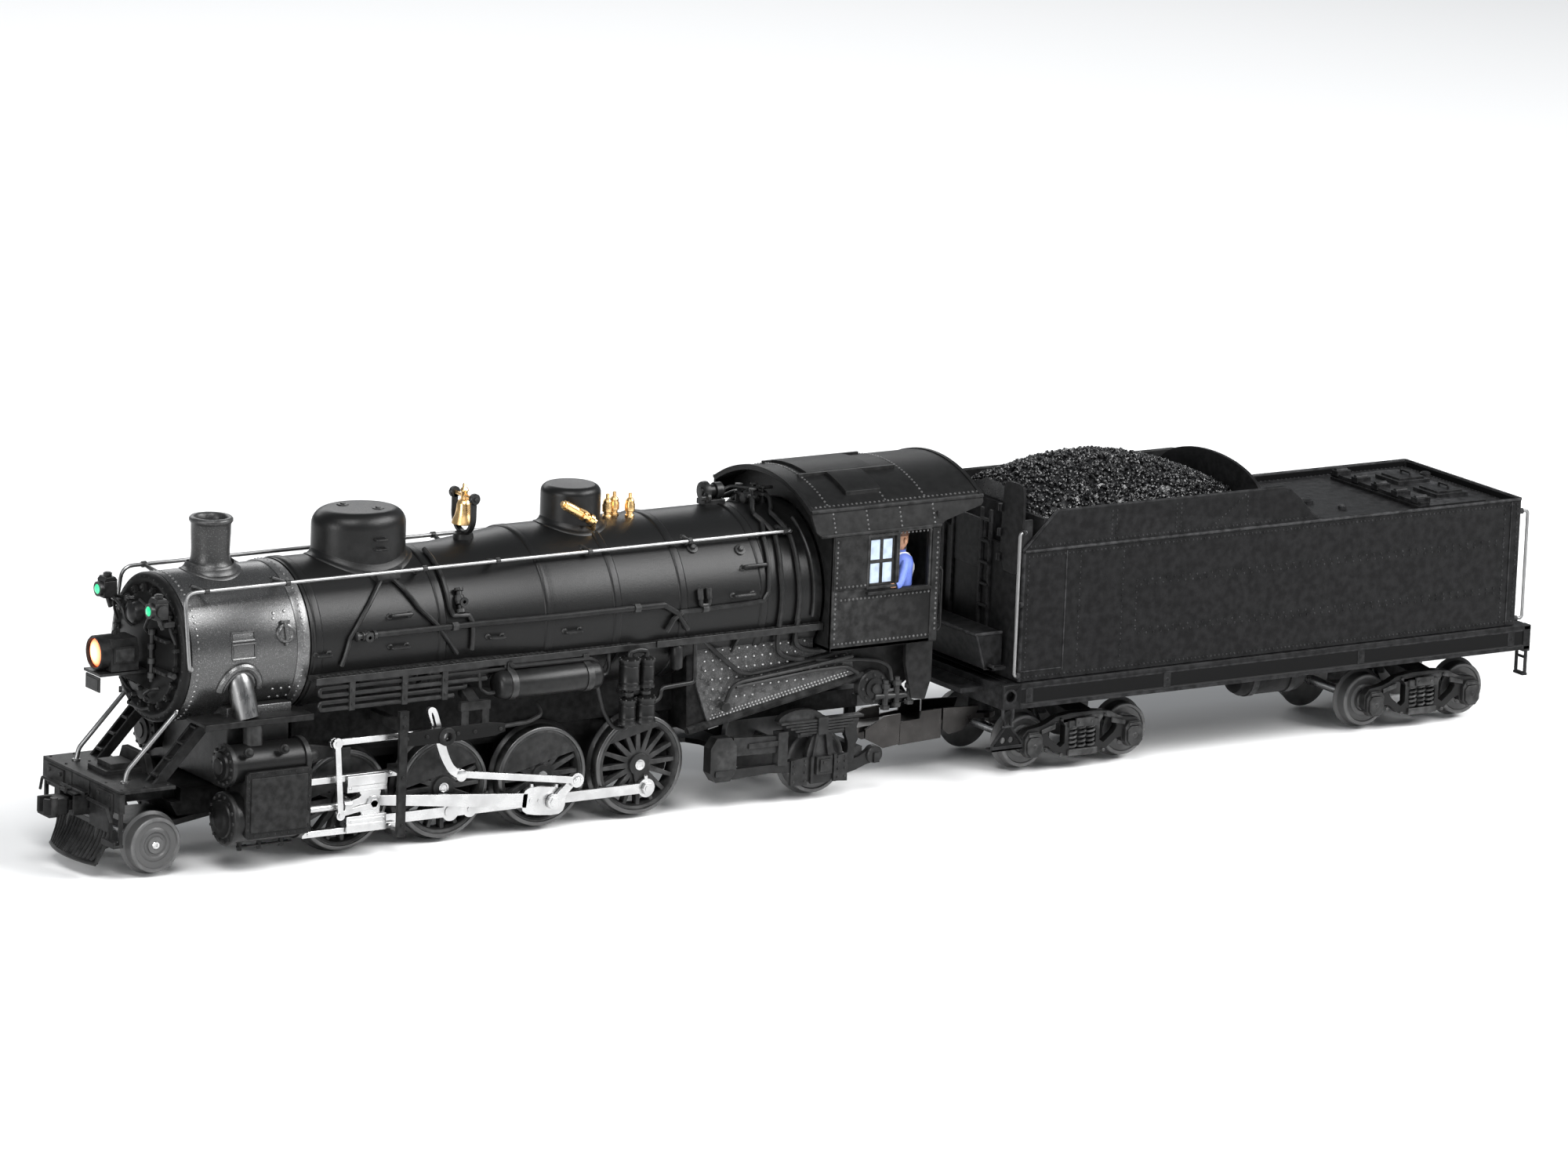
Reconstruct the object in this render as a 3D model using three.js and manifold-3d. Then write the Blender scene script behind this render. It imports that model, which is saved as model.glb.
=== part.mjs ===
// O gauge 2-8-2 steam locomotive with an eight-wheel tender, modelled at 1:48.
// Millimetres, +Z up, +X from the pilot towards the tender, -Y is the left-hand side.
// Shapes are laid out from the rail height under the third (main) driving axle. addPart then
// moves the origin back to the middle of the model's length.

import * as THREE from 'three';
import { mergeVertices } from 'three/addons/utils/BufferGeometryUtils.js';
import Module from 'manifold-3d';

const wasm = await Module();
wasm.setup();

// ---------------------------------------------------------------- driving dimensions

const MIDDLE_X = 113.4;             // main axle to the middle of the length over couplers
const GAP = 0.3;                    // assembly clearance between separate pieces
const DEG = Math.PI / 180;

const WHEEL_BACK = 14.6;            // inside face of every wheel, from the centreline
const WHEEL_FACE = 19.6;            // outside face of every wheel
const DRIVER_R = 15.85;             // 63 inch driver tread at 1:48, a little reduced
const AXLE_SPACING = 35.45;         // 67 inches at 1:48
const CRANK_R = 7.4;                // half of a 28 inch stroke at 1:48
const CRANK_ANGLE = 13 * DEG;       // left crank, measured back from straight down
const DRIVER_X = [-2, -1, 0, 1].map((n) => n * AXLE_SPACING);
const AXLE_R = 2.0;
const PIN_R = 1.4;

const MAIN_ROD_LENGTH = 66.4;
const LINK_PIVOT = [-42.5, 35.2];
const LINK_FOOT_R = 16.0;
const LINK_FOOT_ANGLE = 31.7 * DEG; // left foot, measured back from straight down
const RETURN_CRANK = [8.7, -0.65];  // left return-crank pin, from the axle

const SIDE_ROD_Y = [20.1, 21.4];    // stack of motion planes, outwards from the wheel face
const MAIN_ROD_Y = [21.8, 23.2];
const RETURN_CRANK_Y = [23.5, 24.9];
const ECCENTRIC_ROD_Y = [25.2, 26.4];
const LINK_Y = [26.8, 28.0];
const LEVER_Y = [27.5, 28.5];
const GUIDE_Y = [23.8, 26.0];

const BOILER_Z = 65;                // boiler axis above the rails
const SMOKEBOX_R = 22.9;
const FRONT_COURSE_R = 23.4;
const REAR_COURSE_R = 26.3;
const SMOKEBOX_X = [-126.8, -86.0];
const BOILER_X = [-85.7, 96.6];
const CONE_X = [-28, 0];
const SHEET = 2.0;                  // die-cast wall
const FIREBOX_HALF = 22.5;

const CYLINDER_X = [-117.4, -89.1];
const CYLINDER_Y = 24.6;
const CYLINDER_R = 8.3;
const VALVE_Z = 32.5;
const VALVE_R = 6.6;

const BOARD_Z = [55.5, 57.0];       // running boards
const BOARD_HALF = 27.2;
const STEP_Z = [45.1, 46.3];        // front step boards

const CAB_X = [97.2, 137.1];
const CAB_HALF = 30.8;
const CAB_FLOOR = 48.2;
const CAB_EAVE = 85.6;
const CAB_WALL = 1.4;
const ROOF_X = [89.6, 154.3];
const ROOF_SPRING = [28.3, 93.2];
const ROOF_PEAK = 101.5;

const PONY_X = -135.8;
const PONY_R = 8.6;
const PONY_PIVOT_X = -100;
const TRAILING_X = 100.8;
const TRAILING_R = 10.6;
const TRAILING_PIVOT_X = 56;

const DRAWBAR_X = [126, 176];
const DRAWBAR_Z = 14.2;

const TENDER_X = [168.6, 366.0];
const TENDER_HALF = 32.0;
const TENDER_Z = [31.8, 74.2];
const SILL_Z = [23.2, 31.5];
const SILL_X = [166.3, 371.8];
const DECK_Z = 72.4;
const BUNKER_END = 284;
const TRUCK_X = [199.8, 335.0];
const TRUCK_HALF_BASE = 19.5;
const TENDER_WHEEL_R = 8.6;

const BIG = 20;                     // facets round the boiler
const ROUND = 12;                   // facets round wheels, domes and cylinders
const SMALL = 8;                   // facets round pins, eyes and small bars

// ---------------------------------------------------------------- finishes

const finish = (color, roughness, metalness) => ({ color, roughness, metalness });
const SATIN_BLACK = finish(0x1a1a1b, 0.45, 0.3);
const TENDER_BLACK = finish(0x222224, 0.6, 0.2);
const GRAPHITE = finish(0x3a3b3c, 0.5, 0.5);
const BRIGHT_STEEL = finish(0xc8c9c8, 0.3, 0.9);
const WHEEL_GREY = finish(0x2c2c2d, 0.5, 0.6);
const PLAIN_WHEEL_GREY = finish(0x5c5c5c, 0.55, 0.5);
const BRASS = finish(0xc79a4b, 0.3, 0.9);
const LENS_ORANGE = finish(0xff6a2a, 0.2, 0.0);
const COAL_BLACK = finish(0x161617, 0.8, 0.1);
const FIGURE_BLUE = finish(0x5b74c9, 0.7, 0.0);
const BOARD_GREEN = finish(0x1f5a34, 0.6, 0.1);
const SPEAKER_GREY = finish(0x303030, 0.8, 0.1);

// ---------------------------------------------------------------- shape helpers

// A closed mesh as a solid: shared corners merged, slivers dropped, faces turned outwards.
function toSolid(geometry) {
  const bare = geometry.clone();
  bare.deleteAttribute('normal');
  bare.deleteAttribute('uv');
  const merged = mergeVertices(bare, 1e-4);
  const points = merged.attributes.position.array;
  const index = merged.index.array;
  const triangles = [];
  let volume = 0;
  for (let i = 0; i < index.length; i += 3) {
    const [a, b, c] = [index[i], index[i + 1], index[i + 2]];
    if (a === b || b === c || c === a) continue;
    triangles.push(a, b, c);
    const corner = (n) => new THREE.Vector3().fromArray(points, n * 3);
    volume += corner(a).dot(corner(b).cross(corner(c)));
  }
  if (volume < 0) {
    for (let i = 0; i < triangles.length; i += 3) {
      [triangles[i], triangles[i + 1]] = [triangles[i + 1], triangles[i]];
    }
  }
  return new wasm.Manifold(new wasm.Mesh({
    numProp: 3,
    vertProperties: new Float32Array(points),
    triVerts: new Uint32Array(triangles),
  }));
}

const join = (...solids) => solids.reduce((whole, solid) => whole.add(solid));
const cut = (whole, ...solids) => solids.reduce((rest, solid) => rest.subtract(solid), whole);

// Box between two x, two y and two z limits.
function block([x0, x1], [y0, y1], [z0, z1]) {
  const box = new THREE.BoxGeometry(x1 - x0, Math.abs(y1 - y0), z1 - z0);
  box.translate((x0 + x1) / 2, (y0 + y1) / 2, (z0 + z1) / 2);
  return toSolid(box);
}

// Round bar along X, Y or Z, between two stations, with an optional second radius.
function barX(radius, [x0, x1], y, z, sides = ROUND, endRadius = radius) {
  const bar = new THREE.CylinderGeometry(endRadius, radius, x1 - x0, sides);
  bar.rotateZ(-Math.PI / 2);
  bar.translate((x0 + x1) / 2, y, z);
  return toSolid(bar);
}

function barY(radius, [y0, y1], x, z, sides = SMALL) {
  const bar = new THREE.CylinderGeometry(radius, radius, Math.abs(y1 - y0), sides);
  bar.translate(x, (y0 + y1) / 2, z);
  return toSolid(bar);
}

function barZ(radius, [z0, z1], x, y, sides = SMALL, endRadius = radius) {
  const bar = new THREE.CylinderGeometry(endRadius, radius, z1 - z0, sides);
  bar.rotateX(Math.PI / 2);
  bar.translate(x, y, (z0 + z1) / 2);
  return toSolid(bar);
}

// Turned shape: the profile holds [radius, distance along the axis].
function turned(profile, axis, [x, y, z], sides = ROUND, squeeze = 1) {
  const lathe = new THREE.LatheGeometry(profile.map(([r, t]) => new THREE.Vector2(r, t)), sides);
  if (axis === 'x') lathe.rotateZ(-Math.PI / 2);
  if (axis === 'z') lathe.rotateX(Math.PI / 2);
  lathe.scale(1, squeeze, 1);
  lathe.translate(x, y, z);
  return toSolid(lathe);
}

function outlineShape(outline) {
  return new THREE.Shape(outline.map(([u, v]) => new THREE.Vector2(u, v)));
}

// Plate cut from an outline in the XZ plane, from y0 to y1.
function plateXZ(outline, [y0, y1]) {
  const plate = new THREE.ExtrudeGeometry(outlineShape(outline), {
    depth: Math.abs(y1 - y0), bevelEnabled: false, curveSegments: 8,
  });
  plate.rotateX(Math.PI / 2);
  plate.translate(0, Math.max(y0, y1), 0);
  return toSolid(plate);
}

// Plate cut from an outline in the YZ plane, from x0 to x1.
function plateYZ(outline, [x0, x1]) {
  const plate = new THREE.ExtrudeGeometry(outlineShape(outline), {
    depth: x1 - x0, bevelEnabled: false, curveSegments: 8,
  });
  plate.applyMatrix4(new THREE.Matrix4().set(0, 0, 1, x0, 1, 0, 0, 0, 0, 1, 0, 0, 0, 0, 0, 1));
  return toSolid(plate);
}

// Plate cut from an outline in the XY plane, from z0 to z1.
function plateXY(outline, [z0, z1]) {
  const plate = new THREE.ExtrudeGeometry(outlineShape(outline), {
    depth: z1 - z0, bevelEnabled: false, curveSegments: 8,
  });
  plate.translate(0, 0, z0);
  return toSolid(plate);
}

// Round bar that follows a smooth path through the given points.
function pipe(points, radius, steps = 4, sides = 8) {
  const ring = new THREE.Shape();
  ring.absarc(0, 0, radius, 0, Math.PI * 2);
  const path = new THREE.CatmullRomCurve3(points.map((p) => new THREE.Vector3(...p)));
  return toSolid(new THREE.ExtrudeGeometry(ring, {
    steps, curveSegments: sides / 2, extrudePath: path,
  }));
}

// Points on a circular arc, from one angle to another.
function arc([cu, cv], radius, from, to, count) {
  return Array.from({ length: count + 1 }, (_, i) => {
    const angle = from + (to - from) * i / count;
    return [cu + radius * Math.cos(angle), cv + radius * Math.sin(angle)];
  });
}

// Arc over the centreline between two springing points, drawn inside it by an offset.
function archOver(halfWidth, spring, peak, offset = 0, count = 14) {
  const rise = peak - spring;
  const radius = (halfWidth ** 2 + rise ** 2) / (2 * rise);
  const spread = Math.asin(halfWidth / radius);
  return arc([0, peak - radius], radius - offset, Math.PI / 2 - spread, Math.PI / 2 + spread, count);
}

// A pair of limits on the chosen side of the centreline (side is -1 for left, +1 for right).
const onSide = (side, [inner, outer]) => [side * inner, side * outer];

const group = new THREE.Group();

// Turns a solid into a named mesh. Its place is measured from the main axle.
function addPart(name, solid, { color, roughness, metalness }, [x, y, z] = [0, 0, 0]) {
  const { vertProperties, triVerts } = solid.getMesh();
  const geometry = new THREE.BufferGeometry();
  geometry.setAttribute('position', new THREE.Float32BufferAttribute(vertProperties, 3));
  geometry.setIndex(new THREE.Uint32BufferAttribute(triVerts, 1));
  geometry.computeVertexNormals();
  const material = new THREE.MeshStandardMaterial({ color, roughness, metalness });
  const mesh = new THREE.Mesh(geometry, material);
  mesh.name = name;
  mesh.position.set(x - MIDDLE_X, y, z);
  group.add(mesh);
}

// ---------------------------------------------------------------- running-gear geometry

// The right-hand cranks are a quarter turn ahead of the left-hand ones.
const quarter = (side, [x, z]) => (side < 0 ? [x, z] : [-z, x]);

const crankPin = (side) => quarter(side, [
  CRANK_R * Math.sin(CRANK_ANGLE),
  -CRANK_R * Math.cos(CRANK_ANGLE),
]);

const returnCrankPin = (side) => quarter(side, RETURN_CRANK);

// Wrist pin: on the cylinder centreline, one main-rod length ahead of the main crank pin.
function wristX(side) {
  const [px, pz] = crankPin(side);
  return px - Math.sqrt(MAIN_ROD_LENGTH ** 2 - pz ** 2);
}

const leftFoot = [
  LINK_PIVOT[0] + LINK_FOOT_R * Math.sin(LINK_FOOT_ANGLE),
  LINK_PIVOT[1] - LINK_FOOT_R * Math.cos(LINK_FOOT_ANGLE),
];
const ECCENTRIC_ROD_LENGTH = Math.hypot(
  RETURN_CRANK[0] - leftFoot[0],
  DRIVER_R + RETURN_CRANK[1] - leftFoot[1],
);

// Angle of the link's foot, back from straight down, that the eccentric rod gives it.
function footAngle(side) {
  const [ex, ez] = returnCrankPin(side);
  const dx = ex - LINK_PIVOT[0];
  const dz = DRIVER_R + ez - LINK_PIVOT[1];
  const reach = Math.hypot(dx, dz);
  const cosine = (LINK_FOOT_R ** 2 + reach ** 2 - ECCENTRIC_ROD_LENGTH ** 2)
    / (2 * LINK_FOOT_R * reach);
  return Math.atan2(dx, -dz) - Math.acos(cosine);
}

function footPoint(side) {
  const angle = footAngle(side);
  return [
    LINK_PIVOT[0] + LINK_FOOT_R * Math.sin(angle),
    LINK_PIVOT[1] - LINK_FOOT_R * Math.cos(angle),
  ];
}

// Bar with a round eye at each end, in a motion plane, between two pins.
function rodBetween([x0, z0], [x1, z1], halfHeight, [eye0, eye1], limits, side) {
  const length = Math.hypot(x1 - x0, z1 - z0);
  const nx = -(z1 - z0) / length * halfHeight;
  const nz = (x1 - x0) / length * halfHeight;
  const bar = plateXZ([
    [x0 + nx, z0 + nz], [x1 + nx, z1 + nz], [x1 - nx, z1 - nz], [x0 - nx, z0 - nz],
  ], onSide(side, limits));
  return join(
    bar,
    barY(eye0, onSide(side, limits), x0, z0),
    barY(eye1, onSide(side, limits), x1, z1),
  );
}

// Hole that clears a turning pin all round, in spite of its flat facets.
const pinHole = (radius, limits, x, z) => barY(
  (radius + 0.06) / Math.cos(Math.PI / SMALL), limits, x, z,
);

// ---------------------------------------------------------------- wheels

const SPOKES = 12;

// Spoked driving wheel: flanged tyre, web with openings, crank boss and crank pin.
// The web stays solid opposite the crank, where the counterweight is.
function driverWheel(side, pinReach) {
  const disc = turned([
    [0, WHEEL_BACK], [DRIVER_R + 1.2, WHEEL_BACK], [DRIVER_R + 1.2, WHEEL_BACK + 0.9],
    [DRIVER_R, WHEEL_BACK + 1.5], [DRIVER_R, WHEEL_FACE], [0, WHEEL_FACE],
  ], 'y', [0, 0, 0], 18);
  const [px, pz] = crankPin(side);
  const weightAngle = Math.atan2(-pz, -px);
  const openings = [];
  for (let i = 0; i < SPOKES; i += 1) {
    const middle = weightAngle + (i + 0.5) * 2 * Math.PI / SPOKES;
    const fromWeight = Math.min(i + 0.5, SPOKES - i - 0.5);
    if (fromWeight < 2) continue;
    const corner = (radius, turn) => [
      radius * Math.cos(middle + turn), radius * Math.sin(middle + turn),
    ];
    openings.push(plateXZ(
      [corner(4.6, 0), corner(12.7, -0.2), corner(12.7, 0.2)], [WHEEL_BACK - 1, WHEEL_FACE + 1],
    ));
  }
  return join(
    cut(disc, ...openings),
    barY(2.9, [WHEEL_FACE - 1, WHEEL_FACE + 0.2], px, pz),
    barY(PIN_R, [WHEEL_FACE, pinReach], px, pz),
  );
}

// Turns a right-hand solid, built on +Y, to face the given side.
function facing(side, solid) {
  if (side > 0) return solid;
  const { vertProperties, triVerts } = solid.getMesh();
  const geometry = new THREE.BufferGeometry();
  geometry.setAttribute('position', new THREE.Float32BufferAttribute(vertProperties, 3));
  geometry.setIndex(new THREE.Uint32BufferAttribute(triVerts, 1));
  geometry.scale(1, -1, 1);
  return toSolid(geometry);
}

// Return crank: a short arm on the end of the main pin, carrying the eccentric-rod pin.
function returnCrank(side) {
  const [px, pz] = crankPin(side);
  const [ex, ez] = returnCrankPin(side);
  return join(
    rodBetween([px, pz], [ex, ez], 1.5, [2.3, 1.7], RETURN_CRANK_Y, 1),
    barY(1.0, [RETURN_CRANK_Y[1] - 0.2, ECCENTRIC_ROD_Y[1] + 0.2], ex, ez),
  );
}

const GEAR_R = 6.0;
const GEAR_TEETH = 16;

function axleGear() {
  const outline = [];
  for (let tooth = 0; tooth < GEAR_TEETH; tooth += 1) {
    const pitch = 2 * Math.PI / GEAR_TEETH;
    for (const [radius, step] of [[GEAR_R - 1, 0], [GEAR_R, 0.3], [GEAR_R, 0.6], [GEAR_R - 1, 0.9]]) {
      const angle = (tooth + step) * pitch;
      outline.push([radius * Math.cos(angle), radius * Math.sin(angle)]);
    }
  }
  return plateXZ(outline, [-1.8, 1.8]);
}

function driverSet(isMain) {
  const pinReach = isMain ? RETURN_CRANK_Y[0] + 0.2 : SIDE_ROD_Y[1] + 0.25;
  const wheels = [-1, 1].map((side) => facing(side, driverWheel(side, pinReach)));
  const axle = barY(AXLE_R, [-WHEEL_BACK - 1, WHEEL_BACK + 1], 0, 0);
  if (!isMain) return join(axle, ...wheels);
  const cranks = [-1, 1].map((side) => facing(side, returnCrank(side)));
  return join(axle, ...wheels, ...cranks, axleGear());
}

// Plain disc wheelset turned in one piece; the journals reach past the wheels.
function plainSet(radius, journalEnd) {
  const half = [
    [0, journalEnd], [1.2, journalEnd], [1.2, WHEEL_FACE], [radius, WHEEL_FACE],
    [radius, 15.8], [radius + 1.2, 15.2], [radius + 1.2, WHEEL_BACK], [1.6, WHEEL_BACK],
  ];
  const otherHalf = half.map(([r, t]) => [r, -t]).reverse();
  return turned([...half, ...otherHalf], 'y', [0, 0, 0], ROUND);
}

DRIVER_X.forEach((x, i) => {
  addPart(`driver_axle_${i + 1}`, driverSet(i === 2), WHEEL_GREY, [x, 0, DRIVER_R]);
});
addPart('pony_wheelset', plainSet(PONY_R, 19.9), PLAIN_WHEEL_GREY, [PONY_X, 0, PONY_R]);
addPart('trailing_wheelset', plainSet(TRAILING_R, 22.6), PLAIN_WHEEL_GREY,
  [TRAILING_X, 0, TRAILING_R]);
TRUCK_X.flatMap((x) => [x - TRUCK_HALF_BASE, x + TRUCK_HALF_BASE]).forEach((x, i) => {
  addPart(`tender_wheelset_${i + 1}`, plainSet(TENDER_WHEEL_R, 22.4), PLAIN_WHEEL_GREY,
    [x, 0, TENDER_WHEEL_R]);
});

// ---------------------------------------------------------------- rods and valve gear

function sideRod(side) {
  const [px, pz] = crankPin(side);
  const limits = onSide(side, SIDE_ROD_Y);
  const z = DRIVER_R + pz;
  const pins = DRIVER_X.map((x) => x + px);
  const knuckle = pins[1] + 7.0;
  const bar = rodBetween([pins[0], z], [pins[3], z], 1.6, [3.0, 3.0], SIDE_ROD_Y, side);
  const eyes = [pins[1], pins[2]].map((x) => barY(3.0, limits, x, z));
  const swell = barY(2.5, limits, knuckle, z);
  const holes = pins.map((x) => pinHole(PIN_R, onSide(side, [19, 23]), x, z));
  return cut(join(bar, ...eyes, swell), ...holes);
}

// Main rod: front eye behind the crosshead, tapered bar, and a strapped block at the crank pin.
function mainRod(side) {
  const [px, pz] = crankPin(side);
  const limits = onSide(side, MAIN_ROD_Y);
  const front = [wristX(side), DRIVER_R];
  const back = [px, DRIVER_R + pz];
  const slope = (back[1] - front[1]) / (back[0] - front[0]);
  const at = (x, offset) => [x, front[1] + (x - front[0]) * slope + offset];
  const bar = plateXZ([
    at(front[0], 1.5), at(back[0] - 9, 2.3), at(back[0] - 9, -2.3), at(front[0], -1.5),
  ], limits);
  const strap = plateXZ([
    at(back[0] - 10.5, 3.0), at(back[0] - 8, 4.6), at(back[0] + 3, 4.6), at(back[0] + 5, 2.6),
    at(back[0] + 5, -2.6), at(back[0] + 3, -4.6), at(back[0] - 8, -4.6), at(back[0] - 10.5, -3.0),
  ], limits);
  const eye = barY(2.6, limits, front[0], front[1]);
  const body = join(bar, strap, eye);
  return cut(body, pinHole(PIN_R, onSide(side, [21, 24]), back[0], back[1]));
}

function eccentricRod(side) {
  const [ex, ez] = returnCrankPin(side);
  const back = [ex, DRIVER_R + ez];
  const rod = rodBetween(footPoint(side), back, 1.1, [1.9, 2.0], ECCENTRIC_ROD_Y, side);
  return cut(rod, pinHole(1.0, onSide(side, [24.5, 27]), ...back));
}

const GUIDE_UPPER_Z = [23.4, 25.4];
const GUIDE_LOWER_Z = [7.0, 9.0];
const LEVER_TOP = [-78.5, 36.2];
const LEVER_FOOT_Z = 13.5;
const UNION_LENGTH = 12.45;          // wrist pin to the combination lever's foot

// Crosshead with shoes above and below, piston rod, and the arm of the union link.
function crosshead(side) {
  const x = wristX(side);
  const reach = [x - 9.6, x + 4.4];
  const body = block([x - 6, x + 4], onSide(side, [23.5, 26.4]), [11.5, 20.5]);
  const upperShoe = block(reach, onSide(side, [23.7, 27.2]), [19.4, 23.1]);
  const lowerShoe = block(reach, onSide(side, [23.7, 27.2]), [9.3, 13.0]);
  const upperLip = block(reach, onSide(side, [26.3, 27.2]), [22, 25.2]);
  const lowerLip = block(reach, onSide(side, [26.3, 27.2]), [7.2, 10]);
  const wristNut = barY(1.9, onSide(side, [26, 27.2]), x, DRIVER_R);
  const pistonRod = barX(1.4, [x - 36, x - 3], side * CYLINDER_Y, DRIVER_R, SMALL);
  const union = rodBetween([x, DRIVER_R - 0.5], [x - UNION_LENGTH, LEVER_FOOT_Z], 0.8,
    [1.6, 1.2], [26.2, 27.2], side);
  return join(body, upperShoe, lowerShoe, upperLip, lowerLip, wristNut, pistonRod, union);
}

// Curved, slotted expansion link with its foot bent back to the eccentric rod.
function expansionLink(side) {
  const limits = onSide(side, LINK_Y);
  const turn = footAngle(side) - LINK_FOOT_ANGLE;
  const [cx, cz] = LINK_PIVOT;
  const place = ([x, z]) => [
    cx + x * Math.cos(turn) - z * Math.sin(turn),
    cz + x * Math.sin(turn) + z * Math.cos(turn),
  ];
  const outline = [
    [-4.6, 8.3], [-3.2, 9.2], [-1.3, 8.6], [0.6, 3], [1.9, -1.5], [3.2, -6], [5.6, -10.6],
    [9.4, -12.6], [9.2, -14.8], [7.2, -14.6], [3.6, -12.2], [0.6, -7], [-1.2, -2], [-2.6, 3],
  ].map(place);
  const slot = [[-3.2, 7.4], [-2.4, 7.2], [-0.6, 1.2], [0.2, -2.6], [-0.5, -2.4], [-1.5, 1.4]];
  const foot = footPoint(side);
  const plate = join(plateXZ(outline, limits), barY(1.9, limits, foot[0], foot[1]));
  const trunnion = barY(1.3, onSide(side, [27.4, 29.2]), cx + 1.2, cz);
  return join(cut(plate, plateXZ(slot.map(place), onSide(side, [26, 29]))), trunnion);
}

function radiusRod(side) {
  const rod = rodBetween([LEVER_TOP[0], LEVER_TOP[1] - 0.2], [LINK_PIVOT[0] - 1.5, 35.9], 1.0,
    [1.6, 1.3], ECCENTRIC_ROD_Y, side);
  return rod;
}

function combinationLever(side) {
  const foot = [wristX(side) - UNION_LENGTH, LEVER_FOOT_Z];
  const lever = rodBetween(LEVER_TOP, foot, 1.0, [1.7, 1.5], LEVER_Y, side);
  const pin = barY(0.8, onSide(side, [26.7, 28]), ...LEVER_TOP);
  return join(lever, pin);
}

for (const side of [-1, 1]) {
  const hand = side < 0 ? 'left' : 'right';
  addPart(`side_rod_${hand}`, sideRod(side), BRIGHT_STEEL);
  addPart(`main_rod_${hand}`, mainRod(side), BRIGHT_STEEL);
  addPart(`eccentric_rod_${hand}`, eccentricRod(side), BRIGHT_STEEL);
  addPart(`crosshead_${hand}`, crosshead(side), BRIGHT_STEEL);
  addPart(`expansion_link_${hand}`, expansionLink(side), BRIGHT_STEEL);
  addPart(`radius_rod_${hand}`, radiusRod(side), BRIGHT_STEEL);
  addPart(`combination_lever_${hand}`, combinationLever(side), BRIGHT_STEEL);
}

// ---------------------------------------------------------------- frame and drive train

const WORM_R = 3.0;
const MOTOR_TILT = 35 * DEG;
const motorAxis = [Math.cos(MOTOR_TILT), Math.sin(MOTOR_TILT)];
const wormOffset = GEAR_R + WORM_R + 0.1;
const wormCentre = [-Math.sin(MOTOR_TILT) * wormOffset, DRIVER_R + Math.cos(MOTOR_TILT) * wormOffset];

// Solid turned about the tilted motor axis: the profile holds [radius, distance from the worm].
function onMotorAxis(profile, sides) {
  const lathe = new THREE.LatheGeometry(profile.map(([r, t]) => new THREE.Vector2(r, t)), sides);
  lathe.rotateZ(-Math.PI / 2);
  lathe.rotateY(-MOTOR_TILT);
  lathe.translate(wormCentre[0], 0, wormCentre[1]);
  return toSolid(lathe);
}

const MOTOR_START = 29;
const MOTOR_END = 62;

function motorShaft() {
  const worm = [[0, -6], [1.2, -6], [1.2, -5]];
  for (const thread of [-5, -1.6, 1.8]) {
    worm.push([WORM_R - 0.9, thread], [WORM_R, thread + 1.7], [WORM_R - 0.9, thread + 3.4]);
  }
  return onMotorAxis([
    ...worm, [1.2, 5.5], [1.2, MOTOR_END + 3], [9, MOTOR_END + 3], [9, MOTOR_END + 10],
    [1.4, MOTOR_END + 10], [0, MOTOR_END + 10],
  ], 12);
}

function motor() {
  return onMotorAxis([
    [1.5, MOTOR_START - 2], [3.4, MOTOR_START - 2], [3.4, MOTOR_START], [9.4, MOTOR_START],
    [11, MOTOR_START + 2], [11, MOTOR_END - 3], [9.4, MOTOR_END], [1.5, MOTOR_END],
    [1.5, MOTOR_START - 2],
  ], 14);
}

function chassisFrame() {
  const frontBar = plateXZ([
    [-143, 19.5], [-143, 23], [-86, 23], [-84, 30], [128, 30], [131, 27.5], [131, 24],
    [52, 24], [50, 11], [-84, 11], [-86, 14.5], [-124, 14.5], [-127, 19.5],
  ], [-11, 11]);
  const slots = DRIVER_X.map((x) => join(
    block([x - 2.5, x + 2.5], [-12, 12], [10, DRIVER_R]),
    barY(2.5, [-12, 12], x, DRIVER_R),
  ));
  const gearWell = block([-17, 9.5], [-4.5, 4.5], [10, 31]);
  const motorWell = block([9, 30], [-8, 8], [26, 31]);
  const lighteningPockets = [-53, -17.8].flatMap((x) => [-1, 1].map(
    (side) => block([x - 9, x + 5], onSide(side, [8, 12]), [14, 26]),
  ));
  const waist = [-1, 1].map((side) => block([-144, -123], onSide(side, [7, 12]), [19, 24]));
  const ponyPost = barZ(1.6, [8.6, 16], PONY_PIVOT_X, 0);
  const trailingPost = barZ(1.8, [17.4, 25], TRAILING_PIVOT_X, 0);
  const drawbarPost = barZ(2.0, [11.5, 26], DRAWBAR_X[0], 0);
  const machined = cut(frontBar, ...slots, gearWell, motorWell, ...lighteningPockets, ...waist);
  return join(machined, ponyPost, trailingPost, drawbarPost);
}

addPart('chassis_frame', chassisFrame(), SATIN_BLACK);
addPart('motor', motor(), BRIGHT_STEEL);
addPart('motor_shaft', motorShaft(), BRASS);

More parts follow.
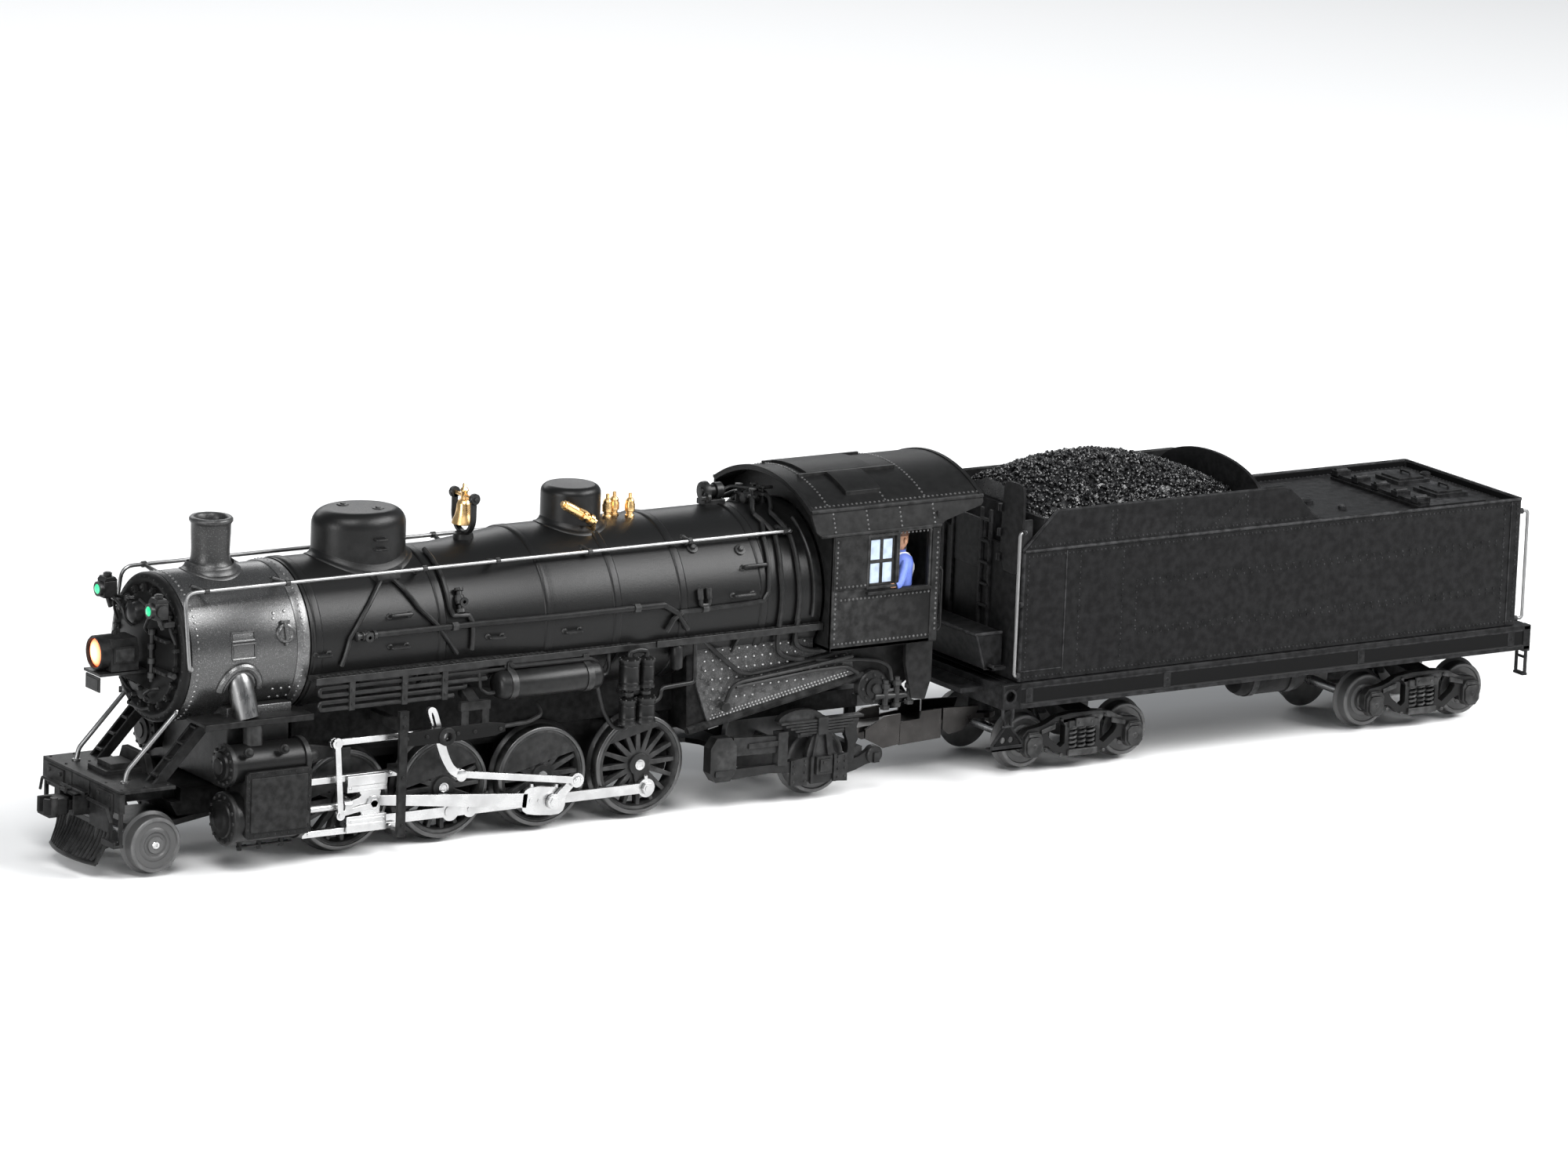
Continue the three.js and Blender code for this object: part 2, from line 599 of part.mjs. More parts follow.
// Sprung arm under the frame with a roller that runs on the centre rail.
const PICKUP_X = -17.7;
const ROLLER_R = 2.6;
function pickupArm() {
  const bridge = block([PICKUP_X - 2.2, PICKUP_X + 9], [-6.6, 6.6], [8.2, 9.4]);
  const cheeks = [-1, 1].map((side) => block(
    [PICKUP_X - 1.8, PICKUP_X + 1.8], onSide(side, [5.4, 6.6]), [1.6, 9],
  ));
  const bores = barY(0.9, [-7, 7], PICKUP_X, ROLLER_R + 0.4);
  return cut(join(bridge, ...cheeks), bores);
}
addPart('pickup_arm', pickupArm(), BRIGHT_STEEL);
addPart('pickup_roller', turned([
  [0, -6.6], [0.7, -6.6], [0.7, -5], [ROLLER_R, -5], [ROLLER_R, 5], [0.7, 5], [0.7, 6.6], [0, 6.6],
], 'y', [0, 0, 0], SMALL), BRIGHT_STEEL, [PICKUP_X, 0, ROLLER_R + 0.4]);

// ---------------------------------------------------------------- boiler, smokebox and front end

// Solid of revolution about the boiler axis.
const aboutBoiler = (profile, sides = BIG) => turned(profile, 'x', [0, 0, BOILER_Z], sides);

// Dome with straight sides and a rounded shoulder, set into the boiler top.
function dome(x, radius, top, squeeze) {
  const shoulder = radius * 0.34;
  const corner = arc([radius - shoulder, 0], shoulder, 0, Math.PI / 2, 3)
    .map(([r, t]) => [r, top - shoulder * 1.05 + t]);
  return turned([
    [0, 82], [radius + 0.1, 82], ...corner, [radius * 0.35, top + 0.25], [0, top + 0.3],
  ], 'z', [x, 0, 0], 14, squeeze);
}

const SAND_DOME_X = -56.8;
const STEAM_DOME_X = 19;

const FIREBOX_SIDE = [
  [49.5, 60], [51, 25], [112.8, 36.5], [112.8, 47.7], [96.6, 47.7], [96.6, 60],
];

function boilerShell() {
  const courses = aboutBoiler([
    [0, BOILER_X[0]], [FRONT_COURSE_R, BOILER_X[0]], [FRONT_COURSE_R, CONE_X[0]],
    [REAR_COURSE_R, CONE_X[1]], [REAR_COURSE_R, BOILER_X[1]], [0, BOILER_X[1]],
  ]);
  const hollow = aboutBoiler([
    [0, BOILER_X[0] - 2], [FRONT_COURSE_R - SHEET, BOILER_X[0] - 2],
    [FRONT_COURSE_R - SHEET, CONE_X[0]], [REAR_COURSE_R - SHEET, CONE_X[1]],
    [REAR_COURSE_R - SHEET, BOILER_X[1] - SHEET], [0, BOILER_X[1] - SHEET],
  ]);
  const outside = join(
    courses,
    plateXZ(FIREBOX_SIDE, [-FIREBOX_HALF, FIREBOX_HALF]),
    dome(SAND_DOME_X, 15.2, 102.3, 0.82),
    dome(STEAM_DOME_X, 9.4, 103.0, 1),
  );
  const inside = FIREBOX_HALF - SHEET;
  return cut(
    outside,
    hollow,
    block([53.4, 94.6], [-inside, inside], [15, 60]),
    block([53.4, 110.8], [-inside, inside], [15, 45.7]),
    block([-84, 54], [-13, 13], [30, 60]),
    block([48, 114], [-11.5, 11.5], [18, 31]),
  );
}

const STACK_X = -108.5;

function smokebox() {
  const tube = aboutBoiler([
    [SMOKEBOX_R - SHEET, SMOKEBOX_X[0]], [SMOKEBOX_R, SMOKEBOX_X[0]],
    [SMOKEBOX_R, SMOKEBOX_X[1]], [SMOKEBOX_R - SHEET, SMOKEBOX_X[1]],
    [SMOKEBOX_R - SHEET, SMOKEBOX_X[0]],
  ]);
  const steamPipes = [-1, 1].map((side) => pipe([
    [-102.5, side * 19.5, 59], [-102.5, side * 22.6, 57], [-102.5, side * 24.6, 52],
    [-102.5, side * 24.6, STEP_Z[1] + GAP],
  ], 3.5));
  const bore = aboutBoiler([
    [0, SMOKEBOX_X[0] - 1], [SMOKEBOX_R - SHEET, SMOKEBOX_X[0] - 1],
    [SMOKEBOX_R - SHEET, SMOKEBOX_X[1] + 1], [0, SMOKEBOX_X[1] + 1],
  ]);
  return cut(join(tube, ...steamPipes), bore, barZ(4.6, [80, 92], STACK_X, 0));
}

function smokeboxFront() {
  const door = aboutBoiler([
    [0, -132.6], [7, -132.2], [13, -131.0], [16.6, -129.6], [17, -128.6], [20.6, -128.6],
    [21.4, -128.9], [SMOKEBOX_R, -128.5], [SMOKEBOX_R, -127.1], [0, -127.1],
  ]);
  const shelf = block([-148.4, -130], [-5.2, 5.2], [58.6, 59.5]);
  const gussets = [-1, 1].map((side) => plateXZ([
    [-140, 58.8], [-130, 58.8], [-130, 53],
  ], onSide(side, [3.4, 4.4])));
  return join(door, shelf, ...gussets);
}

function smokestack() {
  const stack = turned([
    [4.2, 84], [9.4, 84], [9.2, 87.4], [7.3, 88.6], [6.1, 90.2], [5.75, 92.5], [6.05, 98],
    [6.2, 102.4], [6.75, 102.9], [6.75, 103.8], [4.9, 103.8], [4.2, 102.6], [4.2, 84],
  ], 'z', [STACK_X, 0, 0]);
  return cut(stack, aboutBoiler([
    [0, -125], [SMOKEBOX_R + GAP, -125], [SMOKEBOX_R + GAP, -95], [0, -95],
  ]));
}

function headlight() {
  const barrel = barX(5.2, [-147.8, -135.2], 0, BOILER_Z + 0.1, ROUND);
  const housing = block([-145.4, -135.2], [-5.3, 5.3], [59.8, 69.4]);
  const nipple = barZ(0.9, [69, 71.4], -141, 0);
  const bore = barX(4.4, [-149, -141], 0, BOILER_Z + 0.1, ROUND);
  return cut(join(barrel, housing, nipple), bore);
}

addPart('boiler_shell', boilerShell(), SATIN_BLACK);
addPart('smokebox', smokebox(), GRAPHITE);
addPart('smokebox_front', smokeboxFront(), SATIN_BLACK);
addPart('smokestack', smokestack(), GRAPHITE);
addPart('headlight', headlight(), SATIN_BLACK);
addPart('headlight_lens', turned([
  [0, -147.7], [2.6, -147.4], [4.1, -146.8], [4.1, -145.8], [0, -145.8],
], 'x', [0, 0, BOILER_Z + 0.1]), LENS_ORANGE);

// Smoke generator: heater box with a funnel that ends under the stack.
addPart('smoke_unit', join(
  block([-122, -98], [-10, 10], [52, 66]),
  barZ(4.6, [65, 72], STACK_X, 0),
  barZ(3.2, [71, 84], STACK_X, 0),
), BOARD_GREEN);

// ---------------------------------------------------------------- bell

const BELL_X = -19.4;
const BELL_PIVOT_Z = 102.4;

function bellBracket() {
  const ringCentre = [0, 96.5];
  const yoke = plateYZ([
    [-6.3, 103.6], ...arc(ringCentre, 6.3, Math.PI, 2 * Math.PI, 8), [6.3, 103.6],
    [5.0, 103.6], ...arc(ringCentre, 5.0, 2 * Math.PI, Math.PI, 8), [-5.0, 103.6],
  ], [BELL_X - 0.9, BELL_X + 0.9]);
  const foot = barZ(3.2, [89.7, 91], BELL_X, 0);
  const bosses = barY(1.7, [-6.9, 6.9], BELL_X, BELL_PIVOT_Z);
  const throat = barY(2.5, [-5.0, 5.0], BELL_X, BELL_PIVOT_Z);
  const bores = barY(0.8, [-8, 8], BELL_X, BELL_PIVOT_Z);
  return cut(join(yoke, foot, bosses), throat, bores);
}

function bell() {
  const body = turned([
    [0, 95.0], [2.2, 94.2], [3.7, 93.6], [3.6, 94.3], [2.7, 96], [2.3, 99], [1.8, 100.6],
    [1.0, 101.2], [1.0, 104.2], [0.5, 106.2], [0, 106.4],
  ], 'z', [BELL_X, 0, 0], 12);
  return join(body, barY(0.62, [-6.6, 6.6], BELL_X, BELL_PIVOT_Z));
}

addPart('bell_bracket', bellBracket(), SATIN_BLACK);
addPart('bell', bell(), BRASS);

// ---------------------------------------------------------------- cab

const roofArc = (offset) => archOver(...ROOF_SPRING, ROOF_PEAK, offset);

function cab() {
  const [x0, x1] = CAB_X;
  const [springY, springZ] = ROOF_SPRING;
  const roof = plateYZ([...roofArc(0), ...roofArc(CAB_WALL).reverse()], ROOF_X);
  const upperSides = [-1, 1].map((side) => plateYZ([
    [side * CAB_HALF, CAB_EAVE - 0.2], [side * (springY - 0.4), springZ + 0.2],
    [side * (springY - CAB_WALL - 0.4), springZ - 0.4],
    [side * (CAB_HALF - CAB_WALL), CAB_EAVE - 0.2],
  ], [x0 - 4, ROOF_X[1]]));
  const rearTaper = plateXZ([
    [x1, CAB_EAVE - 3], [ROOF_X[1] + 1, CAB_EAVE - 3], [ROOF_X[1] + 1, springZ - 1.6],
    [ROOF_X[1] - 2, springZ - 1.6], [x1 + 1, CAB_EAVE + 1],
  ], [-40, 40]);
  const walls = [-1, 1].map((side) => {
    const limits = onSide(side, [CAB_HALF - CAB_WALL, CAB_HALF]);
    const through = onSide(side, [CAB_HALF - 4, CAB_HALF + 1]);
    return cut(
      block(CAB_X, limits, [CAB_FLOOR, CAB_EAVE]),
      block([110.6, 120.4], through, [68.2, 83.8]),
      block([121.8, 132.8], through, [66.8, 84.8]),
    );
  });
  const section = [
    [-CAB_HALF, CAB_FLOOR], [CAB_HALF, CAB_FLOOR], [CAB_HALF, CAB_EAVE],
    ...roofArc(CAB_WALL / 2), [-CAB_HALF, CAB_EAVE],
  ];
  const front = cut(
    plateYZ(section, [x0, x0 + CAB_WALL]),
    barX(REAR_COURSE_R + GAP, [x0 - 2, x0 + 4], 0, BOILER_Z, BIG),
    block([x0 - 2, x0 + 4], [-22, 22], [CAB_FLOOR + CAB_WALL, 56]),
  );
  const floor = block(CAB_X, [-CAB_HALF, CAB_HALF], [CAB_FLOOR, CAB_FLOOR + CAB_WALL]);
  const aprons = [-1, 1].map((side) => plateXZ([
    [118, CAB_FLOOR + 0.5], [118, 33], [130, 29], [134, 29], [x1, 35], [x1, CAB_FLOOR + 0.5],
  ], onSide(side, [25, 27])));
  const crossApron = block([x1 - 2, x1], [-26, 26], [36, CAB_FLOOR + 0.5]);
  const hatch = block([100, 116], [-9, 9], [100.2, ROOF_PEAK + 0.4]);
  return join(
    cut(join(roof, ...upperSides), rearTaper),
    ...walls, front, floor, ...aprons, crossApron, hatch,
  );
}

// Small standing driver figure, plain features.
function engineerFigure() {
  const [x, y] = [125.4, -24.4];
  const foot = CAB_FLOOR + CAB_WALL + GAP;
  return join(
    barZ(2.1, [foot, foot + 15], x, y, SMALL, 2.6),
    barZ(2.5, [foot + 14.5, foot + 25.5], x, y, SMALL, 3.3),
    barZ(1.1, [foot + 25, foot + 28], x - 0.2, y),
    turned([[0, -2.6], [1.6, -2.1], [2.2, -0.6], [2.2, 0.8], [1.7, 2.3], [0, 2.8]], 'z',
      [x - 0.3, y, foot + 29.6], SMALL),
  );
}

addPart('cab', cab(), SATIN_BLACK);
addPart('engineer_figure', engineerFigure(), FIGURE_BLUE);

// ---------------------------------------------------------------- running boards and air gear

// Running board with the cooling coil and the air reservoir hung below it.
function runningBoard(side) {
  const frontPart = block([-86, 27.1], onSide(side, [15, BOARD_HALF]), BOARD_Z);
  const rearPart = block([35.5, 96.8], onSide(side, [15, BOARD_HALF]), BOARD_Z);
  const bridge = block([20, 40], onSide(side, [15, BOARD_HALF - 0.6]), [54.6, BOARD_Z[1] - 0.3]);
  const tank = barX(4.5, [-22.7, 15], side * 26.8, 48.6, ROUND);
  const hangers = [-15, 8].map((x) => block(
    [x - 1, x + 1], onSide(side, [25.6, 27]), [48, BOARD_Z[0] + 0.5],
  ));
  const coilHangers = [-78, -59, -40].map((x) => block(
    [x - 1.2, x + 1.2], onSide(side, [25.2, 26.6]), [52, BOARD_Z[0] + 0.5],
  ));
  const coil = block([-84, -30], onSide(side, [25.6, 27]), [45.4, 53.4]);
  const clearance = aboutBoiler([
    [0, -90], [FRONT_COURSE_R + GAP, -90], [FRONT_COURSE_R + GAP, CONE_X[0]],
    [REAR_COURSE_R + GAP, CONE_X[1]], [REAR_COURSE_R + GAP, 100], [0, 100],
  ]);
  return cut(
    join(frontPart, rearPart, bridge, tank, ...hangers, ...coilHangers, coil),
    clearance,
    block([48, 100], [-FIREBOX_HALF - GAP, FIREBOX_HALF + GAP], [40, 60]),
  );
}

// Cross-compound air pump: steam end above, air end below, on a mounting plate.
function airPump() {
  const y = -30.0;
  const drum = (x, radius, z0, z1) => barZ(radius, [z0, z1], x, y);
  return join(
    drum(24.4, 3.2, 43, 53.4), drum(30.6, 2.5, 43, 53.2),
    drum(24.2, 2.6, 31.6, 40.6), drum(30.4, 3.3, 31.8, 41),
    block([23.6, 31.4], [y - 0.8, y + 0.8], [39, 45]),
    block([22, 33], [-27.4, -26.6], [32, 53]),
    block([26, 29], [-29, -26.8], [34, 52]),
  );
}

addPart('running_board_left', runningBoard(-1), SATIN_BLACK);
addPart('running_board_right', runningBoard(1), SATIN_BLACK);
addPart('air_pump', airPump(), SATIN_BLACK);

// ---------------------------------------------------------------- pilot and cylinders

function cowcatcher() {
  const [topX, topZ, topHalf] = [-149.6, 14.2, 15.5];
  const [footX, footZ, footHalf] = [-155.4, 3.4, 13.5];
  const slats = [];
  const count = 9;
  for (let i = 0; i <= count; i += 1) {
    const share = 2 * i / count - 1;
    const slat = new THREE.BoxGeometry(1.0, 0.9, Math.hypot(footX - topX, topZ - footZ) + 1);
    slat.rotateY(Math.atan2(topX - footX, topZ - footZ));
    slat.translate((topX + footX) / 2, share * (topHalf + footHalf) / 2, (topZ + footZ) / 2);
    slats.push(toSolid(slat));
  }
  const width = (topHalf + footHalf) / 2 + 0.7;
  return join(
    block([topX - 0.9, topX + 0.9], [-width, width], [topZ - 0.8, topZ + 1.4]),
    block([footX - 0.8, footX + 0.8], [-width, width], [footZ - 0.9, footZ + 0.7]),
    ...slats,
  );
}

function pilot() {
  const deckFront = -151.3;
  const half = 24.2;
  const deck = block([deckFront, -132], [-half, half], [26.8, 27.9]);
  const beam = block([deckFront, deckFront + 2], [-half, half], [20.8, 27.4]);
  const apron = block([deckFront + 0.3, deckFront + 2], [-17, 17], [13.4, 21]);
  const pocket = block([deckFront - 6, deckFront + 4], [-4.8, 4.8], [16, 22.4]);
  const pads = block([-147, -134], [-6.6, 6.6], [23.3, 27]);
  const braces = [-1, 1].map((side) => plateXZ([
    [-138.4, 27], [-134.2, 27], [-118.2, 43.8], [-118.2, 44.7], [-122, 44.7],
  ], onSide(side, [19, 20.2])));
  const treads = [-1, 1].flatMap((side) => [0, 1, 2].map((n) => block(
    [-134.6 + n * 5, -131.8 + n * 5], onSide(side, [15.4, 19.4]), [30 + n * 4.6, 30.8 + n * 4.6],
  )));
  const innerBraces = [-1, 1].map((side) => plateXZ([
    [-138.4, 27], [-134.2, 27], [-118.2, 43.8], [-118.2, 44.7], [-122, 44.7],
  ], onSide(side, [14.8, 15.8])));
  const footSteps = [-1, 1].map((side) => join(
    block([-150.9, -149.7], onSide(side, [22.6, 24]), [11, 21.4]),
    block([-153, -149.7], onSide(side, [19.6, 24]), [10.4, 11.4]),
  ));
  return join(
    cut(join(deck, beam, apron, cowcatcher()), pocket),
    pads, ...braces, ...innerBraces, ...treads, ...footSteps,
  );
}

// Front coupler: closed knuckle head on a shank that swings in the pilot beam.
function frontCoupler() {
  return join(
    block([-164.8, -157.4], [-3.6, 3.6], [16.5, 21.9]),
    block([-158, -147.2], [-1.9, 1.9], [17.6, 20.6]),
    block([-163.2, -158.4], [3.2, 5.0], [17.2, 21.2]),
    barZ(2.0, [17.6, 20.6], -147.4, 0),
  );
}

function cylinderBlock() {
  const [x0, x1] = CYLINDER_X;
  const sides = [-1, 1].flatMap((side) => {
    const y = side * CYLINDER_Y;
    return [
      barX(CYLINDER_R, CYLINDER_X, y, DRIVER_R, ROUND),
      barX(VALVE_R, [x0 + 0.4, x1 + 1.4], y, VALVE_Z, ROUND),
      block([x0 + 6.4, x1 - 1.2], onSide(side, [17, 32.4]), [12.5, 34.5]),
      block([x0 + 5, x1 - 0.6], onSide(side, [30.4, 33.1]), [10.6, 31.5]),
      barZ(3.5, [38, STEP_Z[1]], -102.5, y),
      block([-124, -86.5], onSide(side, [15.2, BOARD_HALF]), STEP_Z),
      block([x1 - 0.5, x1 + 16.5], onSide(side, [23.2, 26.2]), [30.4, 33.4]),
    ];
  });
  const saddle = block([x0 + 5, x1 - 2], [-20, 20], [23.4, 43.4]);
  const boilerSeat = barX(SMOKEBOX_R + GAP, [x0 - 6, x1 + 6], 0, BOILER_Z, BIG);
  const bores = [-1, 1].map((side) => barX(1.9, [-112, x1 + 1], side * CYLINDER_Y, DRIVER_R, SMALL));
  return cut(join(saddle, ...sides), boilerSeat, ...bores);
}

// Guide bars of both sides, carried at their rear ends by one yoke across the locomotive.
function crossheadGuides() {
  const [yokeX0, yokeX1] = [-58.4, -55.6];
  const front = CYLINDER_X[1] + GAP;
  const parts = [-1, 1].flatMap((side) => [
    block([front, yokeX1], onSide(side, GUIDE_Y), GUIDE_UPPER_Z),
    block([front, yokeX1], onSide(side, GUIDE_Y), GUIDE_LOWER_Z),
    block([yokeX0, yokeX1], onSide(side, [GUIDE_Y[0], 31.2]), [GUIDE_UPPER_Z[1] - 0.1, 27]),
    block([yokeX0, yokeX1], onSide(side, [GUIDE_Y[0], 31.2]), [5.4, GUIDE_LOWER_Z[0] + 0.1]),
    block([yokeX0, yokeX1], onSide(side, [29.9, 31.2]), [5.4, 41.2]),
    block([yokeX0 + 1, -20.6], onSide(side, [29.4, 30.6]), [33.4, 37.4]),
    barY(2.7, onSide(side, [29.4, 31.2]), LINK_PIVOT[0] + 1.2, LINK_PIVOT[1]),
    block([-31.5, -28.5], onSide(side, [29.4, 30.6]), [36, 41.2]),
    block([-23.6, -21], onSide(side, [29.4, 30.6]), [36, 41.2]),
    block([-31.5, -21], onSide(side, [29.4, 30.6]), [40.4, 43.4]),
  ]);
  const crossMember = block([yokeX0, yokeX1], [-31.2, 31.2], [38.4, 41.3]);
  const trunnionBores = barY(1.42, [-29.6, 29.6], LINK_PIVOT[0] + 1.2, LINK_PIVOT[1]);
  return cut(join(crossMember, ...parts), trunnionBores);
}

addPart('pilot', pilot(), SATIN_BLACK);
addPart('front_coupler', frontCoupler(), SATIN_BLACK);
addPart('cylinder_block', cylinderBlock(), SATIN_BLACK);
addPart('crosshead_guides', crossheadGuides(), BRIGHT_STEEL);

// ---------------------------------------------------------------- pony and trailing trucks

function ponyFrame() {
  const plate = plateXY([
    [PONY_PIVOT_X + 3.5, -3.5], [PONY_PIVOT_X + 3.5, 3.5], [PONY_PIVOT_X - 8, 4],
    [-126, 11], [-140.4, 11], [-140.4, -11], [-126, -11], [PONY_PIVOT_X - 8, -4],
  ], [11.4, 13.2]);
  const pedestals = [-1, 1].map((side) => block(
    [PONY_X - 3.8, PONY_X + 3.8], onSide(side, [8, 11]), [6.2, 12],
  ));
  const axleSlot = join(
    block([PONY_X - 2, PONY_X + 2], [-12, 12], [5, PONY_R]),
    barY(2, [-12, 12], PONY_X, PONY_R),
  );
  const pivotHole = barZ(2.2, [10, 14], PONY_PIVOT_X, 0);
  return cut(join(plate, ...pedestals), axleSlot, pivotHole);
}

// Trailing truck: cast side frames outside the wheels, joined by a tongue and a rear cross bar.
function trailingFrame() {
  const sideOutline = [
    [62, 8.6], [62, 18.6], [70, 19.4], [86, 18.2], [89, 20.6], [112, 20.6], [114, 15],
    [121, 13.4], [123, 10.4], [121, 8.6], [116, 10], [113, 10], [108, 6.6], [106.4, 3.8],
    [95.2, 3.8], [93, 8.2], [88, 9.6], [72, 9.2], [70, 8.6],
  ];
  const opening = [[73, 11.6], [88, 12.2], [88, 15.4], [73, 16.4]];
  const sides = [-1, 1].map((side) => cut(
    plateXZ(sideOutline, onSide(side, [21.2, 24.2])),
    plateXZ(opening, onSide(side, [20, 26])),
  ));
  const boxes = [-1, 1].map((side) => block(
    [TRAILING_X - 3.4, TRAILING_X + 3.4], onSide(side, [23.5, 26.2]), [5.4, 13.6],
  ));
  const tongue = plateXY([
    [TRAILING_PIVOT_X - 3.5, -3.5], [TRAILING_PIVOT_X - 3.5, 3.5], [62, 8], [64, 24], [70, 24],
    [70, -24], [64, -24], [62, -8],
  ], [17.6, 19.2]);
  const rearBar = block([113, 116], [-23, 23], [11.4, 14.4]);
  const rockers = [-1, 1].map((side) => block([92, 110], onSide(side, [15, 24]), [19.8, 21.6]));
  const upper = cut(
    join(...sides, ...boxes, tongue, rearBar, ...rockers),
    barY(1.5, [-24.5, 24.5], TRAILING_X, TRAILING_R),
  );
  return cut(upper, barZ(2.4, [16, 21], TRAILING_PIVOT_X, 0),
    barY(TRAILING_R + 2.6, [-20.4, 20.4], TRAILING_X, TRAILING_R, ROUND));
}

addPart('pony_frame', ponyFrame(), SATIN_BLACK);
addPart('trailing_frame', trailingFrame(), SATIN_BLACK);

// ---------------------------------------------------------------- drawbar and tender

function drawbar() {
  const [x0, x1] = DRAWBAR_X;
  const [z0, z1] = [DRAWBAR_Z - 0.9, DRAWBAR_Z + 0.9];
  const bar = join(
    block([x0, x1], [-4, 4], [z0, z1]),
    barZ(5, [z0, z1], x0, 0),
    barZ(5, [z0, z1], x1, 0),
    block([144, 160], [-6.5, 6.5], [z0, z1]),
  );
  return cut(bar, barZ(2.4, [z0 - 1, z1 + 1], x0, 0), barZ(2.4, [z0 - 1, z1 + 1], x1, 0));
}
addPart('drawbar', drawbar(), BRIGHT_STEEL);

// Tender body: open-bottomed water tank with the coal bunker recessed into its front half.
function tenderShell() {
  const [x0, x1] = TENDER_X;
  const wall = 1.6;
  const bunkerTop = 86.3;
  const tank = cut(
    block(TENDER_X, [-TENDER_HALF, TENDER_HALF], TENDER_Z),
    block([x0 + wall, x1 - wall], [wall - TENDER_HALF, TENDER_HALF - wall], [30, DECK_Z - wall]),
    block([262, x1 - wall], [wall - TENDER_HALF, TENDER_HALF - wall], [DECK_Z, 80]),
    block([x0 + 9, 262], [-25, 25], [64, 80]),
  );
  const bunkerFloor = block([x0 + 8, 263], [-26, 26], [62, 64.2]);
  const boards = [-1, 1].map((side) => plateXZ([
    [x0, TENDER_Z[1] - 1], [181.2, bunkerTop], [BUNKER_END - 14, bunkerTop],
    ...arc([BUNKER_END - 14, bunkerTop - 6], 6, Math.PI / 2, 0.5, 4),
    ...arc([BUNKER_END + 1.6, 80.4], 6, Math.PI + 0.5, 1.5 * Math.PI, 4).map(([x, z]) => [x, z - 0.2]),
    [BUNKER_END + 1.6, TENDER_Z[1] - 1],
  ], onSide(side, [TENDER_HALF - 1.3, TENDER_HALF - 0.1])));
  const rearBulkhead = plateYZ([
    [-30.9, 70], [30.9, 70], ...archOver(30.9, 76, 92.5, 0, 12),
  ], [262.4, 263.6]);
  const frontBulkhead = block([x0 + 8, x0 + 9.4], [-31, 31], [62, 84]);
  const gates = [-1, 1].map((side) => plateYZ([
    [side * 12, 68], [side * 12, 87], [side * 15, 92], [side * 22, 92], [side * 24, 90],
    [side * 24, 68],
  ], [x0, x0 + 1.4]));
  const filler = join(
    block([321, 347], [-9, 9], [DECK_Z - 0.5, 75.6]),
    barZ(6, [DECK_Z - 0.5, 76.4], 340, 0),
  );
  return join(tank, bunkerFloor, ...boards, rearBulkhead, frontBulkhead, ...gates, filler);
}

function tenderFrame() {
  const [x0, x1] = SILL_X;
  const half = TENDER_HALF + 1;
  const tray = cut(
    block(SILL_X, [-half, half], SILL_Z),
    block([x0 + 3, x1 - 3], [3 - half, half - 3], [SILL_Z[0] - 1, SILL_Z[1] - 2.4]),
  );
  const bolsters = TRUCK_X.map((x) => barZ(7, [19.4, 30], x, 0));
  const pins = TRUCK_X.map((x) => barZ(2.2, [11.8, 20], x, 0));
  const drawbarBoss = join(
    barZ(4, [15.6, 30], DRAWBAR_X[1], 0), barZ(2.0, [11.5, 17], DRAWBAR_X[1], 0),
  );
  const couplerBoss = barZ(3, [20.2, 30], 358, 0);
  const tank = barX(7, [262, 290], -17, 21.5, 18);
  const tankBracket = block([270, 282], [-20, -14], [20, 30]);
  const frontSteps = [-1, 1].map((side) => join(
    block([x0 + 0.6, x0 + 2], onSide(side, [half - 4, half]), [9.5, 25]),
    block([x0 - 2, x0 + 3], onSide(side, [half - 5, half]), [8.6, 9.8]),
  ));
  const rearSteps = [-1, 1].map((side) => join(
    block([x1 - 2, x1 - 0.6], onSide(side, [half - 4, half]), [14.6, 25]),
    block([x1 - 2.4, x1], onSide(side, [half - 5, half]), [14, 15.2]),
  ));
  const frontPorch = block([153.4, x0 + 3.4], [-22, 22], [27.4, 29]);
  const porchBoxes = [-1, 1].map((side) => plateXZ([
    [153.6, 48], [165.8, 48], [165.8, 28.6], [158, 28.6],
  ], onSide(side, [12, 21])));
  const switchSlot = block([228, 236], [-2.5, 2.5], [27, 33]);
  return cut(
    join(tray, ...bolsters, ...pins, drawbarBoss, couplerBoss, tank, tankBracket,
      ...frontSteps, ...rearSteps, frontPorch, ...porchBoxes),
    switchSlot,
  );
}

// Coal heap: a crowned mound that fills the bunker.
function coalLoad() {
  const mound = new THREE.BoxGeometry(1, 1, 1, 8, 6, 1);
  const [x0, x1] = [178.6, 261.4];
  const position = mound.attributes.position;
  for (let i = 0; i < position.count; i += 1) {
    const along = position.getX(i) + 0.5;
    const across = position.getY(i) * 2;
    const crown = Math.sin(Math.PI * Math.min(1, 0.24 + along * 0.66)) * (1 - 0.72 * across ** 2);
    const top = 78 + 19.4 * crown;
    const isTop = position.getZ(i) > 0;
    position.setXYZ(i, x0 + (x1 - x0) * along, across * 24.4, isTop ? top : 65);
  }
  return toSolid(mound);
}

addPart('tender_shell', tenderShell(), TENDER_BLACK);
addPart('tender_frame', tenderFrame(), TENDER_BLACK);
addPart('coal_load', coalLoad(), COAL_BLACK);

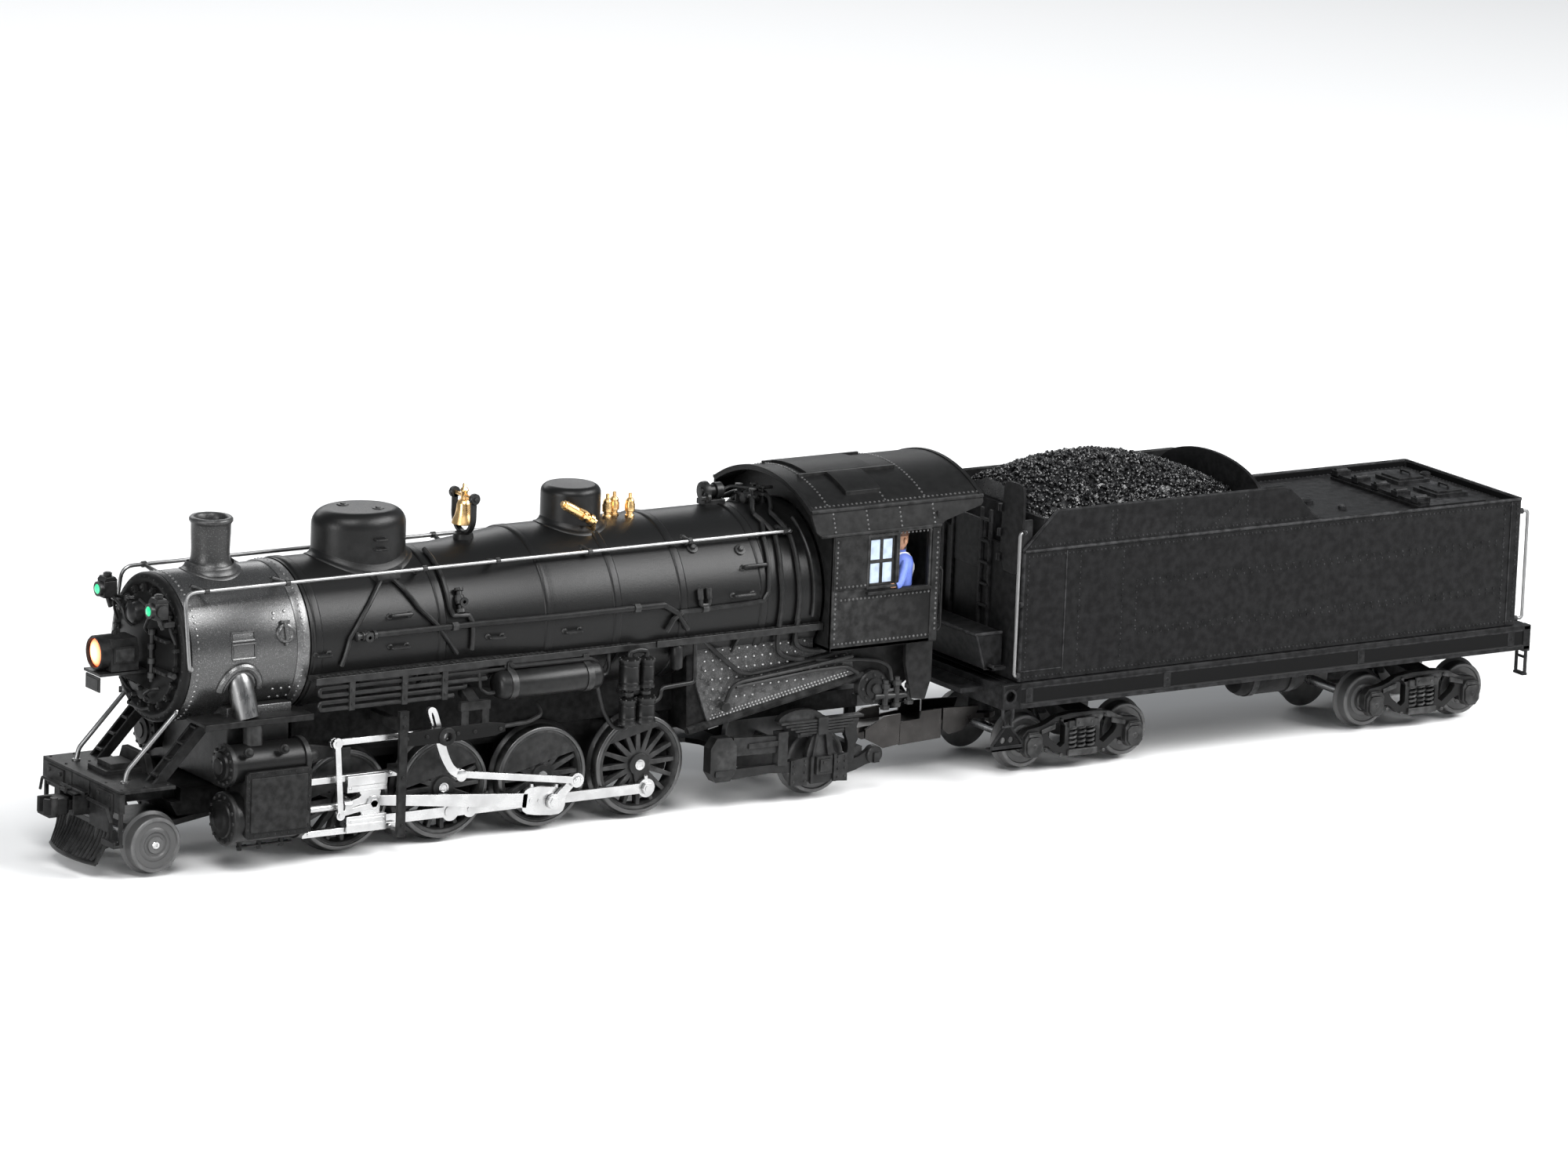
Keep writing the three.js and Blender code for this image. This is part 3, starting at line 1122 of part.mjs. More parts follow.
// Four-wheel truck: two cast side frames outside the wheels, joined by a bolster.
function truckFrame() {
  const sideFrames = [-1, 1].map((side) => {
    const limits = onSide(side, [20.8, 24]);
    const outline = [
      [-TRUCK_HALF_BASE - 3, 12.4], [-8, 17.2], [8, 17.2], [TRUCK_HALF_BASE + 3, 12.4],
      [TRUCK_HALF_BASE + 3.6, 5.6], [TRUCK_HALF_BASE - 3.6, 5.6], [7, 3.4], [-7, 3.4],
      [-TRUCK_HALF_BASE + 3.6, 5.6], [-TRUCK_HALF_BASE - 3.6, 5.6],
    ];
    const windows = [-1, 1].map((end) => plateXZ([
      [end * 7.4, 6.2], [end * 7.4, 14], [end * 14.6, 11.6], [end * 14.2, 8],
    ], onSide(side, [20, 25])));
    const boxes = [-1, 1].map((end) => block(
      [end * TRUCK_HALF_BASE - 3, end * TRUCK_HALF_BASE + 3], onSide(side, [23.4, 26]), [5, 12],
    ));
    const spring = block([-5.4, 5.4], onSide(side, [23.2, 25.2]), [4.4, 15.4]);
    return join(cut(plateXZ(outline, limits), ...windows), ...boxes, spring);
  });
  const bolster = block([-6, 6], [-21.5, 21.5], [14, 19]);
  const journals = [-1, 1].map((end) => barY(1.5, [-24.6, 24.6], end * TRUCK_HALF_BASE, TENDER_WHEEL_R));
  return cut(join(bolster, ...sideFrames), ...journals, barZ(2.6, [10, 22], 0, 0));
}

addPart('truck_frame_front', truckFrame(), WHEEL_GREY, [TRUCK_X[0], 0, 0]);
addPart('truck_frame_rear', truckFrame(), WHEEL_GREY, [TRUCK_X[1], 0, 0]);

// Rear coupler: shank under the tender sill, with a knuckle that opens.
const COUPLER_PIVOT_X = 358;
const KNUCKLE_X = 386.5;
const KNUCKLE_Y = -4.0;
function rearCoupler() {
  const shank = join(
    block([COUPLER_PIVOT_X, 381], [-2.2, 2.2], [17, 20]),
    barZ(3.4, [17, 20], COUPLER_PIVOT_X, 0),
    block([379, 384.5], [-5.6, 5.8], [15.4, 21.6]),
    block([384, 391], [3.4, 5.8], [15.4, 21.6]),
  );
  return join(
    shank,
    barZ(1.9, [20, 21.6], KNUCKLE_X, KNUCKLE_Y),
    barZ(1.9, [15.4, 17], KNUCKLE_X, KNUCKLE_Y),
    block([383.5, KNUCKLE_X], [KNUCKLE_Y - 1.5, KNUCKLE_Y + 1.5], [20, 21.6]),
    block([383.5, KNUCKLE_X], [KNUCKLE_Y - 1.5, KNUCKLE_Y + 1.5], [15.4, 17]),
  );
}

function rearKnuckle() {
  return join(
    barZ(1.8, [17.3, 19.7], KNUCKLE_X, KNUCKLE_Y),
    plateXY([
      [KNUCKLE_X - 0.6, KNUCKLE_Y - 1.6], [KNUCKLE_X + 3.2, KNUCKLE_Y - 0.8],
      [KNUCKLE_X + 5.2, KNUCKLE_Y + 1.6], [KNUCKLE_X + 5.2, KNUCKLE_Y + 5.4],
      [KNUCKLE_X + 3.2, KNUCKLE_Y + 5.4], [KNUCKLE_X + 2.4, KNUCKLE_Y + 2.4],
      [KNUCKLE_X, KNUCKLE_Y + 1.6],
    ], [17.3, 19.7]),
  );
}

addPart('rear_coupler', rearCoupler(), SATIN_BLACK);
addPart('rear_knuckle', rearKnuckle(), SATIN_BLACK);

// ---------------------------------------------------------------- sound and control parts

addPart('speaker', turned([
  [0, 32.2], [13, 32.2], [13, 34.4], [7, 40], [7, 44], [0, 44],
], 'z', [300, 0, 0]), SPEAKER_GREY);
addPart('circuit_board', join(
  block([205, 268], [-20, 20], [36, 37.6]),
  block([216, 224], [-6, 6], [37.4, 42]),
  block([240, 258], [-12, 4], [37.4, 40]),
  block([209, 212], [12, 15], [31.9, 36.2]),
  block([262, 265], [12, 15], [31.9, 36.2]),
), BOARD_GREEN);
addPart('sound_switch', join(
  block([229, 232.4], [-1.6, 1.6], [27.6, 34]),
  block([228.6, 235.4], [-4, 4], [32.2, 34]),
), SPEAKER_GREY);

export default group;
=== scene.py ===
"""O gauge 2-8-2 steam locomotive and tender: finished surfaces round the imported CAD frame.

Sizes are in millimetres in the part's frame (+X towards the tender, -Y the left-hand side,
z 0 at rail height) and become metres when a piece is made.
"""

import math
import random

import bmesh
import bpy
from mathutils import Euler, Matrix, Vector, geometry


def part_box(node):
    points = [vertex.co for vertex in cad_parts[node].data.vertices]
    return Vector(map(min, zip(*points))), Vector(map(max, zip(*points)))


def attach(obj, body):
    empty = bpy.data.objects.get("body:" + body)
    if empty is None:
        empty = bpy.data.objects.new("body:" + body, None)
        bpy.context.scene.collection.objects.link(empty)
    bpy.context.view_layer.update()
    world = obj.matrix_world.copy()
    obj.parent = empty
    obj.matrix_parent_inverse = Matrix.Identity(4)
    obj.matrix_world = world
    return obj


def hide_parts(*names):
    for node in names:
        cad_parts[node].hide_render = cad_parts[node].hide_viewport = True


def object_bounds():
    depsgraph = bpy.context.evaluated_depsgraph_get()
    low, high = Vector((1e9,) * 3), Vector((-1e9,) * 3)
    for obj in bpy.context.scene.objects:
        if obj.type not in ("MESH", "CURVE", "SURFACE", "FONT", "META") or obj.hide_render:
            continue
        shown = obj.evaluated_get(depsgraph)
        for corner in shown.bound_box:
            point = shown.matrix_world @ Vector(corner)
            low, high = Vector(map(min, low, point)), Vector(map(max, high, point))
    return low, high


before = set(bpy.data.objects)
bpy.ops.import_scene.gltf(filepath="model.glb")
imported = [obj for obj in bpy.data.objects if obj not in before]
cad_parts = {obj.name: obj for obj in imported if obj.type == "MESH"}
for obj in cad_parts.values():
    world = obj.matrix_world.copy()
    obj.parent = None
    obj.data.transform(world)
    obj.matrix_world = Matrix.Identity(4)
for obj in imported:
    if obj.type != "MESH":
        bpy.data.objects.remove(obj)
cad_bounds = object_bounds()
random.seed(48)

MM = 0.001
LEFT, RIGHT = -1, 1
SIDES = ((LEFT, "left"), (RIGHT, "right"))
TURN = 2 * math.pi
OUT, UP, DOWN, AHEAD, BACK = (0, -1, 0), (0, 0, 1), (0, 0, -1), (-1, 0, 0), (1, 0, 0)


# Shapes are laid out in millimetres from the rail height under the main (third) driving axle.
FLANGE = 1.2
axle_low, axle_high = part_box("driver_axle_3")
ORIGIN = Vector(((axle_low[0] + axle_high[0]) / 2, 0, axle_low[2] + FLANGE * MM))


def limits(node):
    """Low and high x, y and z of a CAD node, in millimetres from the main axle."""
    low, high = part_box(node)
    return [((low[i] - ORIGIN[i]) / MM, (high[i] - ORIGIN[i]) / MM) for i in range(3)]


# ------------------------------------------------------------------ driving dimensions

_, FRONT_Y, FRONT_Z = limits("smokebox_front")
BOILER_Z = sum(FRONT_Z) / 2
SMOKEBOX_R = FRONT_Y[1]
SMOKEBOX_X = limits("smokebox")[0]
BARREL_FRONT = limits("boiler_shell")[0][0]
FRONT_R, REAR_R = 23.4, 26.3
CONE_X = (-28, 0)
FIREBOX_Y = 22.5

DRIVER_X = [sum(limits(f"driver_axle_{n}")[0]) / 2 for n in (1, 2, 3, 4)]
AXLE_Z = sum(limits("driver_axle_1")[2]) / 2
WHEEL_BACK, WHEEL_FACE = 14.6, 19.6
DRIVER_R = 15.85
CRANK_R = 7.4
CRANK_ANGLE = math.radians(13)

BOARD_Z = (55.5, 57.0)
BOARD_Y = 27.2
CAB_Y = 30.8
CAB_X = (97.2, 137.1)
CAB_Z = (48.2, 85.6)
ROOF_X = (CAB_X[0] - 7.6, CAB_X[1] + 17.2)
ROOF_SPRING = (28.3, 93.2)
ROOF_PEAK = 101.5

TENDER_X = limits("tender_shell")[0]
TENDER_Z = (31.8, 74.2)
COAL_X, COAL_Y, _ = limits("coal_load")
SILL_X = (166.3, 371.8)
SILL_Z = (23.2, 31.5)
TRUCK_X = [sum(limits(f"truck_frame_{end}")[0]) / 2 for end in ("front", "rear")]
TRUCK_BASE = 19.5
SMALL_WHEEL_R = 8.6
PONY_X = -135.8
TRAILING_X, TRAILING_R = 100.8, 10.6
DRAWBAR_PINS = (126, 176)
COUPLER_PIVOT_X = 358.0
TANK_HALF = 31.9
SILL_Y = 33.0


# ------------------------------------------------------------------ finishes

class Finish:
    """A procedural material: noise, masks and bump feed one shader. Sizes are in millimetres."""

    def __init__(self, name, slot):
        self.material = bpy.data.materials.new(name)
        self.material["slot"] = slot
        self.material.use_nodes = True
        self.tree = self.material.node_tree
        self.shader = self.tree.nodes["Principled BSDF"]
        self.place = self.node("ShaderNodeTexCoord").outputs["Object"]

    def node(self, kind, **inputs):
        """Shader node of the given kind, with its inputs fed."""
        made = self.tree.nodes.new(kind)
        for name, value in inputs.items():
            self.feed(made.inputs[name.replace("_", " ")], value)
        return made

    def feed(self, socket, value):
        """Links a socket to another one, or gives it a value."""
        if isinstance(value, bpy.types.NodeSocket):
            self.tree.links.new(value, socket)
        else:
            socket.default_value = value

    def noise(self, size, detail=3.0, stretch=(1, 1, 1)):
        """Noise with grains of about the given size."""
        mapping = self.node("ShaderNodeMapping", Vector=self.place, Scale=stretch)
        made = self.node("ShaderNodeTexNoise", Vector=mapping.outputs[0],
                         Scale=1 / (size * MM), Detail=detail)
        return made.outputs["Fac"]

    def remap(self, value, low, high, start, end):
        """A value whose range from low to high is stretched to start and end."""
        made = self.node("ShaderNodeMapRange", Value=value)
        for socket, number in zip(list(made.inputs)[1:5], (low, high, start, end)):
            socket.default_value = number
        return made.outputs[0]

    def math(self, operation, a, b):
        made = self.tree.nodes.new("ShaderNodeMath")
        made.operation = operation
        self.feed(made.inputs[0], a)
        self.feed(made.inputs[1], b)
        return made.outputs[0]

    def mix(self, share, a, b):
        """Blend of two colours."""
        made = self.tree.nodes.new("ShaderNodeMix")
        made.data_type = "RGBA"
        for index, value in ((0, share), (6, a), (7, b)):
            self.feed(made.inputs[index], value)
        return made.outputs[2]

    def bump(self, height, depth, normal=None):
        """Normal that follows a height."""
        made = self.node("ShaderNodeBump", Height=height, Distance=depth * MM, Strength=1.0)
        if normal is not None:
            self.feed(made.inputs["Normal"], normal)
        return made.outputs["Normal"]

    def edges(self, low=0.52, high=0.6):
        """Mask of the sharp outer edges."""
        made = self.tree.nodes.new("ShaderNodeNewGeometry")
        return self.remap(made.outputs["Pointiness"], low, high, 0, 1)

    def set(self, **inputs):
        """Feeds the shader's inputs and returns the finished material."""
        for name, value in inputs.items():
            self.feed(self.shader.inputs[name.replace("_", " ")], value)
        return self.material


def rgb(value, tint=(1, 1, 1)):
    """Grey of the given brightness, tinted."""
    return (value * tint[0], value * tint[1], value * tint[2], 1)


def enamel(name, slot, shade, roughness, grain, edge_wear_and_sheen=0.1, tint=(1, 1, 1), metallic=0.0, speck=0.0,
           shine=0.2):
    """Sprayed paint: slow mottling, fine orange-peel grain, and edges made lighter, partly as rubbed wear
    and partly as a painted highlight.
    """
    made = Finish(name, slot)
    mottle = made.noise(9, 4)
    peel = made.noise(grain, 2)
    colour = made.mix(made.remap(mottle, 0.35, 0.7, 0, 1), rgb(shade, tint), rgb(shade * 1.04, tint))
    if speck:
        spots = made.remap(made.noise(grain * 1.3, 1), 0.56, 0.7, 0, 1)
        colour = made.mix(spots, colour, rgb(speck, tint))
    # Sharp edges are lightened: partly rubbed wear, partly a painted highlight along them.
    raised = made.edges(0.53, 0.63)
    patches = made.remap(made.noise(2.5, 3), 0.35, 0.65, 0.2, 1)
    wear_and_sheen_mask = made.math("MULTIPLY", raised, patches)
    colour = made.mix(made.math("MULTIPLY", wear_and_sheen_mask, 0.85), colour, rgb(edge_wear_and_sheen, tint))
    rough = made.math("ADD", made.remap(mottle, 0.3, 0.7, roughness - 0.006, roughness + 0.006),
                      made.remap(peel, 0.3, 0.7, -0.05, 0.05))
    relief = made.bump(peel, 0.03)
    return made.set(Base_Color=colour, Roughness=rough, Normal=relief, Metallic=metallic,
                    Specular_IOR_Level=shine)


def bare_metal(name, slot, shade, roughness, tint=(1, 1, 1), streak=(1, 1, 1), painted_recess_shade=0.55):
    """Plated or turned metal: directional streaks, smudges, and recesses darkened as painted shade."""
    made = Finish(name, slot)
    lines = made.noise(0.35, 2, streak)
    smudge = made.noise(5, 4)
    recess = made.tree.nodes.new("ShaderNodeNewGeometry").outputs["Pointiness"]
    colour = made.mix(made.remap(smudge, 0.4, 0.75, 0, 1), rgb(shade, tint), rgb(shade * 0.8, tint))
    # Painted shade: low-pointiness recesses are darkened.
    colour = made.mix(made.remap(recess, 0.42, 0.49, 1, 0), colour, rgb(shade * painted_recess_shade, tint))
    rough = made.math("ADD", made.remap(smudge, 0.3, 0.7, roughness - 0.06, roughness + 0.1),
                      made.remap(lines, 0.3, 0.7, -0.05, 0.05))
    return made.set(Base_Color=colour, Roughness=rough, Metallic=1.0,
                    Normal=made.bump(lines, 0.012, made.bump(smudge, 0.03)))


def moulding(name, slot, colour, roughness=0.5, grain=0.5, depth=0.03):
    """Plain moulded or hand-painted plastic with a little tone variation."""
    made = Finish(name, slot)
    tone = made.noise(2.4, 3)
    dark = tuple(c * 0.72 for c in colour[:3]) + (1,)
    shade = made.mix(made.remap(tone, 0.35, 0.7, 0, 1), tuple(colour[:3]) + (1,), dark)
    return made.set(Base_Color=shade, Normal=made.bump(made.noise(grain, 3), depth),
                    Roughness=made.remap(tone, 0.3, 0.7, roughness - 0.06, roughness + 0.06))


def glowing(name, slot, edge, heart, centre, radius, power):
    """Lit lens: a hot heart fading to a coloured rim across its face."""
    made = Finish(name, slot)
    offset = made.node("ShaderNodeVectorMath", Vector=made.place)
    offset.operation = "DISTANCE"
    offset.inputs[1].default_value = ORIGIN + Vector(centre) * MM
    share = made.remap(offset.outputs["Value"], radius * 0.35 * MM, radius * MM, 0, 1)
    ripple = made.remap(made.noise(0.8, 2), 0.3, 0.7, 0.85, 1.1)
    glow = made.mix(share, heart, edge)
    return made.set(Base_Color=glow, Roughness=0.12, Emission_Color=glow,
                    Emission_Strength=made.math("MULTIPLY", ripple, power))


BLACK = enamel("satin_black", "satin_black", 0.004, 0.37, 0.3, edge_wear_and_sheen=0.04, shine=0.24)
CAB_BLACK = enamel("cab_black", "satin_black", 0.0055, 0.4, 0.26, edge_wear_and_sheen=0.04, shine=0.1)
PITCH = enamel("frame_black", "satin_black", 0.0025, 0.42, 0.35, edge_wear_and_sheen=0.03, shine=0.06)
TENDER_PAINT = enamel("tender_black", "tender_black", 0.0045, 0.42, 0.3, edge_wear_and_sheen=0.045,
                      tint=(1, 1, 1.03), shine=0.07)
GRAPHITE = enamel("graphite", "graphite", 0.085, 0.3, 0.25, edge_wear_and_sheen=0.1, metallic=0.85, speck=0.2,
                  shine=0.5)
STACK_GREY = enamel("stack_graphite", "graphite", 0.03, 0.36, 0.3, edge_wear_and_sheen=0.09, metallic=0.4, speck=0.07,
                    shine=0.4)
# Lighter graphite for the smokebox band and its rivets: a painted highlight on the same graphite as the
# shell.
BAND_HIGHLIGHT = enamel("band_painted_highlight", "graphite", 0.1, 0.38, 0.3, edge_wear_and_sheen=0.3, metallic=0.8, speck=0.22, shine=0.5)
STAY_SHEET = enamel("stay_sheet", "satin_black", 0.022, 0.4, 0.3, edge_wear_and_sheen=0.2, metallic=0.3, speck=0.08)
# Rivet heads get a far lighter black than the paint around them: a painted highlight standing in for their
# glints.
RIVET_HIGHLIGHT = enamel("rivet_painted_highlight", "tender_black", 0.028, 0.34, 0.2, edge_wear_and_sheen=0.12, shine=0.5)
BOLT_GREY = bare_metal("rubbed_bolts", "bright_steel", 0.5, 0.35)
TRUCK_GREY = enamel("truck_grey", "wheel_grey", 0.011, 0.4, 0.3, edge_wear_and_sheen=0.12, metallic=0.25)
WHEEL_PAINT = enamel("wheel_grey", "wheel_grey", 0.012, 0.4, 0.25, edge_wear_and_sheen=0.1, metallic=0.2)
TREAD = bare_metal("tyre_steel", "wheel_grey", 0.11, 0.34, streak=(1, 0.05, 1))
DISC_GREY = enamel("disc_wheel_grey", "plain_wheel_grey", 0.085, 0.42, 0.3, edge_wear_and_sheen=0.25, metallic=0.4)
STEEL = bare_metal("bright_steel", "bright_steel", 0.6, 0.28, streak=(0.06, 1, 1), painted_recess_shade=0.45)
WIRE = bare_metal("handrail_wire", "bright_steel", 0.27, 0.38, streak=(0.05, 1, 1))
DARK_STEEL = bare_metal("blackened_steel", "blackened_steel", 0.06, 0.34, tint=(1, 0.95, 0.92))
DULL_BRASS = bare_metal("oiled_brass", "brass", 0.05, 0.45, tint=(1, 0.8, 0.55), painted_recess_shade=0.4)
PIPE_STEEL = bare_metal("steam_pipe", "graphite", 0.2, 0.3, streak=(1, 1, 0.06))
BRASS = bare_metal("brass", "brass", 0.93, 0.28, tint=(1, 0.66, 0.3), painted_recess_shade=0.4)
COAL = moulding("coal", "coal", (0.005, 0.005, 0.0055), 0.3, 0.5, 0.12)
PANE = moulding("window_pane", "lens", (0.4, 0.48, 0.6), 0.12, 3, 0.01)
BOARD_GREEN = moulding("circuit_green", "circuit", (0.02, 0.12, 0.05), 0.4)
CONE_BLACK = moulding("speaker_cone", "speaker", (0.02, 0.02, 0.02), 0.7)
KNOB = moulding("switch_plastic", "switch_plastic", (0.02, 0.02, 0.02), 0.5)
MOTOR_CAN = bare_metal("motor_can", "motor_steel", 0.5, 0.35)
SHIRT = moulding("shirt_blue", "figure", (0.13, 0.2, 0.62), 0.6, 0.4, 0.05)
TROUSERS = moulding("trouser_grey", "figure", (0.03, 0.035, 0.06), 0.7, 0.4, 0.05)
BRACES = moulding("brace_white", "figure", (0.7, 0.7, 0.72), 0.6)
SKIN = moulding("face_paint", "figure", (0.62, 0.33, 0.2), 0.5, 0.6, 0.01)
CAP = moulding("cap_brown", "figure", (0.16, 0.075, 0.045), 0.65)


# ------------------------------------------------------------------ shape building

def circle(centre, radius, sides=24, start=0.0, sweep=TURN):
    """Points on a circle, or on an arc when the sweep is less than a full turn."""
    full = abs(sweep - TURN) < 1e-9
    return [(centre[0] + radius * math.cos(start + sweep * i / sides),
             centre[1] + radius * math.sin(start + sweep * i / sides))
            for i in range(sides if full else sides + 1)]


def rectangle(u, v):
    """Outline of a rectangle between two pairs of limits."""
    return [(u[0], v[0]), (u[1], v[0]), (u[1], v[1]), (u[0], v[1])]


def rounded(path, bend, steps=5):
    """A path with each inner corner replaced by a smooth bend."""
    points = [Vector(p) for p in path]
    line = [points[0]]
    for before, corner, after in zip(points, points[1:], points[2:]):
        reach_in = min(bend, (corner - before).length * 0.48)
        reach_out = min(bend, (after - corner).length * 0.48)
        start = corner + (before - corner).normalized() * reach_in
        end = corner + (after - corner).normalized() * reach_out
        for i in range(steps + 1):
            t = i / steps
            line.append(start * (1 - t) ** 2 + corner * 2 * t * (1 - t) + end * t * t)
    return line + [points[-1]]


class Solid:
    """Collects closed shells, in millimetres, and becomes one named piece.

    Shells added as crisp get a small bevel on their edges; turned and swept ones don't.
    """

    def __init__(self, place=None):
        self.points = []
        self.faces = []
        self.crisp = []
        self.place = place or Matrix.Identity(4)

    def add(self, points, faces, crisp=False):
        """Takes in one closed shell."""
        start = len(self.points)
        self.points += [self.place @ Vector(p) for p in points]
        self.faces += [[start + i for i in face] for face in faces]
        self.crisp += [crisp] * len(faces)

    def box(self, x, y, z):
        """Block between two stations on each axis."""
        corners = [(a, b, c) for a in x for b in y for c in z]
        sheets = [(0, 1, 3, 2), (4, 6, 7, 5), (0, 4, 5, 1), (2, 3, 7, 6), (0, 2, 6, 4), (1, 5, 7, 3)]
        self.add(corners, sheets, crisp=True)

    def prism(self, outline, axis, span, holes=(), crisp=True):
        """Plate with the given outline, seen along an axis, between two stations on it."""
        loops = [list(outline)] + [list(hole) for hole in holes]
        lift = {"x": lambda p, t: (t, p[0], p[1]),
                "y": lambda p, t: (p[0], t, p[1]),
                "z": lambda p, t: (p[0], p[1], t)}[axis]
        flat = [p for loop in loops for p in loop]
        count = len(flat)
        faces, start = [], 0
        for loop in loops:
            for i in range(len(loop)):
                a, b = start + i, start + (i + 1) % len(loop)
                faces.append((a, b, b + count, a + count))
            start += len(loop)
        if holes:
            lids = geometry.tessellate_polygon([[(u, v, 0) for u, v in loop] for loop in loops])
        else:
            lids = [tuple(range(count))]
        faces += [tuple(lid) for lid in lids]
        faces += [tuple(i + count for i in reversed(lid)) for lid in lids]
        points = [lift(p, t) for t in span for p in flat]
        self.add(points, faces, crisp)

    def turned(self, profile, axis, centre=(0, 0, 0), sides=40, squeeze=1.0, ring=False):
        """Solid of revolution: the profile holds (radius, station along the axis)."""
        turns = circle((0, 0), 1, sides)
        points, rows = [], []
        for radius, t in profile:
            first = len(points)
            used = turns if radius > 1e-6 else turns[:1]
            for c, s in used:
                u, v = radius * c, radius * s * squeeze
                offset = {"x": (t, u, v), "y": (u, t, v), "z": (u, v, t)}[axis]
                points.append([a + b for a, b in zip(centre, offset)])
            rows.append([first + (i if len(used) > 1 else 0) for i in range(sides)])
        faces = []
        pairs = list(zip(rows, rows[1:])) + ([(rows[-1], rows[0])] if ring else [])
        for low, high in pairs:
            for i in range(sides):
                j = (i + 1) % sides
                faces.append(list(dict.fromkeys([low[i], low[j], high[j], high[i]])))
        if not ring:
            faces += [row for row in (rows[0], rows[-1]) if row[0] != row[1]]
        self.add(points, faces)

    def rod(self, start, end, radius, sides=12, end_radius=None):
        """Straight round bar between two points."""
        self.tube([start, end], radius, sides, end_radius=end_radius)

    def tube(self, path, radius, sides=8, bend=0.0, end_radius=None):
        """Round bar along a path, its corners rounded by a bend."""
        line = rounded(path, bend) if bend else [Vector(p) for p in path]
        final = radius if end_radius is None else end_radius
        heading = (line[1] - line[0]).normalized()
        across = heading.orthogonal().normalized()
        points = []
        for i, point in enumerate(line):
            ahead = line[min(i + 1, len(line) - 1)] - line[max(i - 1, 0)]
            turned = ahead.normalized()
            across = (across - turned * across.dot(turned)).normalized()
            up = turned.cross(across)
            size = radius + (final - radius) * i / (len(line) - 1)
            points += [point + (across * c + up * s) * size for c, s in circle((0, 0), 1, sides)]
        faces = [tuple(range(sides)), tuple(range(len(points) - sides, len(points)))]
        for ring in range(len(line) - 1):
            a, b = ring * sides, (ring + 1) * sides
            faces += [(a + i, a + (i + 1) % sides, b + (i + 1) % sides, b + i) for i in range(sides)]
        self.add(points, faces)

    def studs(self, spots, radius, height, sides=8, domed=True):
        """Rivets or bolt heads: each spot is a point and the direction it stands in."""
        rings = ((1, -0.15), (0.94, 0.3), (0.66, 0.8)) if domed else ((1, -0.15), (1, 0.85), (0.8, 1))
        for point, direction in spots:
            up = Vector(direction).normalized()
            across = up.orthogonal().normalized()
            side = up.cross(across)
            points = [Vector(point) + (across * c + side * s) * radius * r + up * height * h
                      for r, h in rings for c, s in circle((0, 0), 1, sides)]
            points.append(Vector(point) + up * height)
            faces = [tuple(range(sides))]
            for low in (0, sides):
                faces += [(low + i, low + (i + 1) % sides, low + sides + (i + 1) % sides,
                           low + sides + i) for i in range(sides)]
            top = 2 * sides
            faces += [(top + i, top + (i + 1) % sides, 3 * sides) for i in range(sides)]
            self.add(points, faces)

    def wrapped(self, rows, radius, rise):
        """Thin plate lying on the boiler: rows of (angle, low x, high x), up from the side."""
        points = []
        for angle, x0, x1 in rows:
            for r in (radius - 0.3, radius + rise):
                y, up = -r * math.cos(angle), BOILER_Z + r * math.sin(angle)
                points += [(x0, y, up), (x1, y, up)]
        faces = [(0, 1, 3, 2)]
        for row in range(len(rows) - 1):
            a, b = row * 4, row * 4 + 4
            faces += [(a, a + 1, b + 1, b), (a + 2, a + 3, b + 3, b + 2),
                      (a, a + 2, b + 2, b), (a + 1, a + 3, b + 3, b + 1)]
        last = len(points) - 4
        faces.append((last, last + 1, last + 3, last + 2))
        self.add(points, faces)

    def piece(self, name, material, body="locomotive", bevel=0.0, replaces=(), sharp=34):
        """Makes the object, smooths it, and lets it ride on a body."""
        mesh = bpy.data.meshes.new(name)
        mesh.from_pydata([ORIGIN + p * MM for p in self.points], [], self.faces)
        work = bmesh.new()
        work.from_mesh(mesh)
        bmesh.ops.recalc_face_normals(work, faces=work.faces)
        if bevel:
            work.faces.ensure_lookup_table()
            weight = work.edges.layers.float.new("bevel_weight_edge")
            for edge in work.edges:
                is_crisp = all(self.crisp[face.index] for face in edge.link_faces)
                if is_crisp and edge.calc_face_angle(0) > math.radians(30):
                    edge[weight] = 1.0
        work.to_mesh(mesh)
        work.free()
        mesh.polygons.foreach_set("use_smooth", [True] * len(mesh.polygons))
        mesh.set_sharp_from_angle(angle=math.radians(sharp))
        mesh.materials.append(material)
        made = bpy.data.objects.new(name, mesh)
        bpy.context.scene.collection.objects.link(made)
        if bevel:
            soften(made, bevel)
        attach(made, body)
        if replaces:
            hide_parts(*replaces)


def soften(made, width, by_weight=True):
    """Rounds crisp edges, so that they catch the light as a real casting does."""
    bevel = made.modifiers.new("soft_edges", "BEVEL")
    bevel.width = width * MM
    bevel.segments = 2
    bevel.limit_method = "WEIGHT" if by_weight else "ANGLE"
    bevel.angle_limit = math.radians(30)
    bevel.harden_normals = True


def keep_node(name, material, bevel=0.2):
    """A CAD solid whose shape is already right: it gets a finish and soft edges."""
    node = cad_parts[name]
    node.data.materials.clear()
    node.data.materials.append(material)
    node.data.polygons.foreach_set("use_smooth", [True] * len(node.data.polygons))
    node.data.set_sharp_from_angle(angle=math.radians(40))
    soften(node, bevel, by_weight=False)


def mirrored(side):
    """Places something modelled on the left-hand side on the given side."""
    return Matrix.Scale(-1, 4, (0, 1, 0)) if side == RIGHT else Matrix.Identity(4)


def both_sides(*solids):
    """Runs a loop's body for the left side and then for the right, and ends unmirrored."""
    for side in (LEFT, RIGHT):
        for solid in solids:
            solid.place = mirrored(side)
        yield side
    for solid in solids:
        solid.place = Matrix.Identity(4)


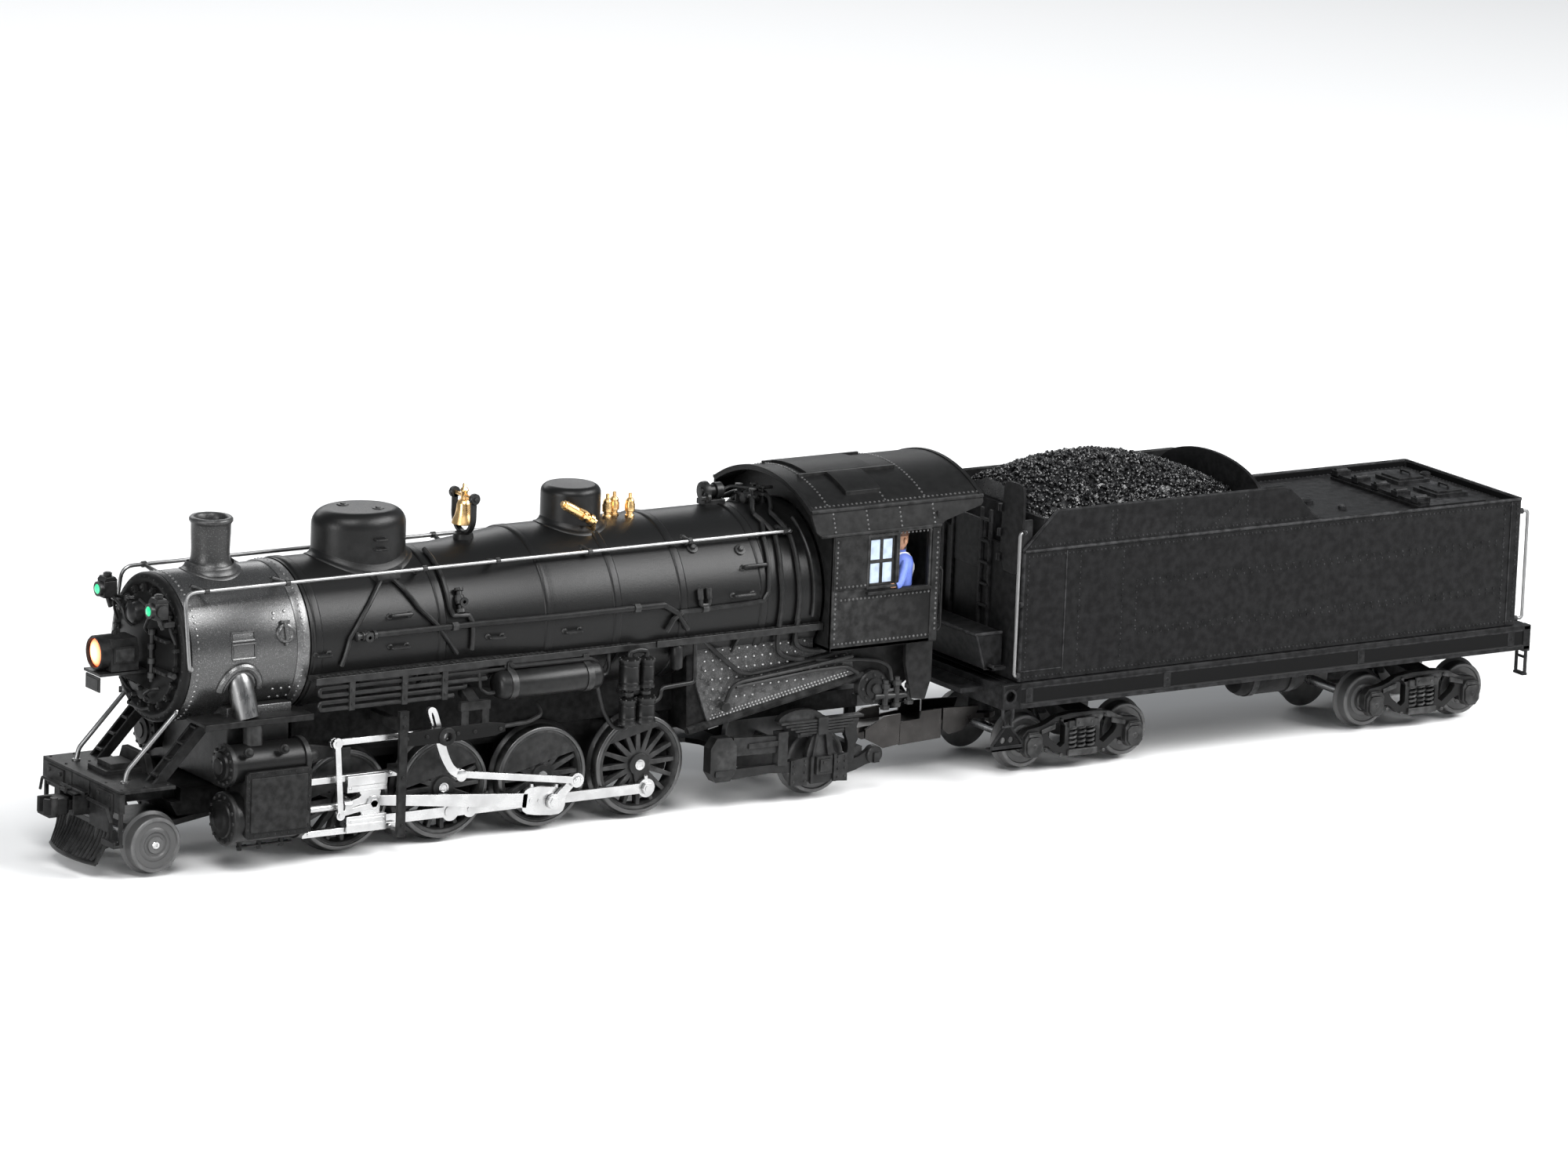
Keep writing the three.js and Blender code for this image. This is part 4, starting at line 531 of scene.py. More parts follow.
def barrel_radius(x):
    """Radius of the smokebox and boiler at a station."""
    if x < BARREL_FRONT:
        return SMOKEBOX_R
    share = min(1, max(0, (x - CONE_X[0]) / (CONE_X[1] - CONE_X[0])))
    return FRONT_R + (REAR_R - FRONT_R) * share


def on_barrel(x, degrees, lift=0.0):
    """Point on the left of the boiler, a number of degrees above its side."""
    angle = math.radians(degrees)
    r = barrel_radius(x) + lift
    return Vector((x, -r * math.cos(angle), BOILER_Z + r * math.sin(angle)))


def barrel_normal(degrees):
    """Direction the boiler's surface faces, a number of degrees above its side."""
    angle = math.radians(degrees)
    return Vector((0, -math.cos(angle), math.sin(angle)))


def along_barrel(stops, lift, steps=6):
    """Path over the boiler surface through (x, degrees) stops."""
    path = []
    for (x0, a0), (x1, a1) in zip(stops, stops[1:]):
        path += [on_barrel(x0 + (x1 - x0) * i / steps, a0 + (a1 - a0) * i / steps, lift)
                 for i in range(steps)]
    return path + [on_barrel(*stops[-1], lift)]


def row(start, end, pitch):
    """Evenly spaced points from one point to another, both ends included."""
    start, end = Vector(start), Vector(end)
    count = max(1, round((end - start).length / pitch))
    return [start + (end - start) * i / count for i in range(count + 1)]


# ------------------------------------------------------------------ boiler

SAND_X, SAND_R, SAND_TOP, SAND_SQUEEZE = -56.8, 15.2, 102.2, 0.82
STEAM_X, STEAM_R, STEAM_TOP = 19.0, 9.4, 103.0
BAND_X = (-83.2, -39.6, -3.0, 21.5, 45.4, 74.9)
BAND_HALF = 1.5


def barrel():
    """Boiler barrel: two cylinders joined by a cone, with its lagging bands."""
    made = Solid()
    profile = [(0, BARREL_FRONT), (FRONT_R, BARREL_FRONT)]
    for x in sorted(BAND_X + CONE_X):
        r = barrel_radius(x)
        if x in CONE_X:
            profile.append((r, x))
            continue
        low, high = x - BAND_HALF, x + BAND_HALF
        profile += [(barrel_radius(low), low), (barrel_radius(low) + 0.3, low + 0.2),
                    (r + 0.42, low + 0.7), (r + 0.3, x), (r + 0.42, high - 0.7),
                    (barrel_radius(high) + 0.3, high - 0.2), (barrel_radius(high), high)]
    profile += [(REAR_R, 96.4), (0, 96.4)]
    made.turned(profile, "x", (0, 0, BOILER_Z), 128)
    made.piece("boiler_barrel", BLACK, replaces=["boiler_shell"], sharp=50)


def dome(name, x, radius, top, squeeze, shoulder):
    """Round-shouldered dome that stands on the boiler."""
    made = Solid()
    profile = [(0, top), (radius - shoulder, top - 0.1)]
    profile += [(radius - shoulder + shoulder * math.sin(a), top - shoulder + shoulder * math.cos(a))
                for a in (i * math.pi / 16 for i in range(1, 9))]
    profile += [(radius, BOILER_Z + 12), (0, BOILER_Z + 12)]
    made.turned(profile, "z", (x, 0, 0), 72, squeeze)
    flare(made, x, radius, squeeze, 2.0)
    made.piece(name, BLACK, sharp=60)


def flare(made, x, radius, squeeze, reach):
    """Rounded skirt where something round stands on the boiler."""
    rings = ((-0.3, 2.4), (0.12, 1.7), (0.5, 0.9), (1.1, 0.42), (reach, 0.3), (reach + 0.3, -0.6),
             (-0.6, -1.2))
    sides = 72
    points, faces = [], []
    for out, up in rings:
        for c, s in circle((0, 0), 1, sides):
            px, py = x + (radius + out) * c, (radius * squeeze + out) * s
            surface = BOILER_Z + math.sqrt(barrel_radius(px) ** 2 - py ** 2)
            points.append((px, py, surface + up))
    for low in range(len(rings)):
        a, b = low * sides, (low + 1) % len(rings) * sides
        faces += [(a + i, a + (i + 1) % sides, b + (i + 1) % sides, b + i) for i in range(sides)]
    made.add(points, faces)


def dome_lids():
    """Sand filler lids on top of the dome, and the steps on its sides."""
    made = Solid()
    for x, y, drop in ((-60, 4.5, 0.3), (-52.5, -4.0, 0.4)):
        z = SAND_TOP - drop
        made.turned([(0, z + 0.9), (0.7, z + 0.9), (0.9, z + 0.6), (1.7, z + 0.55), (2.1, z + 0.1),
                     (2.3, z - 0.6), (0, z - 0.8)], "z", (x, y, 0), 24)
    for side in both_sides(made):
        for z in (91.5, 94.5):
            y = -SAND_R * SAND_SQUEEZE
            made.tube([(-58.2, y + 0.6, z), (-58.2, y - 1.5, z), (-54.6, y - 1.5, z),
                       (-54.6, y + 0.6, z)], 0.42, bend=0.6)
    made.piece("sand_dome_fittings", BLACK)


def sand_saddle():
    """Saddle below the sand dome, its outlet box, and the two sand pipes down each side."""
    made = Solid()
    for side in both_sides(made):
        rows = []
        for degrees in range(48, 75, 3):
            spread = (degrees - 48) / 26
            rows.append((math.radians(degrees), -59.5 - 7.2 * spread, -51 + 6.5 * spread))
        made.wrapped(rows, FRONT_R, 0.5)
        box_rows = [(math.radians(a), -59.4, -52.2) for a in (46, 49, 52)]
        made.wrapped(box_rows, FRONT_R, 1.7)
        made.tube(along_barrel([(-58.2, 47), (-68.2, 20), (-72.8, 6), (-75.2, -14)], 0.8), 0.75)
        made.tube(along_barrel([(-53.6, 47), (-47.7, 23), (-42, 9), (-34.5, -14)], 0.8), 0.75)
    made.piece("sand_pipes", BLACK, bevel=0.2)


def steps_and_plugs():
    """Foot steps and washout plugs on the boiler's sides."""
    made = Solid()
    steps = ((-58.1, -50.9, 19), (-58.2, -52.4, -4), (-23.8, -19.0, -4), (2.2, 7.6, -4),
             (-84.2, -79.6, -4), (68.1, 76.0, 26), (63.3, 70.6, 8))
    for side in both_sides(made):
        for x0, x1, degrees in steps:
            made.tube([on_barrel(x0, degrees, -0.3), on_barrel(x0, degrees, 2.0),
                       on_barrel(x1, degrees, 2.0), on_barrel(x1, degrees, -0.3)], 0.55, bend=0.8)
            made.studs([(on_barrel(x, degrees), barrel_normal(degrees)) for x in (x0, x1)], 1.1, 0.5)
        for x, degrees in ((52.2, 44), (68.9, 39)):
            spot = [(on_barrel(x, degrees), barrel_normal(degrees))]
            made.studs(spot, 1.8, 0.6, 20, domed=False)
            made.studs(spot, 0.9, 1.5, 6, domed=False)
    made.piece("boiler_steps_and_plugs", BLACK)


def valve_body(made, start, end, radius):
    """Globe valve on a pipe: flanges, a round body and a bonnet with its hand wheel."""
    start, end = Vector(start), Vector(end)
    along = end - start
    outward = Vector(OUT if abs(along.normalized().y) < 0.7 else UP)
    for low, high, r in ((0.0, 0.12, 1.5), (0.14, 0.3, 1.0), (0.3, 0.4, 1.5), (0.4, 0.55, 1.7),
                         (0.55, 0.65, 1.5), (0.7, 0.84, 1.0), (0.86, 1.0, 1.5)):
        made.rod(start + along * low, start + along * high, radius * r, 14)
    middle = start + along * 0.48
    made.rod(middle, middle + outward * radius * 3.0, radius * 0.6, 10)
    made.rod(middle + outward * radius * 2.4, middle + outward * radius * 3.0, radius * 1.5, 14)


def boiler_pipes():
    """Feed, blower and air pipes that run over the boiler, with their valves."""
    made = Solid()
    for side in both_sides(made):
        lift = 1.2
        made.tube(along_barrel([(-64, 7), (28.9, 7), (37.3, 7), (42.2, 1), (46.5, -11)], lift, 10), 0.95,
                  10)
        made.tube(along_barrel([(38.9, -11), (41, -3), (44, 1)], lift, 4), 0.8)
        valve_body(made, on_barrel(-71, 7, lift), on_barrel(-64, 7, lift), 0.95)
        for x in (-36.2, 27.5):
            made.rod(on_barrel(x - 1, 7, lift), on_barrel(x + 1, 7, lift), 1.45, 6)
        made.tube(along_barrel([(-37.0, 75), (-37.0, 20), (-36.2, 15), (-30.8, 14), (-29.6, 9),
                                (-29.4, -12)], 0.9, 5), 0.8)
        valve_body(made, on_barrel(-32.9, 34, 1.4), on_barrel(-33.6, 16, 1.4), 0.95)
        made.tube(along_barrel([(81.2, 60), (78.4, 45), (77.3, 26), (76, 8), (74, 2.5), (70, 2), (43.4, 1)],
                               0.8, 5), 0.75)
        for x in (50.9, 54.0):
            made.rod(on_barrel(x, 15, 1.2), on_barrel(x, 8, 1.2), 0.95, 10)
        made.tube([on_barrel(50.9, 8, 1.2), on_barrel(50.9, 4, 1.2), on_barrel(54, 4, 1.2),
                   on_barrel(54, 8, 1.2)], 0.7, bend=1.2)
        made.rod(on_barrel(51.5, 1.8, 0.9), on_barrel(53.5, 1.8, 0.9), 1.3, 6)
        made.tube(along_barrel([(80, 66), (82.9, 47), (81.2, 22), (80.8, -14)], 0.9, 7), 0.85)
        made.tube(along_barrel([(86, 66), (88.2, 45), (87.6, 21), (87.4, -14)], 0.9, 7), 0.85)
        made.tube(along_barrel([(92.4, 60), (93, 30), (93, -12)], 0.7, 7), 0.6)
    made.piece("boiler_pipes", BLACK)


def handrails():
    """Long wire rails on stanchions that grow longer where the boiler is thinner."""
    y, z = -19.5, 85.8
    ends = (-128.0, 88.2)
    posts = (-120.5, -92.5, -44.5, -18.5, 14.5, 51, 86)
    for side, hand in SIDES:
        rail = Solid(mirrored(side))
        rail.tube([(ends[0] + 0.6, -22.9, 62.6), (ends[0] - 0.3, -24.0, 63.6), (ends[0], y, z),
                   (ends[1], y, z)], 0.62, 10, bend=4)
        rail.studs([((ends[1] - 0.4, y, z), BACK), ((ends[0] + 0.6, -23.2, 63.2), OUT)],
                   0.95, 0.9, 12)
        rail.piece(f"handrail_{hand}", WIRE)
        stems = Solid(mirrored(side))
        for x in posts:
            degrees = 62 if x < -80 else 56
            foot = on_barrel(x, degrees - (0 if x < -80 else 2), -0.3)
            stems.rod(foot, (x, y, z), 0.85, 10, end_radius=0.55)
            stems.rod((x - 0.7, y, z), (x + 0.7, y, z), 0.98, 12)
            stems.studs([(foot, barrel_normal(degrees))], 1.35, 0.8, 12)
        stems.piece(f"handrail_posts_{hand}", BLACK)


def whistle_and_pops():
    """Whistle beside the steam dome and three safety valves behind it."""
    made = Solid()
    start, end = Vector((9.4, -10.6, 99.6)), Vector((21.2, -11.6, 92.9))
    along = end - start
    for low, high, r in ((0, 0.06, 0.8), (0.06, 0.12, 1.35), (0.12, 0.55, 1.55), (0.55, 0.6, 1.05),
                         (0.6, 0.66, 1.75), (0.66, 0.8, 1.2), (0.8, 0.9, 1.7), (0.9, 1.0, 0.9)):
        made.rod(start + along * low, start + along * high, r, 20)
    made.tube([start + along * 0.86, (17.6, -12.6, 96.4), (15.0, -12.4, 97.6)], 0.4, bend=1)
    made.rod(end - along * 0.05, (21.6, -9.6, 90.2), 0.8, 10)
    made.piece("whistle", BRASS)
    pops = Solid()
    for x, y in ((31.8, -1.2), (35.4, 0.6), (39.2, -2.6)):
        base = BOILER_Z + math.sqrt(REAR_R ** 2 - y ** 2) - 0.4
        pops.turned([(0, base), (1.5, base), (1.5, base + 0.9), (1.15, base + 1.3), (1.15, base + 2.0),
                     (1.6, base + 2.3), (1.6, base + 4.4), (1.35, base + 4.8), (1.35, base + 5.6),
                     (0.9, base + 6.2), (0.55, base + 6.5), (0.55, base + 7.8), (0, base + 8.0)],
                    "z", (x, y, 0), 24)
    pops.piece("safety_valves", BRASS)


def generator():
    """Steam turbine generator on the boiler top, ahead of the cab, with the turret pipes."""
    made = Solid()
    z = 95.2
    made.turned([(0, 68.4), (1.4, 68.5), (1.6, 69), (3.1, 69.2), (3.3, 69.8), (3.3, 70.9), (2.2, 71.2),
                 (2.0, 73.4), (2.6, 73.7), (2.6, 76), (1.6, 76.4), (1.2, 77.4), (0, 77.5)],
                "x", (0, 3.2, z), 28)
    made.box((69, 76.5), (0.6, 5.8), (91.0, 92.8))
    made.turned([(0, 66.6), (0.9, 66.6), (0.9, 68.2), (1.7, 68.6), (1.7, 69.6), (0, 69.6)],
                "x", (0, -0.4, z - 1.2), 20)
    for x, y in ((83.5, -4), (83.5, 4), (88.5, -2), (88.5, 3)):
        made.turned([(0, 90.5), (1.0, 90.5), (1.0, 93.4), (1.5, 93.6), (1.5, 94.4), (0.6, 94.6),
                     (0.6, 96.0), (1.2, 96.1), (1.2, 96.5), (0, 96.6)], "z", (x, y, 0), 18)
    made.turned([(0, 82.4), (1.7, 82.4), (1.9, 83), (1.9, 90.4), (1.7, 91), (0, 91)], "x", (0, 0, 92.6), 20)
    made.tube([(77, 3.2, 95.2), (80, 3.2, 96.2), (84, 1, 95.5), (94, 1, 95.0)], 0.55, bend=2)
    for side in both_sides(made):
        for start, stops in (([(83, -1, 93.4), (83, -5, 94), (80.4, -9, 91.4)], [(80, 68), (82, 52)]),
                             ([(89, -1, 93.4), (89, -5.5, 93.6), (87, -9.5, 91)], [(86, 68), (88, 52)])):
            made.tube(start + along_barrel(stops, 0.9, 3), 0.7, bend=2)
    made.piece("generator_and_turret", BLACK, bevel=0.2)


# The firebox: its lower edge climbs towards the cab, and its sheets carry rows of stay bolts.
FIREBOX_FRONT, FIREBOX_REAR = 51.0, 112.8
MUD_FRONT_Z, MUD_REAR_Z = 25.2, 36.5
MUD_SLOPE = (MUD_REAR_Z - MUD_FRONT_Z) / (FIREBOX_REAR - FIREBOX_FRONT)


def mud_z(x):
    """Height of the firebox's sloping lower edge at a station."""
    return MUD_FRONT_Z + (x - FIREBOX_FRONT) * MUD_SLOPE


def firebox():
    """Firebox with its side sheets, mud rings, stay bolts and washout bolts."""
    shell = Solid()
    outline = [(49.5, 58), (FIREBOX_FRONT, MUD_FRONT_Z), (FIREBOX_REAR, MUD_REAR_Z), (FIREBOX_REAR, 47.6),
               (96.6, 47.6), (96.6, 62)]
    shell.prism(outline, "y", (0.9 - FIREBOX_Y, FIREBOX_Y - 0.9))
    shell.piece("firebox_body", PITCH, bevel=0.4)
    for side, hand in SIDES:
        sheet = Solid(mirrored(side))
        sheet.prism([(52.8, 56.5), (53.4, 40), (57, 30.2), (58, mud_z(58) + 1.4),
                     (112.4, mud_z(112.4) + 1.4), (111.5, 42), (108, 47.5), (96.4, 47.5), (96.4, 56.5)],
                    "y", (-FIREBOX_Y, 1.2 - FIREBOX_Y))
        sheet.piece(f"firebox_sheet_{hand}", STAY_SHEET, bevel=0.25)
        ring = Solid(mirrored(side))
        ring.tube([(50.6, -FIREBOX_Y + 0.2, MUD_FRONT_Z + 0.4),
                   (115.5, -FIREBOX_Y + 0.2, mud_z(115.5) + 0.4)], 1.3, 10)
        ring.piece(f"mud_ring_{hand}", PITCH)
        stays = Solid(mirrored(side))
        out = Vector(OUT)
        spots = []
        for level in range(8):
            z = 53.8 - level * 3.1
            for column in range(20):
                x = 56 + column * 3.05 + (level % 2) * 0.4
                is_on_sheet = mud_z(x) + 5.2 < z and x > 58.6 - (z - 30) * 0.22 and (x < 95 or z < 46)
                if is_on_sheet and x < 110:
                    spots.append(((x, -FIREBOX_Y, z), out))
        stays.studs(spots, 0.42, 0.32, 8)
        for shift, rise in ((0, 2.2), (0.62, 3.3)):
            stays.studs([(p, out) for p in row((59 + shift, -FIREBOX_Y, mud_z(59) + rise),
                                               (109 + shift, -FIREBOX_Y, mud_z(109) + rise), 1.25)],
                        0.36, 0.34, 8)
        stays.piece(f"stay_bolts_{hand}", BOLT_GREY)
        corner = Solid(mirrored(side))
        for x, z in ((55.6, 45.5), (55.4, 42.6), (58.2, 40.4), (57.0, 37.4), (59.6, 35.2), (62.2, 37.8),
                     (58.9, 32.4), (61.8, 33.4), (64.4, 35.6), (61.4, 30.4), (64.4, 31.6)):
            corner.studs([((x, -FIREBOX_Y, z), out)], 0.85, 0.6, 12)
        corner.piece(f"washout_bolts_{hand}", STAY_SHEET)


def firebox_pipes():
    """Pipes that cross the firebox side."""
    made = Solid()
    y = -FIREBOX_Y - 1.1
    for side in both_sides(made):
        made.tube([(53.6, y, 55.6), (61.9, y, 48.2), (70.0, y, 42.0), (76, y, 42.4), (97, y, 44.6),
                   (107.6, y, 46.6), (113, y, 47.2)], 0.75, bend=3)
        made.tube([(63.0, y - 0.9, 33.4), (65.0, y - 0.9, 38.6), (68, y - 0.9, 40.2), (94, y - 0.9, 42.6),
                   (110, y - 0.9, 44.6)], 0.68, bend=1.6)
        made.tube([(67.2, y - 0.2, 38.6), (95.3, y - 0.2, 41.0), (108.6, y - 0.2, 41.2),
                   (112.6, y - 0.2, 38.6)], 0.7, bend=2.2)
        made.tube([(80.8, -26.6, 59), (80.8, -25.4, 53), (82.4, y, 48), (87.4, y, 45.6), (92, y, 45.2)],
                  0.85, bend=3)
        made.tube([(87.4, -26.8, 59), (87.4, -25.6, 54), (88.8, y, 50), (94, y, 47.4), (100, y, 47.2)],
                  0.85, bend=3)
        made.rod((62.6, y - 0.9, 31.6), (63.2, y - 0.9, 34.2), 1.3, 12)
        made.studs([((62.9, y - 1.2, 32.8), OUT)], 1.6, 1.0, 14, domed=False)
    made.piece("firebox_pipes", BLACK)


def injectors():
    """Water injectors under the cab: a flanged body with its valves and delivery pipes."""
    made = Solid()
    for side in both_sides(made):
        body_x, body_z = 118.4, 33.4
        made.turned([(0, -26.4), (1.5, -26.4), (1.7, -25.6), (3.2, -25.4), (3.2, -24.8), (5.2, -24.6),
                     (5.6, -24.2), (5.6, -21.6), (0, -21.6)], "y", (body_x, 0, body_z), 32)
        made.studs([((body_x + 4.2 * math.cos(TURN * i / 8), -24.8, body_z + 4.2 * math.sin(TURN * i / 8)),
                     OUT) for i in range(8)], 0.5, 0.5, 6)
        made.rod((body_x, -25.2, 30.6), (132.6, -25.2, 30.0), 1.0, 12)
        for x, low, high in ((122.4, 26.2, 35.6), (126.6, 26.8, 36.4), (131.4, 27.2, 35.0)):
            made.rod((x, -25.4, low), (x, -25.4, high), 0.95, 12)
            made.rod((x, -25.4, low), (x, -25.4, low + 1.2), 1.6, 6)
            made.rod((x, -25.4, high - 2.6), (x, -25.4, high - 1.2), 1.6, 6)
        made.tube([(96.4, -23.8, 44.4), (113, -24.2, 43.2), (119.6, -24.6, 42.2), (123.8, -25.0, 40),
                   (124.6, -25.2, 35.4)], 0.75, 10, bend=2)
        made.box((112.6, 129.6), (-24.2, -20.8), (28.0, 31.4))
    made.piece("injectors", BLACK, bevel=0.15)


def under_boiler():
    """Dark side sheets that close the space between the boiler and the frames."""
    made = Solid()
    for side in both_sides(made):
        made.box((-86, 52), (-12.8, -12.0), (30.5, 47.5))
    made.piece("under_boiler_sheets", PITCH, bevel=0.1)


barrel()
dome("sand_dome", SAND_X, SAND_R, SAND_TOP, SAND_SQUEEZE, 5.0)
dome("steam_dome", STEAM_X, STEAM_R, STEAM_TOP, 1.0, 2.6)
dome_lids()
sand_saddle()
steps_and_plugs()
boiler_pipes()
handrails()
whistle_and_pops()
generator()
firebox()
firebox_pipes()
injectors()
under_boiler()


# ------------------------------------------------------------------ smokebox and its fittings

STACK_X = -108.5
STEAM_PIPE_TOP_X, STEAM_PIPE_X = -110.0, -107.6


def smokebox():
    """Smokebox shell on its saddle, its rear band, rivets and side plates."""
    x0, x1 = SMOKEBOX_X
    shell = Solid()
    r = SMOKEBOX_R
    shell.turned([(r - 2, x0), (r - 0.25, x0), (r, x0 + 0.25), (r, x1), (r - 2, x1)], "x",
                 (0, 0, BOILER_Z), 128, ring=True)
    shell.prism(rectangle((-113, -90.6), (42.5, 49)), "y", (-20.6, 20.6))
    shell.piece("smokebox_shell", GRAPHITE, bevel=0.3, replaces=["smokebox"], sharp=50)
    band = Solid()
    band.turned([(r - 1, -90.4), (r + 0.2, -90.4), (r + 0.45, -90.1), (r + 0.45, -86.6), (r + 0.25, -86.1),
                 (r - 1, -86.1)], "x", (0, 0, BOILER_Z), 128, ring=True)
    # The band uses the lighter graphite, a painted highlight.
    band.piece("smokebox_rear_band", BAND_HIGHLIGHT, sharp=50)
    rivets = Solid()
    spots = []
    for i in range(72):
        degrees = i * 5
        out = barrel_normal(degrees)
        for x, lift in ((-88.3, 0.42), (-124.6, 0.0)):
            angle = math.radians(degrees)
            y, z = -(r + lift) * math.cos(angle), BOILER_Z + (r + lift) * math.sin(angle)
            spots.append(((x, y, z), out))
    rivets.studs(spots, 0.45, 0.34, 8)
    for side in both_sides(rivets):
        low_rows = [(x, degrees) for degrees in (-31, -40) for x in range(-97, -90, 3)]
        more = low_rows + [(-97.4, 31), (-97.8, 27), (-93.6, 32)]
        rivets.studs([(on_barrel(x, d), barrel_normal(d)) for x, d in more], 0.55, 0.4, 8)
    # The rivets use the lighter graphite, a painted highlight.
    rivets.piece("smokebox_rivets", BAND_HIGHLIGHT)
    details = Solid()
    for side in both_sides(details):
        for a0, a1 in ((12.5, 19), (-1, 10)):
            rows = [(math.radians(a0 + (a1 - a0) * i / 8), -112.6, -105.6) for i in range(9)]
            details.wrapped(rows, r, 0.3)
            corners = [(-113.0, a0), (-113.0, (a0 + a1) / 2), (-113.0, a1), (-105.2, a1),
                       (-105.2, (a0 + a1) / 2), (-105.2, a0), (-113.0, a0)]
            details.tube([on_barrel(x, d, 0.15) for x, d in corners], 0.42, 8)
    details.piece("smokebox_plates", GRAPHITE, bevel=0.25)


def cleanout_cap():
    """Round hinged cover on each side of the smokebox, with its lifting handle."""
    made = Solid()
    for side in (LEFT, RIGHT):
        place = mirrored(side) @ Matrix.Translation(on_barrel(-94.4, 15, -0.2))
        tilt = barrel_normal(15).to_track_quat("Z", "Y").to_matrix().to_4x4()
        made.place = place @ tilt
        made.turned([(0, 0.9), (1.9, 0.95), (2.2, 1.2), (2.5, 0.95), (2.9, 0.9), (3.2, 0.5), (3.3, -0.4),
                     (0, -0.4)], "z", (0, 0, 0), 36)
        made.box((-0.55, 0.55), (-2.3, 3.6), (0.8, 1.5))
        made.box((-1.5, 1.5), (3.0, 4.0), (0.2, 1.3))
        made.box((-0.6, 0.6), (-3.9, -3.0), (0.0, 1.0))
    made.piece("smokebox_caps", GRAPHITE, bevel=0.15)


def steam_pipes():
    """Outside steam pipes from the smokebox down to the valve chests."""
    pipe, flange, lower = Solid(), Solid(), Solid()
    for side in both_sides(pipe, flange, lower):
        pipe.tube([(STEAM_PIPE_TOP_X, -17.5, 60.5), (STEAM_PIPE_TOP_X + 0.8, -20.6, 57.4),
                   (STEAM_PIPE_X, -23.2, 46.2)], 4.0, 32, bend=5)
        lower.rod((STEAM_PIPE_X + 1.6, -24.0, 44.9), (STEAM_PIPE_X + 1.6, -24.4, 38), 3.0, 28)
        for i in range(15):
            angle = math.pi * (0.02 + 0.96 * i / 14)
            x = STEAM_PIPE_TOP_X + 0.6 + 6.6 * math.cos(angle)
            degrees = -26 + 18.5 * math.sin(angle)
            flange.studs([(on_barrel(x, degrees, 0.5), barrel_normal(degrees))], 0.55, 0.5, 8)
        ring = [(STEAM_PIPE_TOP_X + 0.6 + 6.6 * math.cos(a), -26 + 18.5 * math.sin(a))
                for a in (math.pi * i / 20 for i in range(21))]
        flange.tube([on_barrel(x, d, 0.25) for x, d in ring], 1.35, 10)
        flange.tube([on_barrel(x, d, -0.2) for x, d in
                     [(STEAM_PIPE_TOP_X + 0.6 + (x - STEAM_PIPE_TOP_X - 0.6) * 0.76, -26 + (d + 26) * 0.76)
                      for x, d in ring]], 1.0, 10)
    pipe.piece("steam_pipes", PIPE_STEEL)
    flange.piece("steam_pipe_flanges", GRAPHITE)
    lower.piece("steam_pipe_elbows", BLACK)


def smokebox_door():
    """Dished door in its ring, held by twenty dogs."""
    ring = Solid()
    r = SMOKEBOX_R
    centre = (0, 0, BOILER_Z)
    ring.turned([(0, -127.2), (0, -128.8), (19.6, -128.8), (20.2, -129.4), (21.2, -129.5), (22.2, -129.2),
                 (r - 0.1, -128.5), (r, -128.2), (r, -127.2)], "x", centre, 96)
    door = [(0, -132.4)]
    for i in range(1, 9):
        share = i / 8
        door.append((16.4 * share, -132.4 + 2.6 * share ** 2))
    ring.turned(door + [(17.2, -129.5), (17.4, -128.6), (0, -128.6)], "x", centre, 96)
    ring.piece("smokebox_door", CAB_BLACK, replaces=["smokebox_front"], sharp=50)
    dogs = Solid()
    out = Vector((-1, 0, 0))
    for i in range(20):
        angle = TURN * (i + 0.5) / 20
        y, z = 18.4 * math.cos(angle), BOILER_Z + 18.4 * math.sin(angle)
        dogs.place = Matrix.Translation((0, y, z)) @ Matrix.Rotation(angle, 4, "X")
        dogs.box((-130.2, -128.6), (-1.3, 1.0), (-0.6, 0.6))
        dogs.studs([((-130.1, 0, 0), out)], 0.6, 0.7, 6, domed=False)
    dogs.place = Matrix.Identity(4)
    dogs.studs([((-129.3, 21.6 * math.cos(a), BOILER_Z + 21.6 * math.sin(a)), out)
                for a in (TURN * i / 48 for i in range(48))], 0.38, 0.3, 8)
    dogs.piece("smokebox_door_dogs", CAB_BLACK, bevel=0.12)


